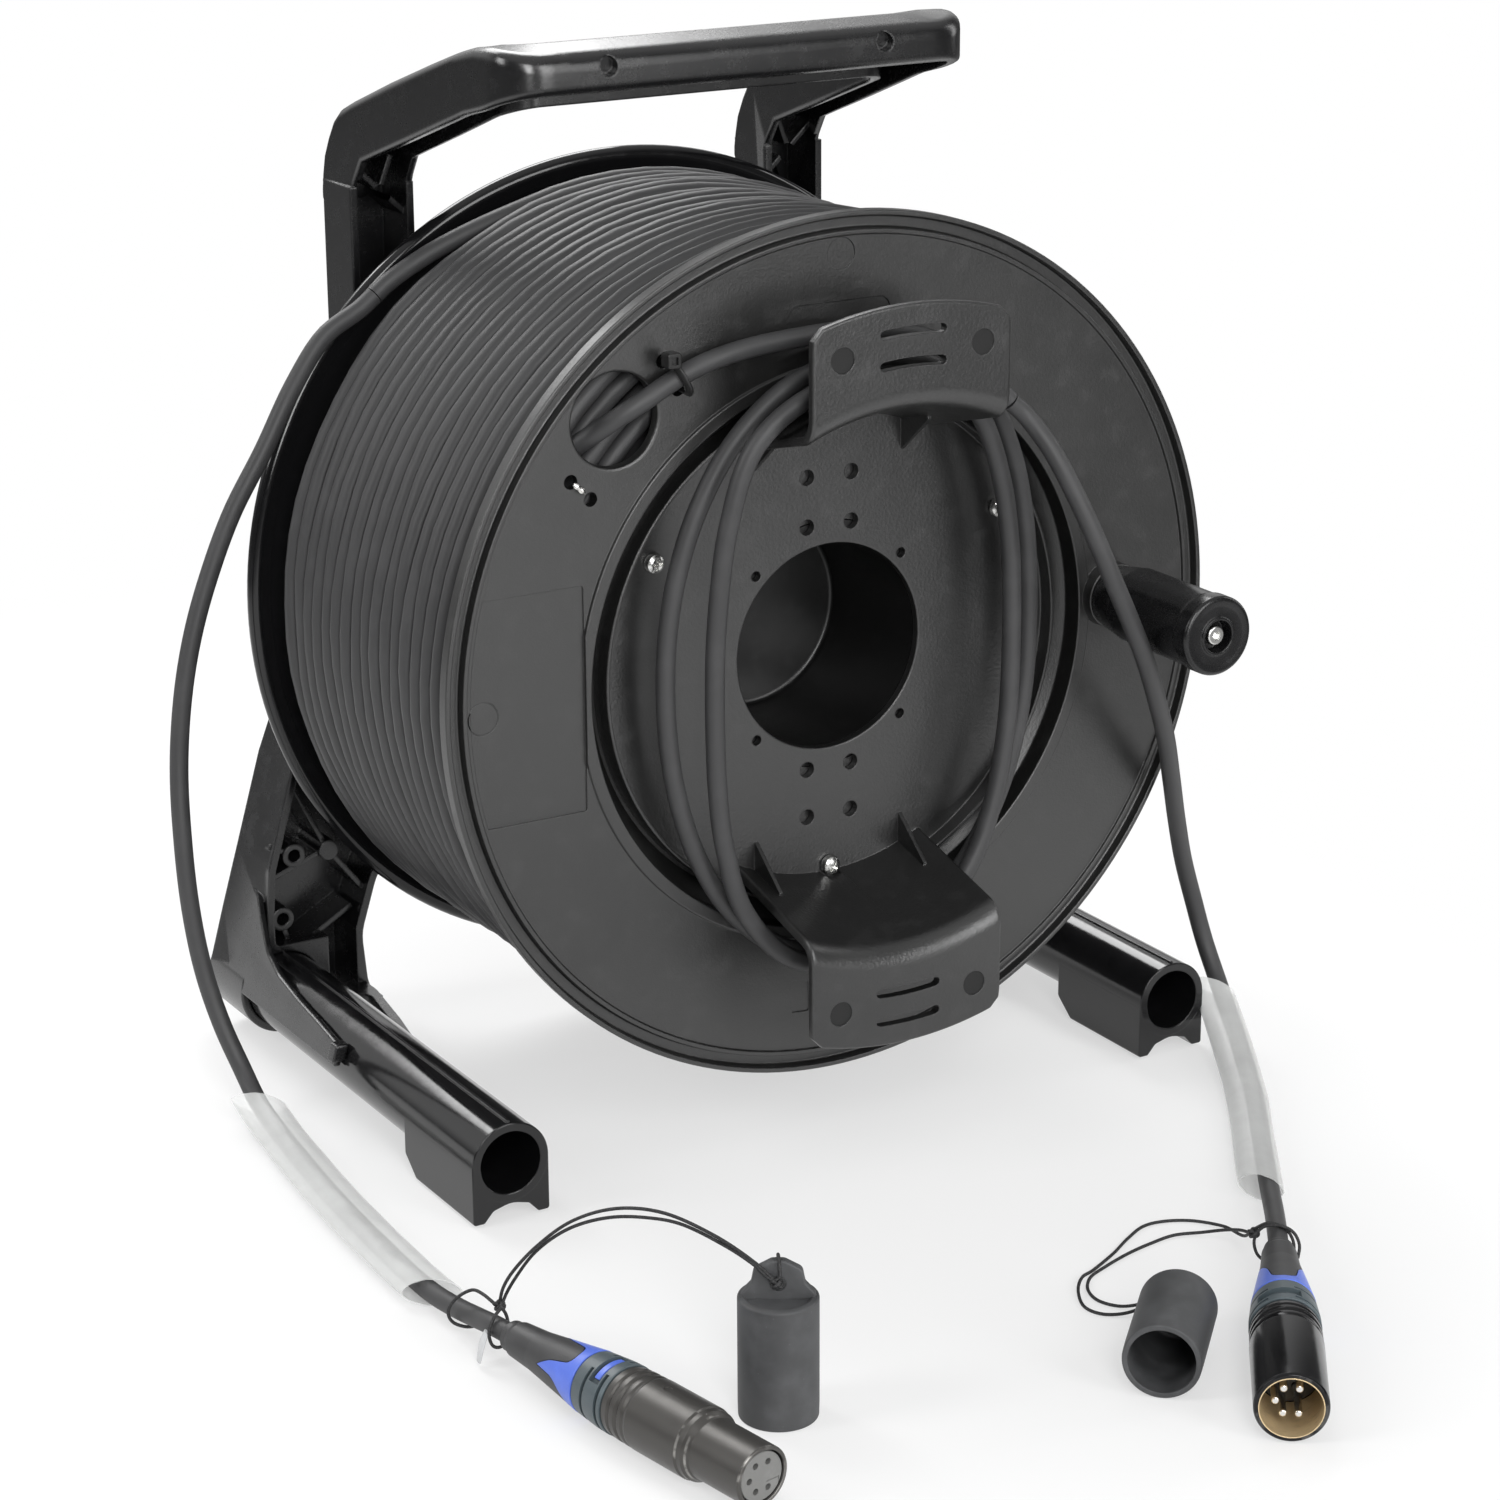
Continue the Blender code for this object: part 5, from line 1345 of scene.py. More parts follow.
@dataclass(frozen=True)
class Winding:
    """The wound cable: its outer layer, the layer that shows between its loops, and the storage wraps."""

    radius: float = 117.2
    turns: int = 17
    front: float = 11.0
    rear: float = 119.5
    steps: int = 72
    uneven: float = 0.42
    side_turns: int = 4
    side_outer: float = 113.0
    side_pitch: float = 5.9
    side_depth: float = 9.8
    side_start: float = 20.0
    core_inner: float = 64.3
    core_radius: float = 112.3
    core_front: float = 14.3
    core_rear: float = 127.3
    core_bump: Spot = (2.6, 2.75)
    tail_turn: float = 21.0
    tail_rise: float = 5.6
    tail_back: float = 2.3
    quarters: tuple[Spot, ...] = (
        (93.8, -8), (60.5, -3), (88.5, -2.9), (60, -3.5), (86.8, -9.8), (50.5, -9.2), (88.5, -9.6),
        (48.5, -10.5), (82.4, -20.5), (84, -20),
    )
    powers: tuple[float, ...] = (2.2, 2.1, 2.1, 2.2, 2.5, 2.4, 2.8, 3.6, 2.0)
    last_angle: float = 22.0
    wrap_steps: int = 24
    way_out: tuple[Place, ...] = (
        (-85.5, 11, AXLE_Z + 62.5), (-81, 9.4, AXLE_Z + 67.3), (-76.6, 4.2, AXLE_Z + 72.2),
        (-72.4, -0.4, AXLE_Z + 76.6), (-66, -3, AXLE_Z + 80.8), (-55.1, -3.2, AXLE_Z + 86.2),
        (-46, -3.6, AXLE_Z + 89.5), (-35.5, -4.6, AXLE_Z + 91.9), (-22, -6.6, AXLE_Z + 93.6),
    )

    @property
    def pitch(self) -> float:
        """The distance from one loop to the next."""
        return (self.rear - self.front) / self.turns

    def build(self) -> None:
        """Make the layers and the wraps."""
        self.outer_layer()
        self.inner_layer()
        self.side_loops()
        self.wraps()

    def outer_layer(self) -> None:
        """An even helix towards the back, each loop a little off its place, whose end rises off the layer."""
        count = self.turns * self.steps
        points = []
        for step in range(count + 1):
            angle = TAIL_ANGLE + (step - count) * 360.0 / self.steps
            depth = self.front + self.pitch * step / self.steps
            seat = at(*around(self.radius, angle, depth))
            off = self.uneven * min(1.0, step / self.steps, (count - step) / self.steps)
            out = 2.2 * off * wrinkle(seat, 30.0, 1.0 + step // self.steps)
            along = 1.6 * off * wrinkle(seat, 55.0, 40.0 + step // self.steps)
            points.append(at(*around(self.radius + out, angle, depth + along)))
        for share in (0.2, 0.4, 0.6, 0.75):
            radius = self.radius + self.tail_rise * share**1.5
            angle = TAIL_ANGLE + self.tail_turn * share
            points.append(at(*around(radius, angle, self.rear + self.tail_back * share)))
        straight = OUTER_WAY * CABLE_D * STRAIGHT * MM
        tail = evenly(spline_through([*points[-5:], OUTER_END - straight, OUTER_END]), 4.0 * MM)
        winding = swept("winding_loops", [*points[:-5], *tail], round_section(CABLE_D), 14)
        fitted(winding, CABLE, Slot.CABLE, Body.DRUM, "winding")

    def inner_layer(self) -> None:
        """The next layer down, whose loops lie under the gaps of the outer one."""
        high, wide = self.core_bump
        bumps = []
        for loop in range(1, self.turns):
            for degrees in range(-80, 81, 20):
                angle = radians(degrees)
                middle = self.front + self.pitch * loop
                bumps.append((self.core_radius + high * cos(angle), middle + wide * sin(angle)))
        front = [(self.core_inner, self.core_front), (self.core_radius, self.core_front)]
        rear = [(self.core_radius, self.core_rear), (self.core_inner, self.core_rear)]
        profile = [*front, *bumps, *rear]
        core = turned("winding_inner_layer", profile, DRUM_AXIS, 120)
        fitted(core, CABLE, Slot.CABLE, Body.DRUM, "winding_core")

    def side_loops(self) -> None:
        """The loops against the front flange, which show in the exit hole."""
        points = []
        for step in range(self.side_turns * self.steps + 1):
            radius = self.side_outer - self.side_pitch * step / self.steps
            angle = self.side_start + step * 360.0 / self.steps
            wave = wrinkle(at(*around(radius, angle)), 40.0, 9.0 + step // self.steps)
            points.append(at(*around(radius + 0.5 * wave, angle, self.side_depth + 0.5 * wave)))
        loops = swept("winding_side_loops", points, round_section(CABLE_D), 14)
        fitted(loops, CABLE, Slot.CABLE, Body.DRUM)

    def wrap_place(self, degrees: float) -> Vector:
        """The place of the storage wraps at an angle counted clockwise from the first top.

        Args:
            degrees: the angle.

        Returns:
            The place, on an oval whose size changes from quarter to quarter.
        """
        quarter = int(degrees // 90)
        share = degrees / 90 - quarter
        here, there = self.quarters[quarter : quarter + 2]
        tall, wide = (here[0], there[0]) if quarter % 2 == 0 else (there[0], here[0])
        power = self.powers[quarter]
        angle = radians(degrees)
        reach = (abs(sin(angle) / wide) ** power + abs(cos(angle) / tall) ** power) ** (-1 / power)
        ease = (1 - cos(pi * share)) / 2
        depth = here[1] + (there[1] - here[1]) * ease
        return at(reach * sin(angle), depth, AXLE_Z + reach * cos(angle))

    def wraps(self) -> None:
        """The cable's inner end: out through the exit hole, twice round the hooks and off the top one."""
        turn = 360.0 / self.wrap_steps
        last = int((720.0 + self.last_angle) // turn)
        loops = [self.wrap_place(step * turn) for step in range(last + 1)]
        straight = INNER_WAY * CABLE_D * STRAIGHT * MM
        places = [*[at(*place) for place in self.way_out], *loops, INNER_END - straight, INNER_END]
        path = evenly(spline_through(places), 3.5 * MM)
        wraps = swept("storage_wraps_cable", path, round_section(CABLE_D), 20)
        fitted(wraps, CABLE, Slot.CABLE, Body.DRUM, "storage_wraps")


# Plugs, caps and lanyards

# Along a plug from its rear: the marking ring's points and its front edge, and the grey ring's front edge.
BLUE_START = 15.6
BLUE_END = 34.2
RING_END = 46.8
# How many degrees from the top the grey ring's mark is, and where the contacts are.
RING_TURN = 13.0
PIN_CIRCLE_R = 3.9
PIN_ANGLES = (-120, -60, 0, 60, 120)


def relief_radius(along: float) -> float:
    """The radius of the bend relief and the marking ring at a distance from the rear."""
    return 3.7 + (8.5 - 3.7) * min(along, BLUE_END) / BLUE_END


def contacts() -> list[tuple[float, float]]:
    """The five contacts' (up, left) places about a plug's axis."""
    angles = [radians(degrees) for degrees in PIN_ANGLES]
    return [(PIN_CIRCLE_R * sin(angle), PIN_CIRCLE_R * cos(angle)) for angle in angles]


@dataclass(frozen=True)
class Plug:
    """What both plugs share: bend relief, forked marking ring, grey ring and a grooved shell."""

    kind: str
    place: Matrix
    length: float
    shell: Finish
    bar: Finish | None = None
    tongue_turn: float = 0.0
    sides: int = 64

    def made(self, name: str, profile: Sequence[Pair], step: float = 20.0) -> Object:
        """A profile turned about the plug's axis."""
        return turned(f"{self.kind}_plug_{name}", profile, self.place, self.sides, step)

    def seats(self, start: float, end: float, radius: float) -> list[Object]:
        """Five cylinders along the plug at the contacts' places, as shapes to cut away.

        Args:
            start: where they start along the plug.
            end: where they end.
            radius: their radius.

        Returns:
            The shapes.
        """
        ends = [((up, left, start), (up, left, end)) for up, left in contacts()]
        return [laid(rod(f"seat_{n}", *pair, radius, 20), self.place) for n, pair in enumerate(ends)]

    def crown(self, name: str, profile: Sequence[Pair], grow: float) -> Object:
        """The marking ring's form, with two points that run back beside the relief's tongue.

        Args:
            name: the shape's name.
            profile: the ring that it is cut from.
            grow: how far its edges are cut back.

        Returns:
            The shape.
        """
        tongue = [
            (-8.6, 12), (-6.6 - grow, 14.6), (-5.6 - grow, 17, 2), (-3.9 - grow, 23, 6),
            (-2.9 - grow, 31 + grow, 2.7),
        ]
        above = prism(name + "_tongue", both_sides(tongue), Axis.X, 0.7, 13.0)
        laid(above, self.place @ spin(self.tongue_turn))
        low = [
            (1.5 + grow, 12), (1.2 + grow, 15.9, 1.4), (0.6 + grow, 26, 6), (-4.9, 30.6 + grow, 6),
            (-13, 31.2 + grow), (-13, 12),
        ]
        below = laid(prism(name + "_below", low, Axis.Y, -13.0, 13.0), self.place)
        return carved(self.made(name, profile), ("DIFFERENCE", [above, below]))

    def rear(self) -> None:
        """The relief with its tongue, the marking ring round it, and the grooved grey ring."""
        start, end = BLUE_START - 1.5, BLUE_END
        body = [
            (0, 0), (3, 0), (4.1, 0, 0.5), (4.2, 2, 0.4), (4.75, 3.4, 0.9), (relief_radius(12), 12, 6),
            (relief_radius(end) - 0.05, end - GAP), (5.9, end), (5.9, RING_END - 1), (0, RING_END - 1),
        ]
        rear_radius, front_radius = relief_radius(start) - 1.9, relief_radius(end) - 2
        room = [(rear_radius, start), (14, start), (14, end + 1), (front_radius, end + 1)]
        boot = carved(self.made("boot", body), ("DIFFERENCE", [self.crown("crown_room", room, -0.12)]))
        fitted(boot, BOOT_RUBBER, Slot.RUBBER, Body.FRAME, f"{self.kind}_boot")
        blue = [
            (relief_radius(start) - 1.6, start), (relief_radius(start) + 0.05, start),
            (relief_radius(end) + 0.05, end, 0.3), (relief_radius(end - 1) - 1.7, end - 0.2),
        ]
        blue_ring = self.crown("marking_ring", blue, 0.12)
        fitted(blue_ring, MARK_BLUE, Slot.BLUE, Body.FRAME, f"{self.kind}_marking_ring")
        ring = [
            (6.3, end + GAP), (8.5, end + GAP, 0.3), (9.25, 42.5, 20), (9.35, RING_END - GAP, 0.3),
            (6.3, RING_END - GAP),
        ]
        cuts = [
            self.groove("groove_rear", 38.2, 39.3, 22.0, -5.0),
            self.groove("groove_front", 44.2, 45.3, 22.0, -5.0),
            self.groove("bar_room", 39.9, 43.7, -38.0, 0.0),
        ]
        grey = carved(self.made("ring", ring), ("DIFFERENCE", cuts))
        fitted(grey, RING_GREY, Slot.RING, Body.FRAME, f"{self.kind}_ring")
        if self.bar is not None:
            bar = self.made("ring_bar", [(7.0, 40.9), (8.75, 40.9, 0.3), (8.75, 42.9, 0.3), (7.0, 42.9)])
            carved(bar, ("INTERSECT", [self.wedge("bar_wedge", 40.0, 43.6, 30.0, 0.0)]))
            fitted(bar, self.bar, Slot.BLUE, Body.FRAME)

    def wedge(self, name: str, start: float, end: float, half: float, turn: float) -> Object:
        """A slice of the space round the plug.

        Args:
            name: the shape's name.
            start: where it starts along the plug.
            end: where it ends.
            half: how many degrees it reaches to each side of its middle.
            turn: how many degrees its middle lies from the grey ring's mark.

        Returns:
            The shape.
        """
        angle = radians(half)
        across, aside = 14 * cos(angle), 14 * sin(angle)
        outline = [(0.0, 0.0), (across, -aside), (15.0, 0.0), (across, aside)]
        return laid(prism(name, outline, Axis.Z, start, end), self.place @ spin(RING_TURN + turn))

    def groove(self, name: str, start: float, end: float, half: float, turn: float) -> Object:
        """A groove round the grey ring, as a shape to cut away.

        Args:
            name: the shape's name.
            start: where it starts along the plug.
            end: where it ends.
            half: how many degrees of a slice to each side are left out or, below 0, are all that is cut.
            turn: how many degrees the slice lies from the ring's mark.

        Returns:
            The shape.
        """
        groove = turned(name, rectangle(7.7, start, 12.0, end), self.place, self.sides)
        wedge = self.wedge(name + "_wedge", start - 1, end + 1, abs(half), turn)
        return carved(groove, ("DIFFERENCE" if half > 0 else "INTERSECT", [wedge]))

    def grooved(self) -> list[tuple[float, ...]]:
        """The shell's outline from the grey ring over its grooves to its body.

        Returns:
            Its corners as (radius, distance along the plug, corner radius).
        """
        return [
            (0, RING_END), (9, RING_END, 0.2), (9.25, RING_END + 2.1, 0.3), (8.65, RING_END + 2.8, 0.3),
            (9.35, RING_END + 3.5, 0.4), (9.35, RING_END + 5, 0.4), (8.7, RING_END + 5.8, 0.4),
            (9.4, RING_END + 6.6, 0.4), (9.4, RING_END + 7.8, 0.3), (9.15, RING_END + 8.6, 0.3),
            (9.5, RING_END + 9.6, 0.5),
        ]


@dataclass(frozen=True)
class SocketPlug(Plug):
    """The plug with five sockets and a sprung latch."""

    def build(self) -> None:
        """Make the plug from rear to face."""
        self.rear()
        outer = [
            *self.grooved(),
            (9.5, 74.9, 0.3), (9.1, 75.5, 0.2), (9.1, 77, 0.4), (7.9, 78.8, 0.4), (7.9, self.length, 0.6),
            (6.8, self.length, 0.2), (6.7, 56), (0, 56),
        ]
        window = laid(block("latch_window", (-2.7, -12.0, 61.7), (2.7, -4.0, 70.3)), self.place)
        dimple = laid(rod("dimple", (9.3, 0.0, 62.0), (13.0, 0.0, 62.0), 1.1, 20), self.place)
        shell = carved(self.made("shell", outer), ("DIFFERENCE", [window, dimple]))
        fitted(shell, self.shell, Slot.SHELL, Body.FRAME, "female_shell")
        insert = self.made("insert", [(0.0, 76.3), (6.4, 76.3), (6.4, 96.3, 0.3), (0.0, 96.3)])
        cuts = self.seats(86.0, 99.0, 0.85)
        cuts.append(laid(block("insert_mark", (-1.9, -5.4, 96.1), (-1.6, -1.4, 97.0)), self.place))
        cuts.append(laid(block("insert_mark_side", (-4.6, -5.4, 96.1), (-1.6, -5.1, 97.0)), self.place))
        carved(insert, ("DIFFERENCE", cuts))
        fitted(insert, INSERT_GREY, Slot.INSERT, Body.FRAME, "female_insert")
        side = [(-10.3, 62.0, 1.2), (-10.3, 70.0, 0.8), (-5.0, 70.0), (-5.0, 62.0)]
        button = laid(prism("female_plug_latch", side, Axis.X, -2.4, 2.4, 0.4), self.place)
        foot = laid(block("latch_foot", (-2.35, -5.8, 60.4), (2.35, -4.7, 71.6)), self.place)
        carved(button, ("UNION", [foot]))
        fitted(button, self.shell, Slot.SHELL, Body.LATCH, "latch_button")


@dataclass(frozen=True)
class PinPlug(Plug):
    """The plug with five pins, whose shell is lined."""

    lining_radius: float = 8.15

    def build(self) -> None:
        """Make the plug from rear to face."""
        self.rear()
        end = self.length - 0.3
        outer = [*self.grooved(), (9.4, end - 0.7, 0.3), (9, end, 0.3), (8.2, end), (8.2, 64), (0, 64)]
        fitted(self.made("shell", outer), self.shell, Slot.SHELL, Body.FRAME, "male_shell")
        wall = [(self.lining_radius, 69.6), (self.lining_radius, end + 0.1), (7.9, end + 0.1), (7.85, 69.6)]
        fitted(self.made("lining", wall), LINING, Slot.STEEL, Body.FRAME)
        insert = self.made("insert", [(0.0, 64.3), (7.9, 64.3), (7.9, 69.5, 0.4), (0.0, 69.5)])
        carved(insert, ("DIFFERENCE", self.seats(66.0, 72.0, 1.3)))
        fitted(insert, INSERT_BLACK, Slot.INSERT, Body.FRAME, "male_insert")
        shape = [(0.0, 66.3), (1.0, 66.3), (1.0, 84.2, 0.75), (0.0, 84.2)]
        for number, (up, left) in enumerate(contacts(), 1):
            place = self.place @ Matrix.Translation(Vector((up, left, 0.0)) * MM)
            pin = turned(f"male_plug_pin_{number}", shape, place, 24, 20.0)
            fitted(pin, SILVER, Slot.SILVER, Body.FRAME, f"pin_{number}")


FEMALE_PLUG = SocketPlug("female", FEMALE, 96.7, PLATED_FEMALE, MARK_BLUE, tongue_turn=20.0)
MALE_PLUG = PinPlug("male", MALE, 87.9, PLATED_MALE)

STANDING_CAP = Matrix.Translation(at(-108.0, -141.2, 0.1))
LYING_TURN = Vector((0.70, 0.714, 0.0)).to_track_quat("Z", "Y").to_matrix().to_4x4()
LYING_CAP = Matrix.Translation(at(-22.5, -184.6, 10.3)) @ LYING_TURN


@dataclass(frozen=True)
class Cap:
    """A rubber cap with a pierced fin on its closed end."""

    name: str
    place: Matrix
    fin_turn: float
    radius: float = 10.2
    wall: float = 1.6
    length: float = 33.0
    fin_half: float = 1.4

    def build(self) -> None:
        """Make the cap."""
        top = self.length
        profile = [
            (0, top - 2.6), (self.radius - self.wall, top - 2.6, 0.8), (self.radius - self.wall, 0, 0.3),
            (self.radius - 0.1, 0, 0.5), (self.radius, 4, 3), (self.radius, top - 0.4, 0.7),
            (self.radius - 1.6, top - 0.1, 0.5), (self.radius - 2.4, top - 0.9, 0.6), (0, top - 0.8),
        ]
        cup = turned(f"{self.name}_rubber", profile, self.place, 72)
        turn = self.place @ spin(self.fin_turn)
        slope = [
            (-9.4, top - 1), (-9.2, top + 0.6, 1), (-6.7, top + 3.4, 1.6), (-6, top + 7, 1.8),
            (-1.6, top + 9.4, 2),
        ]
        plate = laid(prism("fin", both_sides(slope), Axis.X, -self.fin_half, self.fin_half, 0.5), turn)
        hole = laid(rod("fin_hole", (-3.0, 0.0, top + 3.3), (3.0, 0.0, top + 3.3), 2.0, 24), turn)
        carved(cup, ("UNION", [plate]), ("DIFFERENCE", [hole]))
        fitted(cup, RUBBER_BLACK, Slot.RUBBER, Body.FRAME, self.name)


@dataclass(frozen=True)
class Lanyard:
    """A thin cord, doubled between a cable and a cap, with its ends looped round the cable."""

    name: str
    route: tuple[Place, ...]
    knots: tuple[Place, ...]
    diameter: float = 0.9
    knot_diameter: float = 1.05
    knot_radius: float = 0.95
    knot_swing: float = 0.42
    knot_height: float = 0.75

    def build(self) -> None:
        path = evenly(spline_through([at(*place) for place in self.route]), 0.9 * MM)
        cord = swept(f"{self.name}_cord", path, round_section(self.diameter), 10)
        fitted(cord, CORD_BLACK, Slot.LANYARD, Body.FRAME, self.name)
        run_length(path)
        [self.knot(number, place) for number, place in enumerate(self.knots, 1)]
        LOG.info("%s: %.0f mm of cord", self.name, run_length(path) / MM)

    def knot(self, number: int, place: Pair) -> Object:
        """A lumpy trefoil knot.

        Args:
            number: which of the cord's knots it is.
            place: where it is.

        Returns:
            The knot.
        """
        steps = 72
        points = []
        for step in range(steps):
            turn = 2 * pi * step / steps
            reach = self.knot_radius + self.knot_swing * cos(3 * turn)
            off = Vector((reach * cos(2 * turn), reach * sin(2 * turn), self.knot_height * sin(3 * turn)))
            points.append(at(*place) + off * MM)
        knot = swept(f"{self.name}_knot_{number}", points, round_section(self.knot_diameter), 8, closed=True)
        return fitted(knot, CORD_BLACK, Slot.LANYARD, Body.FRAME)


STANDING_LANYARD = Lanyard(
    "standing_lanyard",
    route=(
        (-153, -79.8, 15), (-155.6, -80.6, 13.4), (-158.2, -82, 10), (-157.6, -82.6, 6.4), (-154, -81, 4.6),
        (-150.9, -78.4, 7.2), (-150.6, -76.2, 11.2), (-153, -75, 13.8), (-154, -70.5, 14.8),
        (-154.8, -66.4, 14.4), (-157, -64.6, 13), (-159, -62.8, 10.3), (-159.6, -61.4, 6.9),
        (-158.2, -61.2, 3.8), (-155, -63, 2.4), (-151.6, -67, 4.6), (-150.4, -71.5, 9), (-151.6, -75.2, 13.4),
        (-151.4, -77, 18.4), (-150, -79.6, 23.6), (-145.6, -85.6, 32.6), (-139.5, -93.6, 41.3),
        (-132.5, -104.2, 47.2), (-125.4, -115, 48.6), (-118, -127.2, 45.6), (-113.8, -137, 42.4),
        (-111.6, -142.2, 39.8), (-109.4, -143.4, 36.9), (-108, -141.2, 36.2), (-106.8, -139.2, 37.6),
        (-106.8, -139.2, 41.2), (-107.9, -141, 43.6), (-108.9, -143.4, 41.6), (-109.5, -143.9, 38.6),
        (-111, -143.2, 38.4), (-113.6, -138.9, 41.4), (-116.6, -129.8, 43.6), (-122.8, -119.2, 46.6),
        (-127.6, -111.6, 46.4), (-133.7, -102.4, 44.3), (-140, -92.8, 39), (-145.2, -84.4, 30.6),
        (-148.6, -78.9, 21.6), (-150.6, -76.4, 15.6), (-152.4, -77.6, 13.2),
    ),
    knots=((-109.9, -143.6, 37.4), (-152.4, -76.6, 13.8)),
)
LYING_LANYARD = Lanyard(
    "lying_lanyard",
    route=(
        (50.6, -147.6, 4.8), (51.8, -146.6, 8), (50.8, -145, 11.4), (48, -142.4, 13), (44.8, -139.4, 12),
        (42.8, -138.6, 8.6), (42.6, -140.8, 4.8), (45.4, -144.4, 3.2), (49.2, -146.4, 4.4), (51, -145.2, 8),
        (49.8, -143, 11.8), (46.8, -139.6, 12.9), (43.9, -136.8, 10.6), (46, -130.6, 5.6),
        (49.8, -115.8, 1.6), (45.6, -107.2, 0.7), (38.6, -103.6, 0.7), (32.6, -103.3, 0.7),
        (24, -107.4, 0.7), (15.6, -112.6, 0.7), (4.4, -118.5, 0.9), (-1.6, -121.8, 1.7),
        (-6.6, -127.1, 1.3), (-9.9, -135, 0.7), (-8, -140.6, 0.7), (-2.6, -144.6, 1.6), (1.6, -148.6, 5.4),
        (3.9, -153.2, 9.8), (5.6, -156.2, 12.4), (7.2, -153.2, 12.4), (5.4, -149.2, 8.6),
        (2.2, -144.9, 3.4), (-1.6, -139.6, 0.9), (-4.6, -133.6, 0.7), (-3.4, -127.2, 0.7),
        (1.4, -121.4, 0.7), (8.6, -118.2, 0.7), (19, -114.8, 0.7), (27.3, -113.1, 0.7), (36.1, -112.6, 0.9),
        (42.4, -116.4, 1.7), (44.6, -124, 5), (43.6, -132.6, 8.6), (43.3, -136.4, 9.4),
    ),
    knots=((5.9, -155.6, 12.0), (43.6, -137.2, 9.8)),
)


@dataclass(frozen=True)
class Tag:
    """The small flat end of white film that hangs from the lanyard's loop."""

    places: tuple[Place, ...] = ((-158.2, -80.6, 9.6), (-159.6, -80.2, 5.6), (-160.3, -79.9, 1.5))
    thickness: float = 0.9

    def build(self) -> None:
        """Make the tag, widest below its middle."""
        path = evenly(spline_through([at(*place) for place in self.places]), 0.5 * MM)
        last = len(path) - 1

        def section(index: int, angle: float) -> Spot:
            """A flat oval whose width follows the tag."""
            half = 0.9 + 1.6 * sin(pi * min(1.0, 0.12 + index / last * 0.72))
            return half * cos(angle), self.thickness / 2 * sin(angle)

        tag = swept("knot_tail_tag", path, section, 20)
        fitted(tag, TAG_WHITE, Slot.WHITE, Body.FRAME, "knot_tail")


# The drum

# In x and z: the hole that the cable comes out of, the ties' small holes, the screws and the crank.
EXIT_HOLE = (-71.9, AXLE_Z + 76.0)
TIE_HOLES = ((-57.1, AXLE_Z + 90.3), (-52.6, AXLE_Z + 82.2))
WIRE_HOLES = ((-85.6, AXLE_Z + 60.9), (-79.7, AXLE_Z + 55.4))
SCREW_R = 65.6
SCREW_ANGLES = (30, 150, 270)
KNOB_X = 91.7
KNOB_Z = AXLE_Z + 3.6
CRANK_AXIS = backwards(KNOB_X, KNOB_Z)


def through(name: str, x: float, z: float, radius: float, y: Pair = (-6.0, 20.0), sides: int = 40) -> Object:
    """A round hole parallel to the axle, as a shape to cut away."""
    return rod(name, (x, y[0], z), (x, y[1], z), radius, sides)


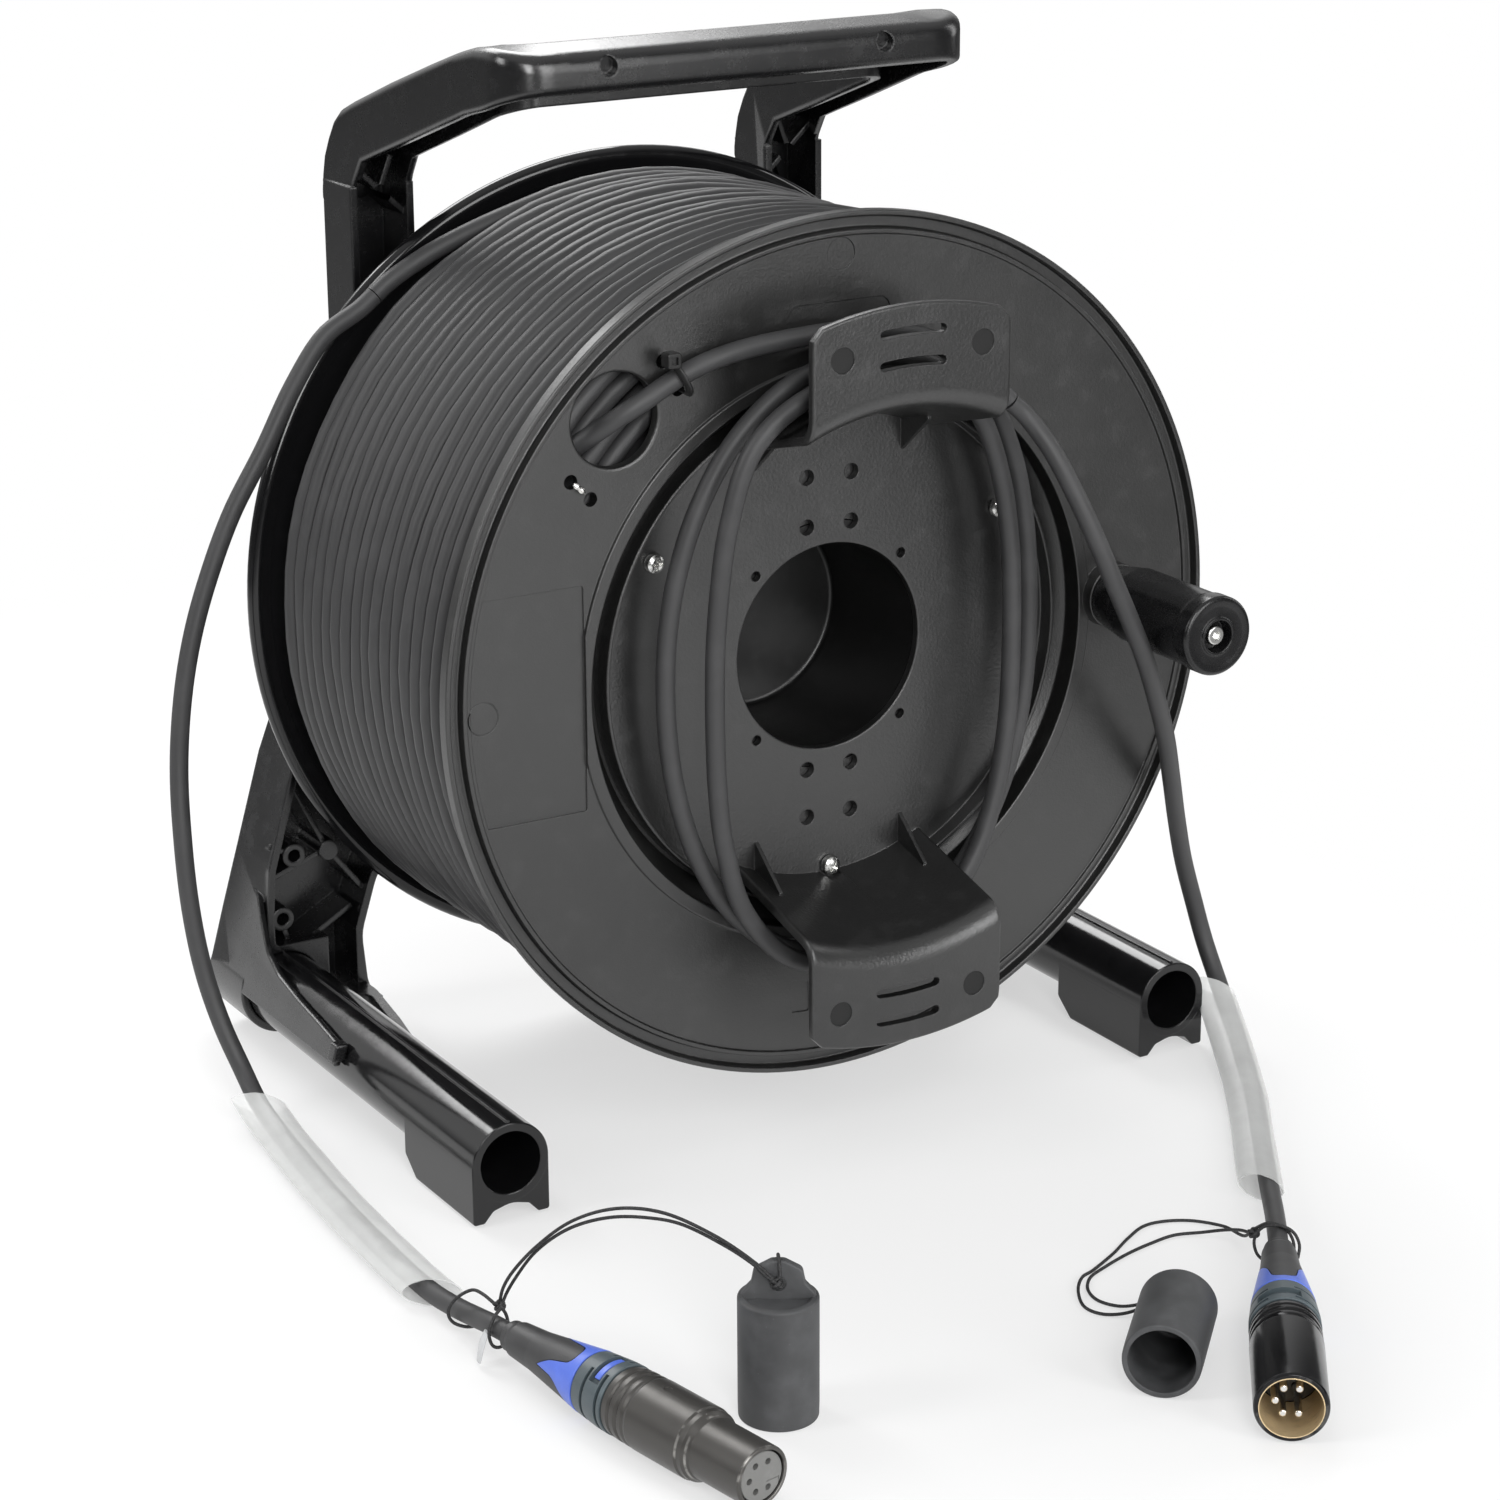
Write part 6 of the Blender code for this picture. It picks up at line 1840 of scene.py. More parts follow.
@dataclass(frozen=True)
class FrontFlange:
    """The disc at the front: grooved rim, step down to the dish, holes, recesses and the crank's boss."""

    sides: int = 180
    face: float = 0.8
    back: float = 4.0
    web: Spot = (11.1, 14.0)

    def build(self) -> None:
        """Make the flange."""
        profile = [
            (125, 0, 0.5), (125, self.back, 0.5), (84, self.back), (84, self.web[1]), (36.3, self.web[1]),
            (36.3, self.web[0]), (75.4, self.web[0]), (80.7, 6.5, 1), (80.7, 0, 0.5), (84.3, 0, 0.5),
            (84.7, self.face, 0.2), (118.3, self.face, 0.2), (118.6, 0, 0.2), (119.8, 0, 0.4),
            (120.1, 2.8, 0.6), (123.2, 2.8, 0.6), (123.5, 0, 0.4),
        ]
        disc = turned("front_flange_disc", profile, DRUM_AXIS, self.sides)
        collar = [(7.0, -3.6, 0.3), (9.6, -3.6, 0.5), (9.8, 1.4), (7.0, 1.4)]
        boss = turned("crank_boss", collar, CRANK_AXIS, 64)
        funnel = [(0.0, -3.0), (14.6, -3.0), (14.0, 0.8), (13.3, 1.2), (13.0, 1.8), (13.0, 9.0), (0.0, 9.0)]
        exit_hole = turned("exit_hole", funnel, backwards(*EXIT_HOLE), 64)
        carved(disc, ("UNION", [boss]), ("DIFFERENCE", [exit_hole, *self.recesses(), *self.holes()]))
        fitted(disc, FLANGE_SATIN, Slot.SATIN, Body.DRUM, "front_flange")

    def holes(self) -> list[Object]:
        """The holes through the disc.

        Returns:
            The shapes to cut away.
        """
        shapes = [through("crank_well", KNOB_X, KNOB_Z, 8.0, (-5.0, self.face))]
        shapes.append(through("pin_hole", KNOB_X, KNOB_Z, 4.3, (-2.0, 6.0)))
        for number, (x, z) in enumerate((*TIE_HOLES, *WIRE_HOLES)):
            shapes.append(through(f"tie_hole_{number}", x, z, 2.0, (-3.0, 8.0), 24))
        for degrees in SCREW_ANGLES:
            x, _, z = around(SCREW_R, degrees)
            shapes.append(through(f"web_hole_{degrees}", x, z, 1.8, (9.0, 17.0), 24))
        return shapes

    def recesses(self) -> list[Object]:
        """The bare label recess, the bare bar, two round marks and a small oblong one.

        Returns:
            The shapes to cut away.
        """
        label = [
            (-82.5, AXLE_Z - 32, 1), (-82.5, AXLE_Z + 32, 1),
            *[around(117.2, 164.2 + 31.6 * step / 16)[::2] for step in range(17)],
        ]
        bar = rectangle(-18.0, AXLE_Z + 92.6, 15.0, AXLE_Z + 100.5, 3.6)
        oblong = [
            (-17.5, AXLE_Z - 95.8, 0.8), (-11.6, AXLE_Z - 96.6, 0.8), (-11.4, AXLE_Z - 106.1, 0.8),
            (-17.3, AXLE_Z - 105.6, 0.8),
        ]
        low = self.face
        return [
            prism("label_recess", label, Axis.Y, -1.0, low + 0.5),
            prism("bar_recess", bar, Axis.Y, -1.0, low + 0.4),
            prism("oblong_recess", oblong, Axis.Y, -1.0, low + 0.25),
            through("ejector_mark", -1.0, AXLE_Z + 113.6, 4.4, (-1.0, low + 0.35)),
            self.ring_mark("label_mark", -113.4, AXLE_Z - 0.5, 4.7, low + 0.62),
        ]

    def ring_mark(self, name: str, x: float, z: float, radius: float, depth: float) -> Object:
        """A fine round groove, as a shape to cut away."""
        return turned(name, rectangle(radius - 0.3, -1.0, radius, depth), backwards(x, z), 48)


@dataclass(frozen=True)
class RearFlange:
    """The gloss disc at the back, with its round bead and its bearing sleeve."""

    inner_face: float = 127.0
    sides: int = 180

    def build(self) -> None:
        """Make the disc."""
        face = self.inner_face
        bead = []
        for degrees in range(-120, 121, 20):
            angle = radians(degrees)
            bead.append((122.3 + 2.7 * cos(angle), face + 2.6 + 2.6 * sin(angle)))
        profile = [
            *bead, (119, face + 3.4, 0.8), (18, face + 3.4, 0.6), (18, face + 7.4, 0.4),
            (10.3, face + 7.4, 0.3), (10.3, 110, 0.3), (16, 110, 0.5), (16, face + 0.6, 0.5),
            (119, face + 0.6, 0.8),
        ]
        disc = turned("rear_flange_disc", profile, DRUM_AXIS, self.sides)
        fitted(disc, FLANGE_GLOSS, Slot.GLOSS, Body.DRUM, "rear_flange")


@dataclass(frozen=True)
class HubCup:
    """The deep round cup in the middle of the drum's face."""

    bore: float = 30.0
    depth: float = 54.0

    def build(self) -> None:
        """Make the cup."""
        profile = [
            (0, self.depth), (self.bore - 0.4, self.depth, 1.5), (self.bore, 11.1), (36, 11.1), (36, 13.6),
            (32.4, 13.6), (32.4, self.depth + 2.4, 1.5), (0, self.depth + 2.4),
        ]
        fitted(turned("hub_cup_shell", profile, DRUM_AXIS, 96), CUP_BLACK, Slot.SATIN, Body.DRUM, "hub_cup")


@dataclass(frozen=True)
class Bracket:
    """The round dish on the drum's face, with a hook at the top and one at the bottom, and its screws."""

    dish_y: float = 8.3
    dish_r: float = 74.4
    half_width: float = 31.5
    lip_y: float = -32.6
    lip_end: float = 105.8
    thickness: float = 2.8
    corner: float = 3.4
    edge: float = 0.9
    bend_end: float = -30.0
    columns: int = 40
    slot_radii: Spot = (90.0, 98.5)
    slot_half_height: float = 1.3
    slot_half_length: float = 10.6
    pads_at: Spot = (22.3, 92.8)

    def build(self) -> None:
        """Make the bracket in one piece, and its three screws."""
        profile = [
            (30, self.dish_y, 0.5), (73, self.dish_y, 0.4), (73.3, 3.6, 0.3), (self.dish_r, 3.6, 0.5),
            (self.dish_r, 10.8), (30, 10.8),
        ]
        dish = turned("bracket_dish", profile, DRUM_AXIS, 160)
        hooks = [self.hook(1), self.hook(-1)]
        gussets = [self.gusset(side, up) for side in (-1, 1) for up in (-1, 1)]
        carved(dish, ("UNION", [*hooks, *gussets]), ("DIFFERENCE", [*self.holes(), *self.marks()]))
        fitted(dish, HOOK_SATIN, Slot.SATIN, Body.DRUM, "winding_bracket")
        self.pads()
        for number, degrees in enumerate(SCREW_ANGLES, 1):
            self.screw(number, degrees)

    def line(self) -> list[Vector]:
        """The middle line of a hook's section: shelf, bend and lip.

        Returns:
            Close points as (radius, y).
        """
        shelf_start, bend, end = (68.6, 9.4), (78.5, self.lip_y, 5.6), (self.lip_end, self.lip_y)
        corners = rounded([shelf_start, bend, end], 12.0)
        line = []
        for before, after in zip(corners, corners[1:]):
            steps = max(1, round((after - before).length / 2.2))
            line.extend(before.lerp(after, step / steps) for step in range(steps))
        return [*line, corners[-1]]

    def hook(self, up: int) -> Object:
        """One storage hook, curved round the axle, with rounded edges.

        Args:
            up: 1 for the hook at the top, -1 for the one at the bottom.

        Returns:
            The hook.
        """
        work = bmesh.new()
        rows = []
        for point in self.line():
            from_end = self.lip_end - point.x
            cut = max(0.0, self.corner - from_end) if point.y < self.bend_end else 0.0
            half = self.half_width - self.corner + sqrt(max(self.corner**2 - cut**2, 0.0))
            row = []
            for column in range(self.columns + 1):
                x = half * (2 * column / self.columns - 1)
                row.append(work.verts.new(at(x, point.y, AXLE_Z + up * sqrt(point.x**2 - x**2))))
            rows.append(row)
        for one, two in zip(rows, rows[1:]):
            for column in range(self.columns):
                face = (one[column], one[column + 1], two[column + 1], two[column])
                work.faces.new(face if up > 0 else face[::-1])
        hook = as_worked("hook_top" if up > 0 else "hook_bottom", work)
        wall = hook.modifiers.new("Wall", "SOLIDIFY")
        wall.thickness = self.thickness * MM
        wall.offset = 0.0
        wall.use_even_offset = True
        bevel = hook.modifiers.new("Edges", "BEVEL")
        bevel.width = self.edge * MM
        bevel.segments = 3
        bevel.limit_method = "ANGLE"
        bevel.angle_limit = radians(50)
        return baked(hook, 0.01)

    def gusset(self, side: int, up: int) -> Object:
        """A thin three-cornered plate under a hook's shelf.

        Args:
            side: 1 for the right one, -1 for the left one.
            up: 1 for the hook at the top, -1 for the one at the bottom.

        Returns:
            The plate.
        """
        outline = [
            (9.6, AXLE_Z + up * 54.3), (self.dish_y - 0.1, AXLE_Z + up * 54.3), (-5.4, AXLE_Z + up * 65.6),
            (-4.6, AXLE_Z + up * 69), (9.6, AXLE_Z + up * 66),
        ]
        return prism(f"gusset_{side}_{up}", outline, Axis.X, side * 24.3 - 0.6, side * 24.3 + 0.6)

    def slot(self, radius: float, up: int) -> Object:
        """A round-ended slot along the lip, as a shape to cut away.

        Args:
            radius: how far it is from the axle.
            up: 1 for the hook at the top, -1 for the one at the bottom.

        Returns:
            The shape.
        """
        half_height = self.slot_half_height
        lean = asin((self.slot_half_length - half_height) / radius)
        outline = []
        for side, way in ((1.0, 1), (-1.0, -1)):
            for step in range(-6, 7):
                angle = way * lean * step / 6
                reach = radius + side * half_height
                outline.append((reach * sin(angle), AXLE_Z + up * reach * cos(angle)))
            end = way * lean
            for degrees in (45, 90, 135):
                turn = radians(degrees)
                reach = radius + side * half_height * cos(turn)
                along = way * half_height * sin(turn)
                x = reach * sin(end) + along * cos(end)
                z = reach * cos(end) - along * sin(end)
                outline.append((x, AXLE_Z + up * z))
        return prism(f"slot_{radius:.0f}_{up}", outline, Axis.Y, -36.0, -28.0)

    def marks(self) -> list[Object]:
        """Slots in the lips, and the shallow round marks of the mould on them.

        Returns:
            The shapes to cut away.
        """
        x, z = self.pads_at
        shapes = []
        for up in (-1, 1):
            shapes.extend(self.slot(radius, up) for radius in self.slot_radii)
            for side in (-1, 1):
                name = f"lip_mark_{side}_{up}"
                shapes.append(through(name, side * x, AXLE_Z + up * z, 3.6, (-36.0, -33.6), 40))
        return shapes

    def pads(self) -> None:
        """The dull round faces in the lips' marks, darker than the lips: painted shade in the marks."""
        for up in (-1, 1):
            for side in (-1, 1):
                x, z = side * self.pads_at[0], AXLE_Z + up * self.pads_at[1]
                pad = rod(f"lip_pad_{side}_{up}".replace("-", "m"), (x, -33.3, z), (x, -33.7, z), 3.55, 40)
                fitted(pad, PAD_BLACK, Slot.SATIN, Body.DRUM)

    def holes(self) -> list[Object]:
        """The holes in the dish, with room round the screws' heads.

        Returns:
            The shapes to cut away.
        """
        shapes = []
        for degrees in SCREW_ANGLES:
            x, _, z = around(SCREW_R, degrees)
            shapes.append(through(f"screw_hole_{degrees}", x, z, 1.8, (5.0, 14.0), 24))
            shapes.append(through(f"screw_room_{degrees}", x, z, 3.6, (1.0, self.dish_y), 32))
        rows = ((7.3, (-50.0, -35.7, 35.7, 50.0), 2.3, 32), (24.0, (-24.0, 24.0), 1.5, 24))
        for aside, heights, radius, sides in rows:
            for x in (-aside, aside):
                for height in heights:
                    name = f"dish_hole_{x}_{height}"
                    shapes.append(through(name, x, AXLE_Z + height, radius, (5.0, 14.0), sides))
        return shapes

    def screw(self, number: int, degrees: float) -> None:
        """A pan-head screw with a cross recess.

        Args:
            number: which of the three it is.
            degrees: where it is round the dish.
        """
        x, _, z = around(SCREW_R, degrees)
        place = backwards(x, z)
        profile = [
            (0, 5.5), (1.6, 5.65, 1), (2.7, 6.4, 0.8), (3, 7.6, 0.3), (2.9, 8), (1.4, 8), (1.4, 13.8),
            (0, 13.8),
        ]
        screw = turned(f"bracket_screw_{number}_head", profile, place, 40)
        turn = place @ spin(20.0 + 35.0 * number)
        arms = ((1.7, 0.35), (0.35, 1.7))
        cross = [laid(block("cross", (-x, -y, 4.0), (x, y, 6.9)), turn) for x, y in arms]
        carved(screw, ("DIFFERENCE", cross))
        fitted(screw, ZINC, Slot.ZINC, Body.DRUM, f"bracket_screw_{number}")


@dataclass(frozen=True)
class Ties:
    """The cable tie at the exit hole, and the metal bead between the two small holes."""

    strap_half_width: float = 1.15
    strap_half_height: float = 0.5
    bead: float = 0.85

    def build(self) -> None:
        """Make both ties."""
        (x1, z1), (x2, z2) = TIE_HOLES
        over = ((0.8, -6.9), (0.5, -7.6), (0.2, -6.9))
        places = [
            (x1, 5.4, z1), (x1, 0, z1), (x1 - 0.1, -4.6, z1 + 0.2),
            *[(x1 * near + x2 * (1 - near), y, z1 * near + z2 * (1 - near)) for near, y in over],
            (x2 + 0.1, -4.6, z2 - 0.2), (x2, 0, z2), (x2, 5.4, z2),
        ]
        path = evenly(spline_through([at(*place) for place in places]), 0.9 * MM)

        def flat(index: int, angle: float) -> Spot:
            """A flat strap with rounded edges."""
            squared = [copysign(abs(part) ** 0.5, part) for part in (cos(angle), sin(angle))]
            return squared[0] * self.strap_half_height, squared[1] * self.strap_half_width

        strap = swept("cable_tie_strap", path, flat, 20)
        fitted(strap, TIE_BLACK, Slot.SATIN, Body.DRUM, "cable_tie")
        outline = rectangle(x1 - 3.2, z1 - 0.4, x1 + 0.9, z1 + 3.8, 0.8)
        head = prism("cable_tie_head", outline, Axis.Y, -8.0, -3.7, 0.4)
        gate = block("tie_gate", (x1 - 2.0, -9.0, z1 + 0.7), (x1 - 0.2, -7.2, z1 + 2.7))
        fitted(carved(head, ("DIFFERENCE", [gate])), TIE_BLACK, Slot.SATIN, Body.DRUM)
        (x1, z1), (x2, z2) = WIRE_HOLES
        start, end = Vector((x1, -0.4, z1)), Vector((x2, -0.4, z2))
        steps = 20
        shares = [0.02 + 0.56 * step / steps for step in range(steps + 1)]

        def beads(index: int, angle: float) -> Spot:
            """Two beads that run into each other, closed at both ends.

            Args:
                index: the number of the point along the beads.
                angle: the angle round them.

            Returns:
                The place across and up.
            """
            share = index / steps
            waist = 0.82 + 0.18 * cos(4 * pi * (share - 0.25))
            ends = sin(pi * min(max(share, 0.03), 0.97)) ** 0.35
            radius = 0.25 + self.bead * waist * ends
            return radius * cos(angle), radius * sin(angle)

        bead = swept("wire_tie_bead", [at(*start.lerp(end, share)) for share in shares], beads, 20)
        fitted(bead, SILVER, Slot.SILVER, Body.DRUM, "wire_tie")


@dataclass(frozen=True)
class Crank:
    """The crank's knob and the socket screw in its end."""

    radius: float = 11.6
    end: float = -52.0

    def build(self) -> None:
        """Make the knob and its screw."""
        knob = [
            (4.3, -3.9), (4.3, -45), (2.3, -45), (2.3, -47.4), (4.7, -47.4, 0.4), (4.7, self.end, 0.3),
            (5.5, self.end, 0.3), (5.8, self.end + 0.6, 0.3), (8.6, self.end + 0.5, 2),
            (self.radius, self.end, 2.6), (self.radius, -46.5, 1.5), (self.radius - 0.5, -45, 1.5),
            (self.radius - 0.5, -14.6, 3), (9.3, -3.9, 0.5),
        ]
        grip = turned("crank_knob_grip", knob, CRANK_AXIS, 80)
        fitted(grip, KNOB_BLACK, Slot.GLOSS, Body.KNOB, "crank_knob")
        screw = [(0, -50.9), (2.8, -50.9, 0.6), (3.1, -47.6, 0.3), (1.9, -47.6), (1.9, -38), (0, -38)]
        head = turned("knob_screw_head", screw, CRANK_AXIS, 40)
        socket = turned("hex_socket", rectangle(0.0, -53.0, 1.45, -49.0), CRANK_AXIS, 6)
        fitted(carved(head, ("DIFFERENCE", [socket])), ZINC, Slot.ZINC, Body.DRUM, "knob_screw")


# The frame

# The mouldings' front and rear, the posts' outer and inner sides, and the foot tubes' axes.
FRONT = 142.7
REAR = 161.6
POST_OUT = 81.2
POST_IN = 60.5
FOOT_X = 113.3
FOOT_Z = 17.4


@dataclass(frozen=True)
class Handle:
    """The right half of the moulded handle: an arm forward from the post, a corner and half of the grip."""

    out_line: tuple[Spot, ...] = ((POST_OUT, REAR), (75.6, 50.2))
    corner_out: float = 13.0
    corner_in: float = 9.0
    grip_front: float = 50.2
    grip_back: float = 77.0
    top: tuple[Spot, ...] = (
        (REAR, 262), (160.6, 269.5), (158.4, 274.6), (153.7, 281.3), (150.4, 284.1), (142.5, 287.3),
        (119.8, 295.4), (97.4, 302.8), (80.3, 308.2), (70, 310.9), (62, 311.6), (55, 310.6), (50.2, 309.2),
    )
    low: tuple[Spot, ...] = (
        (REAR, 255), (144.5, 255.5), (141, 268.8), (128.5, 273.2), (113.4, 278.3), (98.6, 283.5),
        (84.2, 288.6), (77, 291.2), (65, 294.2), (56.5, 297), (50.2, 299),
    )
    edge: float = 4.6
    foot_edge: float = 1.8
    crest_edge: float = 0.6
    arm_places: tuple[float, ...] = (
        REAR, 161.0, 159.6, 157.0, 153.7, 150.0, 146.0, 142.5, 138.0, 130.0, 120.0, 108.0, 97.0,
    )
    grip_places: tuple[float, ...] = (42.0, 32.0, 22.0, 12.0, 4.0, -2.0)

    @staticmethod
    def read(line: Sequence[Pair], y: float) -> float:
        """The height of a line at y.

        Args:
            line: its (y, z) places, from the back forwards.
            y: where it is asked for.

        Returns:
            The z there, or that of the line's nearer end.
        """
        for (y0, z0), (y1, z1) in zip(line, line[1:]):
            if y1 <= y <= y0:
                return z0 + (z1 - z0) * (y0 - y) / (y0 - y1)
        return line[-1][1] if y < line[-1][0] else line[0][1]

    def stations(self) -> list[tuple[Vector, Vector]]:
        """The plan of the handle, from the back of the arm to the middle of the grip.

        Returns:
            Pairs of an outer and an inner place.
        """
        (back_x, back_y), (front_x, front_y) = self.out_line
        lean = (back_x - front_x) / (back_y - front_y)

        def outer_x(y: float) -> float:
            """The outer side's x at y."""
            return back_x - lean * (back_y - y)

        pairs = []
        corner_y = self.grip_back + self.corner_in
        for y in (*self.arm_places, corner_y):
            pairs.append((Vector((outer_x(y), y)), Vector((POST_IN, y))))
        front = self.grip_front
        bend = (outer_x(front), front, self.corner_out)
        outline = [(outer_x(corner_y), corner_y), bend, (POST_IN - self.corner_in, front), (0.0, corner_y)]
        outside = evenly([Vector((*p, 0.0)) for p in rounded(outline, 6.0)[:-1]], 3.2)
        middle = Vector((POST_IN - self.corner_in, corner_y))
        for step, place in enumerate(outside[1:], 1):
            angle = radians(90.0 * step / (len(outside) - 1))
            pairs.append((place.xy, middle + Vector((cos(angle), -sin(angle))) * self.corner_in))
        for x in self.grip_places:
            pairs.append((Vector((x, front)), Vector((x, self.grip_back))))
        return pairs

    def build(self) -> Object:
        """Loft the rounded sections into the solid half.

        Returns:
            The half of the handle.
        """
        sections = []
        for outer, inner in self.stations():
            across = inner - outer
            wide = across.length
            unit = across.normalized()
            corners = [
                (0, self.read(self.low, outer.y), self.foot_edge),
                (0, self.read(self.top, outer.y), self.edge),
                (0.45 * wide, self.read(self.top, (outer.y + inner.y) / 2), self.crest_edge),
                (wide, self.read(self.top, inner.y), self.edge),
                (wide, self.read(self.low, inner.y), self.foot_edge),
            ]
            sections.append([at(*(outer + unit * p.x), p.y) for p in self.section(corners)])
        return smoothed(lofted("handle", sections), 40.0)

    @staticmethod
    def section(corners: Sequence[Pair], arc: int = 6) -> list[Vector]:
        """A section with rounded corners and the same number of points at every station.

        Args:
            corners: (across, up, corner radius) of each corner.
            arc: the number of steps in a rounded corner.

        Returns:
            The points in order.
        """
        points = []
        count = len(corners)
        for index, corner in enumerate(corners):
            place = Vector(corner[:2])
            before = Vector(corners[index - 1][:2]) - place
            after = Vector(corners[(index + 1) % count][:2]) - place
            cut = min(corner[2], 0.45 * before.length, 0.45 * after.length)
            first, last = place + before.normalized() * cut, place + after.normalized() * cut
            for step in range(arc + 1):
                t = step / arc
                points.append(first * (1 - t) ** 2 + place * 2 * t * (1 - t) + last * t**2)
        return points


RIBS = (
    ((79.6, 268.5), (61.6, 252), 145), ((66.5, 270), (79.6, 236), 145.2), ((61.6, 232), (79.6, 214), 145.1),
    ((14, AXLE_Z + 14), (63, 200), 146), ((12, AXLE_Z + 1), (91.4, AXLE_Z + 1), 146.1),
    ((12, AXLE_Z - 13), (80, 60), 146.2), ((14, AXLE_Z - 8), (107.5, 84), 146.3),
    ((0, AXLE_Z + 15), (0, 195), 146.4), ((0, AXLE_Z - 15), (0, 96), 146.4), ((96.3, 59.1), (108, 84), 145),
    ((96.3, 59.1), (84.6, 44), 145.2), ((96.3, 59.1), (116.2, 52), 145.4),
    ((107.7, 59.2), (115.4, 63.2), 144.9), ((112.4, 39.4), (109.2, 29.6), 146.8),
    ((103.2, 30), (88, 38.5), 147),
)


@dataclass(frozen=True)
class BackFrame:
    """Posts, legs, web, hub, handle and gussets, moulded in one: an open-front tray with ribs."""

    wall: float = 2.4
    outline: tuple[Pair, ...] = (
        (-2, 95.8), (24, 93.4, 40), (48, 84, 30), (70, 65.5, 26), (81.1, 47.3, 20), (86.6, 30, 16),
        (85.2, 14.5, 10), (81.5, 2.5), (106, 2.5), (118.2, 14), (118.2, 41.8, 8), (117, 56, 10),
        (108.9, 83.9, 14), (POST_OUT, 186, 30), (POST_OUT, 262), (POST_IN, 262), (POST_IN, 207, 10),
        (48, 199, 10), (-2, 196),
    )
    pocket: tuple[Pair, ...] = (
        (-4, 98.3), (25, 95.8, 40), (50, 86, 30), (72, 67, 26), (83.5, 48, 18), (89, 31.5, 2),
        (115.8, 31.5, 2), (115.8, 41.8, 8), (114.6, 56, 8), (106.5, 83.2, 12),
        (POST_OUT - wall, 185.6, 28), (POST_OUT - wall, 264), (POST_IN + wall, 264),
        (POST_IN + wall, 205.6, 10), (49.2, 196.7, 10), (-4, 193.6),
    )

    def build(self) -> None:
        """Make the right half, mirror it and dress it."""
        half = prism("back_frame_moulding", self.outline, Axis.Y, FRONT, REAR, 0.5)
        ring = [(0.0, FRONT + 0.3), (14.4, FRONT + 0.3, 0.6), (14.4, 168.5, 0.8), (0.0, 168.5)]
        socket = turned("foot_socket", ring, backwards(FOOT_X, FOOT_Z), 64)
        sole = [(80.0, 0.0, 1.0), (107.0, 0.0, 1.0), (107.0, 7.5), (80.0, 7.5)]
        pad = prism("rear_pad", sole, Axis.Y, FRONT + 0.6, 168.0, 0.6)
        post = [(0.0, 136.7), (24.0, 136.7, 1.2), (24.0, REAR - 0.2), (0.0, REAR - 0.2)]
        hub = turned("frame_hub", post, DRUM_AXIS, 72)
        ribs = [self.rib(number, *line) for number, line in enumerate(RIBS)]
        carved(
            half,
            ("UNION", [Handle().build(), self.flare(), socket, pad]),
            ("DIFFERENCE", [self.tray(), self.handle_hollow(), self.toe_hollow()]),
            ("UNION", [hub, *ribs, *self.bosses(), self.outer_gusset(), self.inner_gusset()]),
            ("DIFFERENCE", self.bores()),
        )
        self.mirrored(half)
        fitted(half, FRAME_BLACK, Slot.GLOSS, Body.FRAME, "back_frame")

    def tray(self) -> Object:
        """The hollow behind the open front of the posts, legs and web."""
        return prism("tray_hollow", self.pocket, Axis.Y, FRONT - 1, REAR - self.wall)

    def toe_hollow(self) -> Object:
        """The hollow beside the foot's socket."""
        return block("toe_hollow", (88.8, FRONT - 1, 10.0), (98.2, REAR - self.wall, 33.0))

    def handle_hollow(self) -> Object:
        """The hollow under the handle, from the post to the middle of the grip.

        Returns:
            The shape to cut away.
        """
        side = [
            (159.2, 250), (159.2, 266.6, 12), (152.8, 280.6, 8), (79.4, 305.2, 10), (64, 308.8, 6),
            (54.6, 306.4, 3), (54.2, 285), (140, 250),
        ]
        plan = [
            (-4, 53.6), (72.2, 53.6, 9), (POST_OUT - self.wall, 161), (POST_IN + self.wall, 161),
            (POST_IN + self.wall, 74.4, 9), (-4, 74.4),
        ]
        hollow = prism("handle_hollow", side, Axis.X, -4.0, 90.0)
        above = prism("handle_hollow_plan", plan, Axis.Z, 240.0, 320.0)
        return carved(hollow, ("INTERSECT", [above]))

    def rib(self, number: int, start: Pair, end: Pair, front: float) -> Object:
        """A thin upright rib on the rear wall.

        Args:
            number: which of the ribs it is.
            start: the (x, z) place of one end.
            end: the (x, z) place of the other end.
            front: how far forward it reaches.

        Returns:
            The rib.
        """
        first, last = Vector(start), Vector(end)
        along = (last - first).normalized()
        side = Vector((-along.y, along.x)) * 0.8
        outline = [tuple(first + side), tuple(first - side), tuple(last - side), tuple(last + side)]
        return prism(f"rib_{number}", outline, Axis.Y, front, REAR - 0.5 - 0.1 * number)

    def bosses(self) -> list[Object]:
        """The round bosses in the posts and legs.

        Returns:
            The bosses.
        """
        places = (
            (70, 258.5, 143.6, 3), (96.3, 59.1, 143.6, 3.2),
            (107.7, 59.2, 144.2, 3.7), (112.4, 39.4, 144.2, 3.7),
        )
        bosses = []
        for number, (x, z, y, radius) in enumerate(places):
            bosses.append(rod(f"boss_{number}", (x, y, z), (x, REAR - 0.42 + 0.05 * number, z), radius, 32))
        return bosses

    def bores(self) -> list[Object]:
        """The holes of the bosses, the grip's dimple, the axle's bore and the foot tube's bore.

        Returns:
            The shapes to cut away.
        """
        return [
            rod("boss_bore_1", (107.7, 140.0, 59.2), (107.7, 156.0, 59.2), 2.0, 24),
            rod("boss_bore_2", (112.4, 140.0, 39.4), (112.4, 156.0, 39.4), 2.0, 24),
            rod("grip_dimple", (44.8, 45.0, 305.0), (44.8, 53.0, 305.6), 2.7, 32),
            rod("axle_bore", (0, 130.0, AXLE_Z), (0, 170.0, AXLE_Z), 10.3, 48),
            rod("foot_bore", (FOOT_X, 60.0, FOOT_Z), (FOOT_X, 165.3, FOOT_Z), 12.1, 64),
        ]

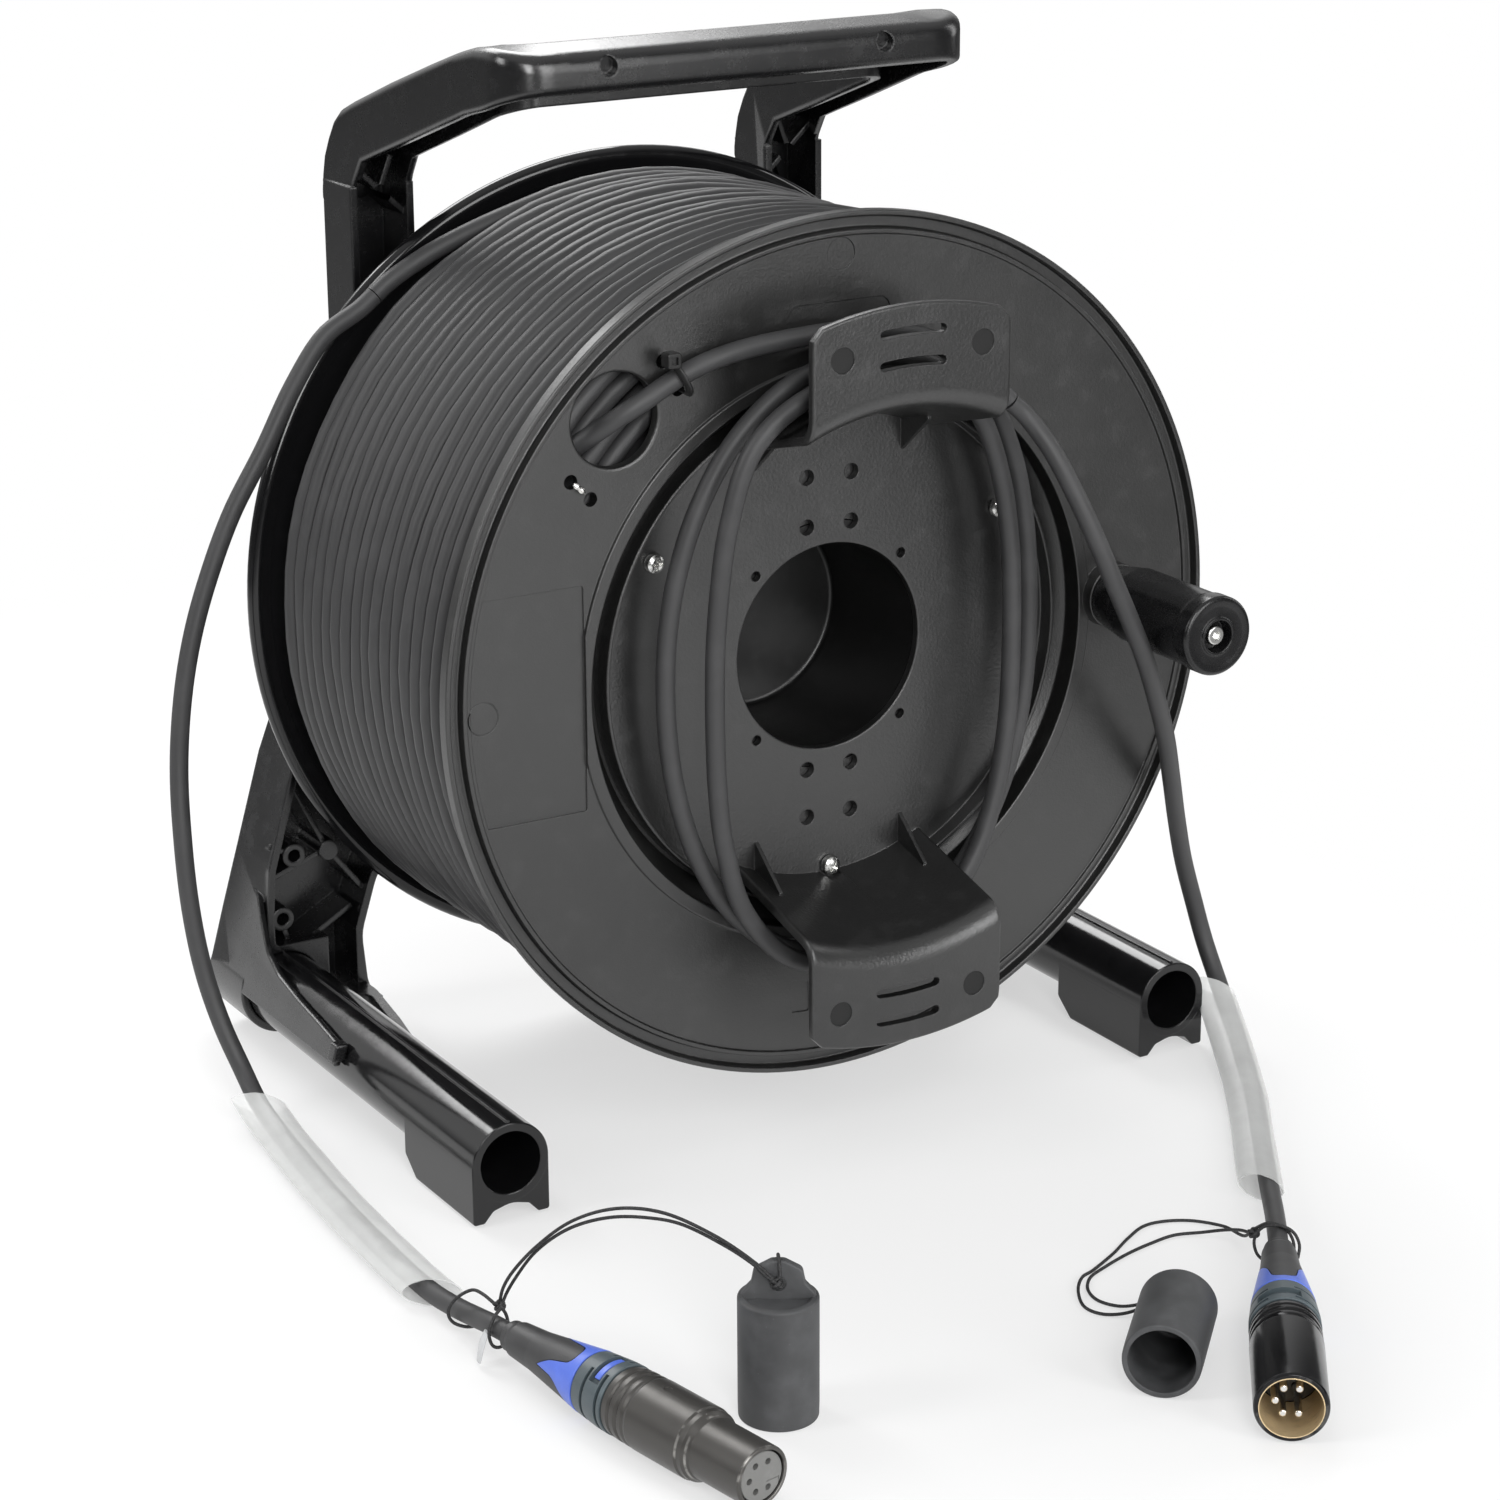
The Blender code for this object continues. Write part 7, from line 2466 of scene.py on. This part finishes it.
    def flare(self) -> Object:
        """The outer wall's flare, where the leg is wider at the back than at its front edge.

        Returns:
            The shape to join on.
        """
        levels = (
            (110, 101.8, 101.9), (88.7, 107.6, 110.4), (60, 115.7, 119), (41.8, 118.2, 124.5),
            (24, 118.2, 129.6),
        )
        front, back = FRONT + 0.6, REAR - 0.1
        sections = []
        for z, front_x, back_x in levels:
            inside = front_x - 4.0
            corners = ((inside, front), (front_x - 0.1, front), (back_x, back), (inside, back))
            sections.append([at(x, y, z) for x, y in corners])
        return lofted("leg_flare", sections)

    def outer_gusset(self) -> Object:
        """The plate that carries the leg's outer wall forward beside the foot tube, leaning in.

        Returns:
            The plate.
        """
        outline = [
            (76, 18.5, 0.5), (156, 18.5), (156, 52), (146, 48), (142, 43.4, 4), (132.4, 34.8, 14),
            (122.3, 31, 14), (108, 28.6, 20), (92.3, 26.8, 20), (76, 24.6, 0.5),
        ]
        plate = prism("outer_gusset", outline, Axis.X, 125.3, 127.3, 0.4)
        lug = prism("gusset_lug", rectangle(74.4, 20.4, 78.6, 25.6, 0.6), Axis.X, 125.0, 129.0, 0.4)
        carved(plate, ("UNION", [lug]))
        slope, level = 0.27, 20.0
        lean = Matrix.Identity(4)
        lean[0][2] = -slope
        lean[0][3] = slope * level * MM
        plate.data.transform(lean)
        return plate

    def inner_gusset(self) -> Object:
        """The low plate between the leg and the foot tube, with its window.

        Returns:
            The plate.
        """
        outline = [(86, 146), (86, 135, 14), (90, 110, 40), (99, 66, 4), (101.9, 62), (101.9, 146)]
        window = [(99.6, 139.0, 2.0), (99.6, 84.0, 1.5), (93.6, 110.0, 20.0), (89.6, 133.0, 6.0)]
        return prism("inner_gusset", outline, Axis.Z, 11.5, 14.0, 0.4, holes=[window])

    def mirrored(self, half: Object) -> None:
        """Cut the half off at the middle and put its mirror image beside it.

        Args:
            half: the right half, which becomes the whole.
        """
        work = bmesh.new()
        work.from_mesh(half.data)
        everything = [*work.verts, *work.edges, *work.faces]
        plane = {"plane_co": (0, 0, 0), "plane_no": (-1, 0, 0)}
        bmesh.ops.bisect_plane(work, geom=everything, dist=WELD, clear_outer=True, **plane)
        for vert in work.verts:
            if abs(vert.co.x) < 2 * WELD:
                vert.co.x = 0.0
        copies = bmesh.ops.duplicate(work, geom=[*work.verts, *work.edges, *work.faces])["geom"]
        faces = [item for item in copies if isinstance(item, bmesh.types.BMFace)]
        corners = [item for item in copies if isinstance(item, bmesh.types.BMVert)]
        bmesh.ops.scale(work, vec=(-1, 1, 1), verts=corners)
        bmesh.ops.reverse_faces(work, faces=faces)
        middle = [vert for vert in work.verts if abs(vert.co.x) < WELD]
        bmesh.ops.remove_doubles(work, verts=middle, dist=2 * WELD)
        work.to_mesh(half.data)
        work.free()
        smoothed(half)


@dataclass(frozen=True)
class FootTube:
    """A foot tube, pushed into the leg's socket, with a saddle block under its front end."""

    side: int
    name: str
    radius: float = 11.8
    bore: float = 9.2
    front: float = -7.9
    block_length: float = 43.0

    def build(self) -> None:
        """Make the tube with its block and the fine ridge along its top."""
        x = self.side * FOOT_X
        front, end = self.front, 165.0
        wall = [(self.bore, front, 0.3), (self.radius, front, 0.4), (self.radius, end), (self.bore, end)]
        tube = turned(f"{self.name}_moulding", wall, backwards(x, FOOT_Z), 96)
        saddle = [
            (x - 11.8, 0.8, 0.8), (x - 8.4, 0.8, 0.8), (x - 5.6, 3.9, 2), (x, 5.4, 8), (x + 5.6, 3.9, 2),
            (x + 8.4, 0.8, 0.8), (x + 11.8, 0.8, 0.8), (x + 11.8, 17), (x - 11.8, 17),
        ]
        block_end = front + self.block_length
        foot = prism(self.name + "_block", saddle, Axis.Y, front + 0.1, block_end, 0.3)
        behind = block_end + 3.0
        slope = [(block_end - 11.0, -2.0), (behind, -2.0), (behind, 12.0), (block_end - 0.6, 6.4, 2.0)]
        rear_cut = prism(self.name + "_slope", slope, Axis.X, x - 14.0, x + 14.0)
        carved(foot, ("DIFFERENCE", [rear_cut]))
        crest = [(x - 0.7, 27.0), (x + 0.7, 27.0), (x + 0.5, 29.75, 0.3), (x - 0.5, 29.75, 0.3)]
        ridge = prism(self.name + "_ridge", crest, Axis.Y, -7.0, 146.0)
        room = rod(self.name + "_bore", (x, -12.0, FOOT_Z), (x, 168.0, FOOT_Z), self.bore, 96)
        carved(foot, ("DIFFERENCE", [room]))
        carved(tube, ("UNION", [foot, ridge]))
        fitted(tube, TUBE_BLACK, Slot.GLOSS, Body.FRAME, self.name)


def kept_pieces() -> None:
    """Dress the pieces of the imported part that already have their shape."""
    of_steel = ("crank_pin", "axle_stub", "retaining_ring")
    finishes = {"drum_barrel": CUP_BLACK, "thrust_washer": NYLON, **dict.fromkeys(of_steel, STEEL)}
    for node, finish in finishes.items():
        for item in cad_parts[node].material_slots:
            item.material = finish.material()
        LOG.info("%s: kept", node)


def main() -> None:
    """Build the scene: the camera first, then the pieces and the studio."""
    Sight().build()
    pieces = (
        FEMALE_PLUG,
        MALE_PLUG,
        OUTER_LEAD,
        INNER_LEAD,
        STANDING_LANYARD,
        LYING_LANYARD,
        Tag(),
        Cap("standing_cap", STANDING_CAP, 59.0),
        Cap("lying_cap", LYING_CAP, 0.0),
        Winding(),
        FrontFlange(),
        RearFlange(),
        HubCup(),
        Bracket(),
        Ties(),
        Crank(),
        BackFrame(),
        FootTube(-1, "foot_tube_left"),
        FootTube(1, "foot_tube_right"),
    )
    for piece in pieces:
        piece.build()
        LOG.info("%s built", type(piece).__name__)
    kept_pieces()
    Studio().build()


if __name__ == "__main__":
    logging.basicConfig(level=logging.INFO, format="%(message)s", stream=sys.stdout)
    main()
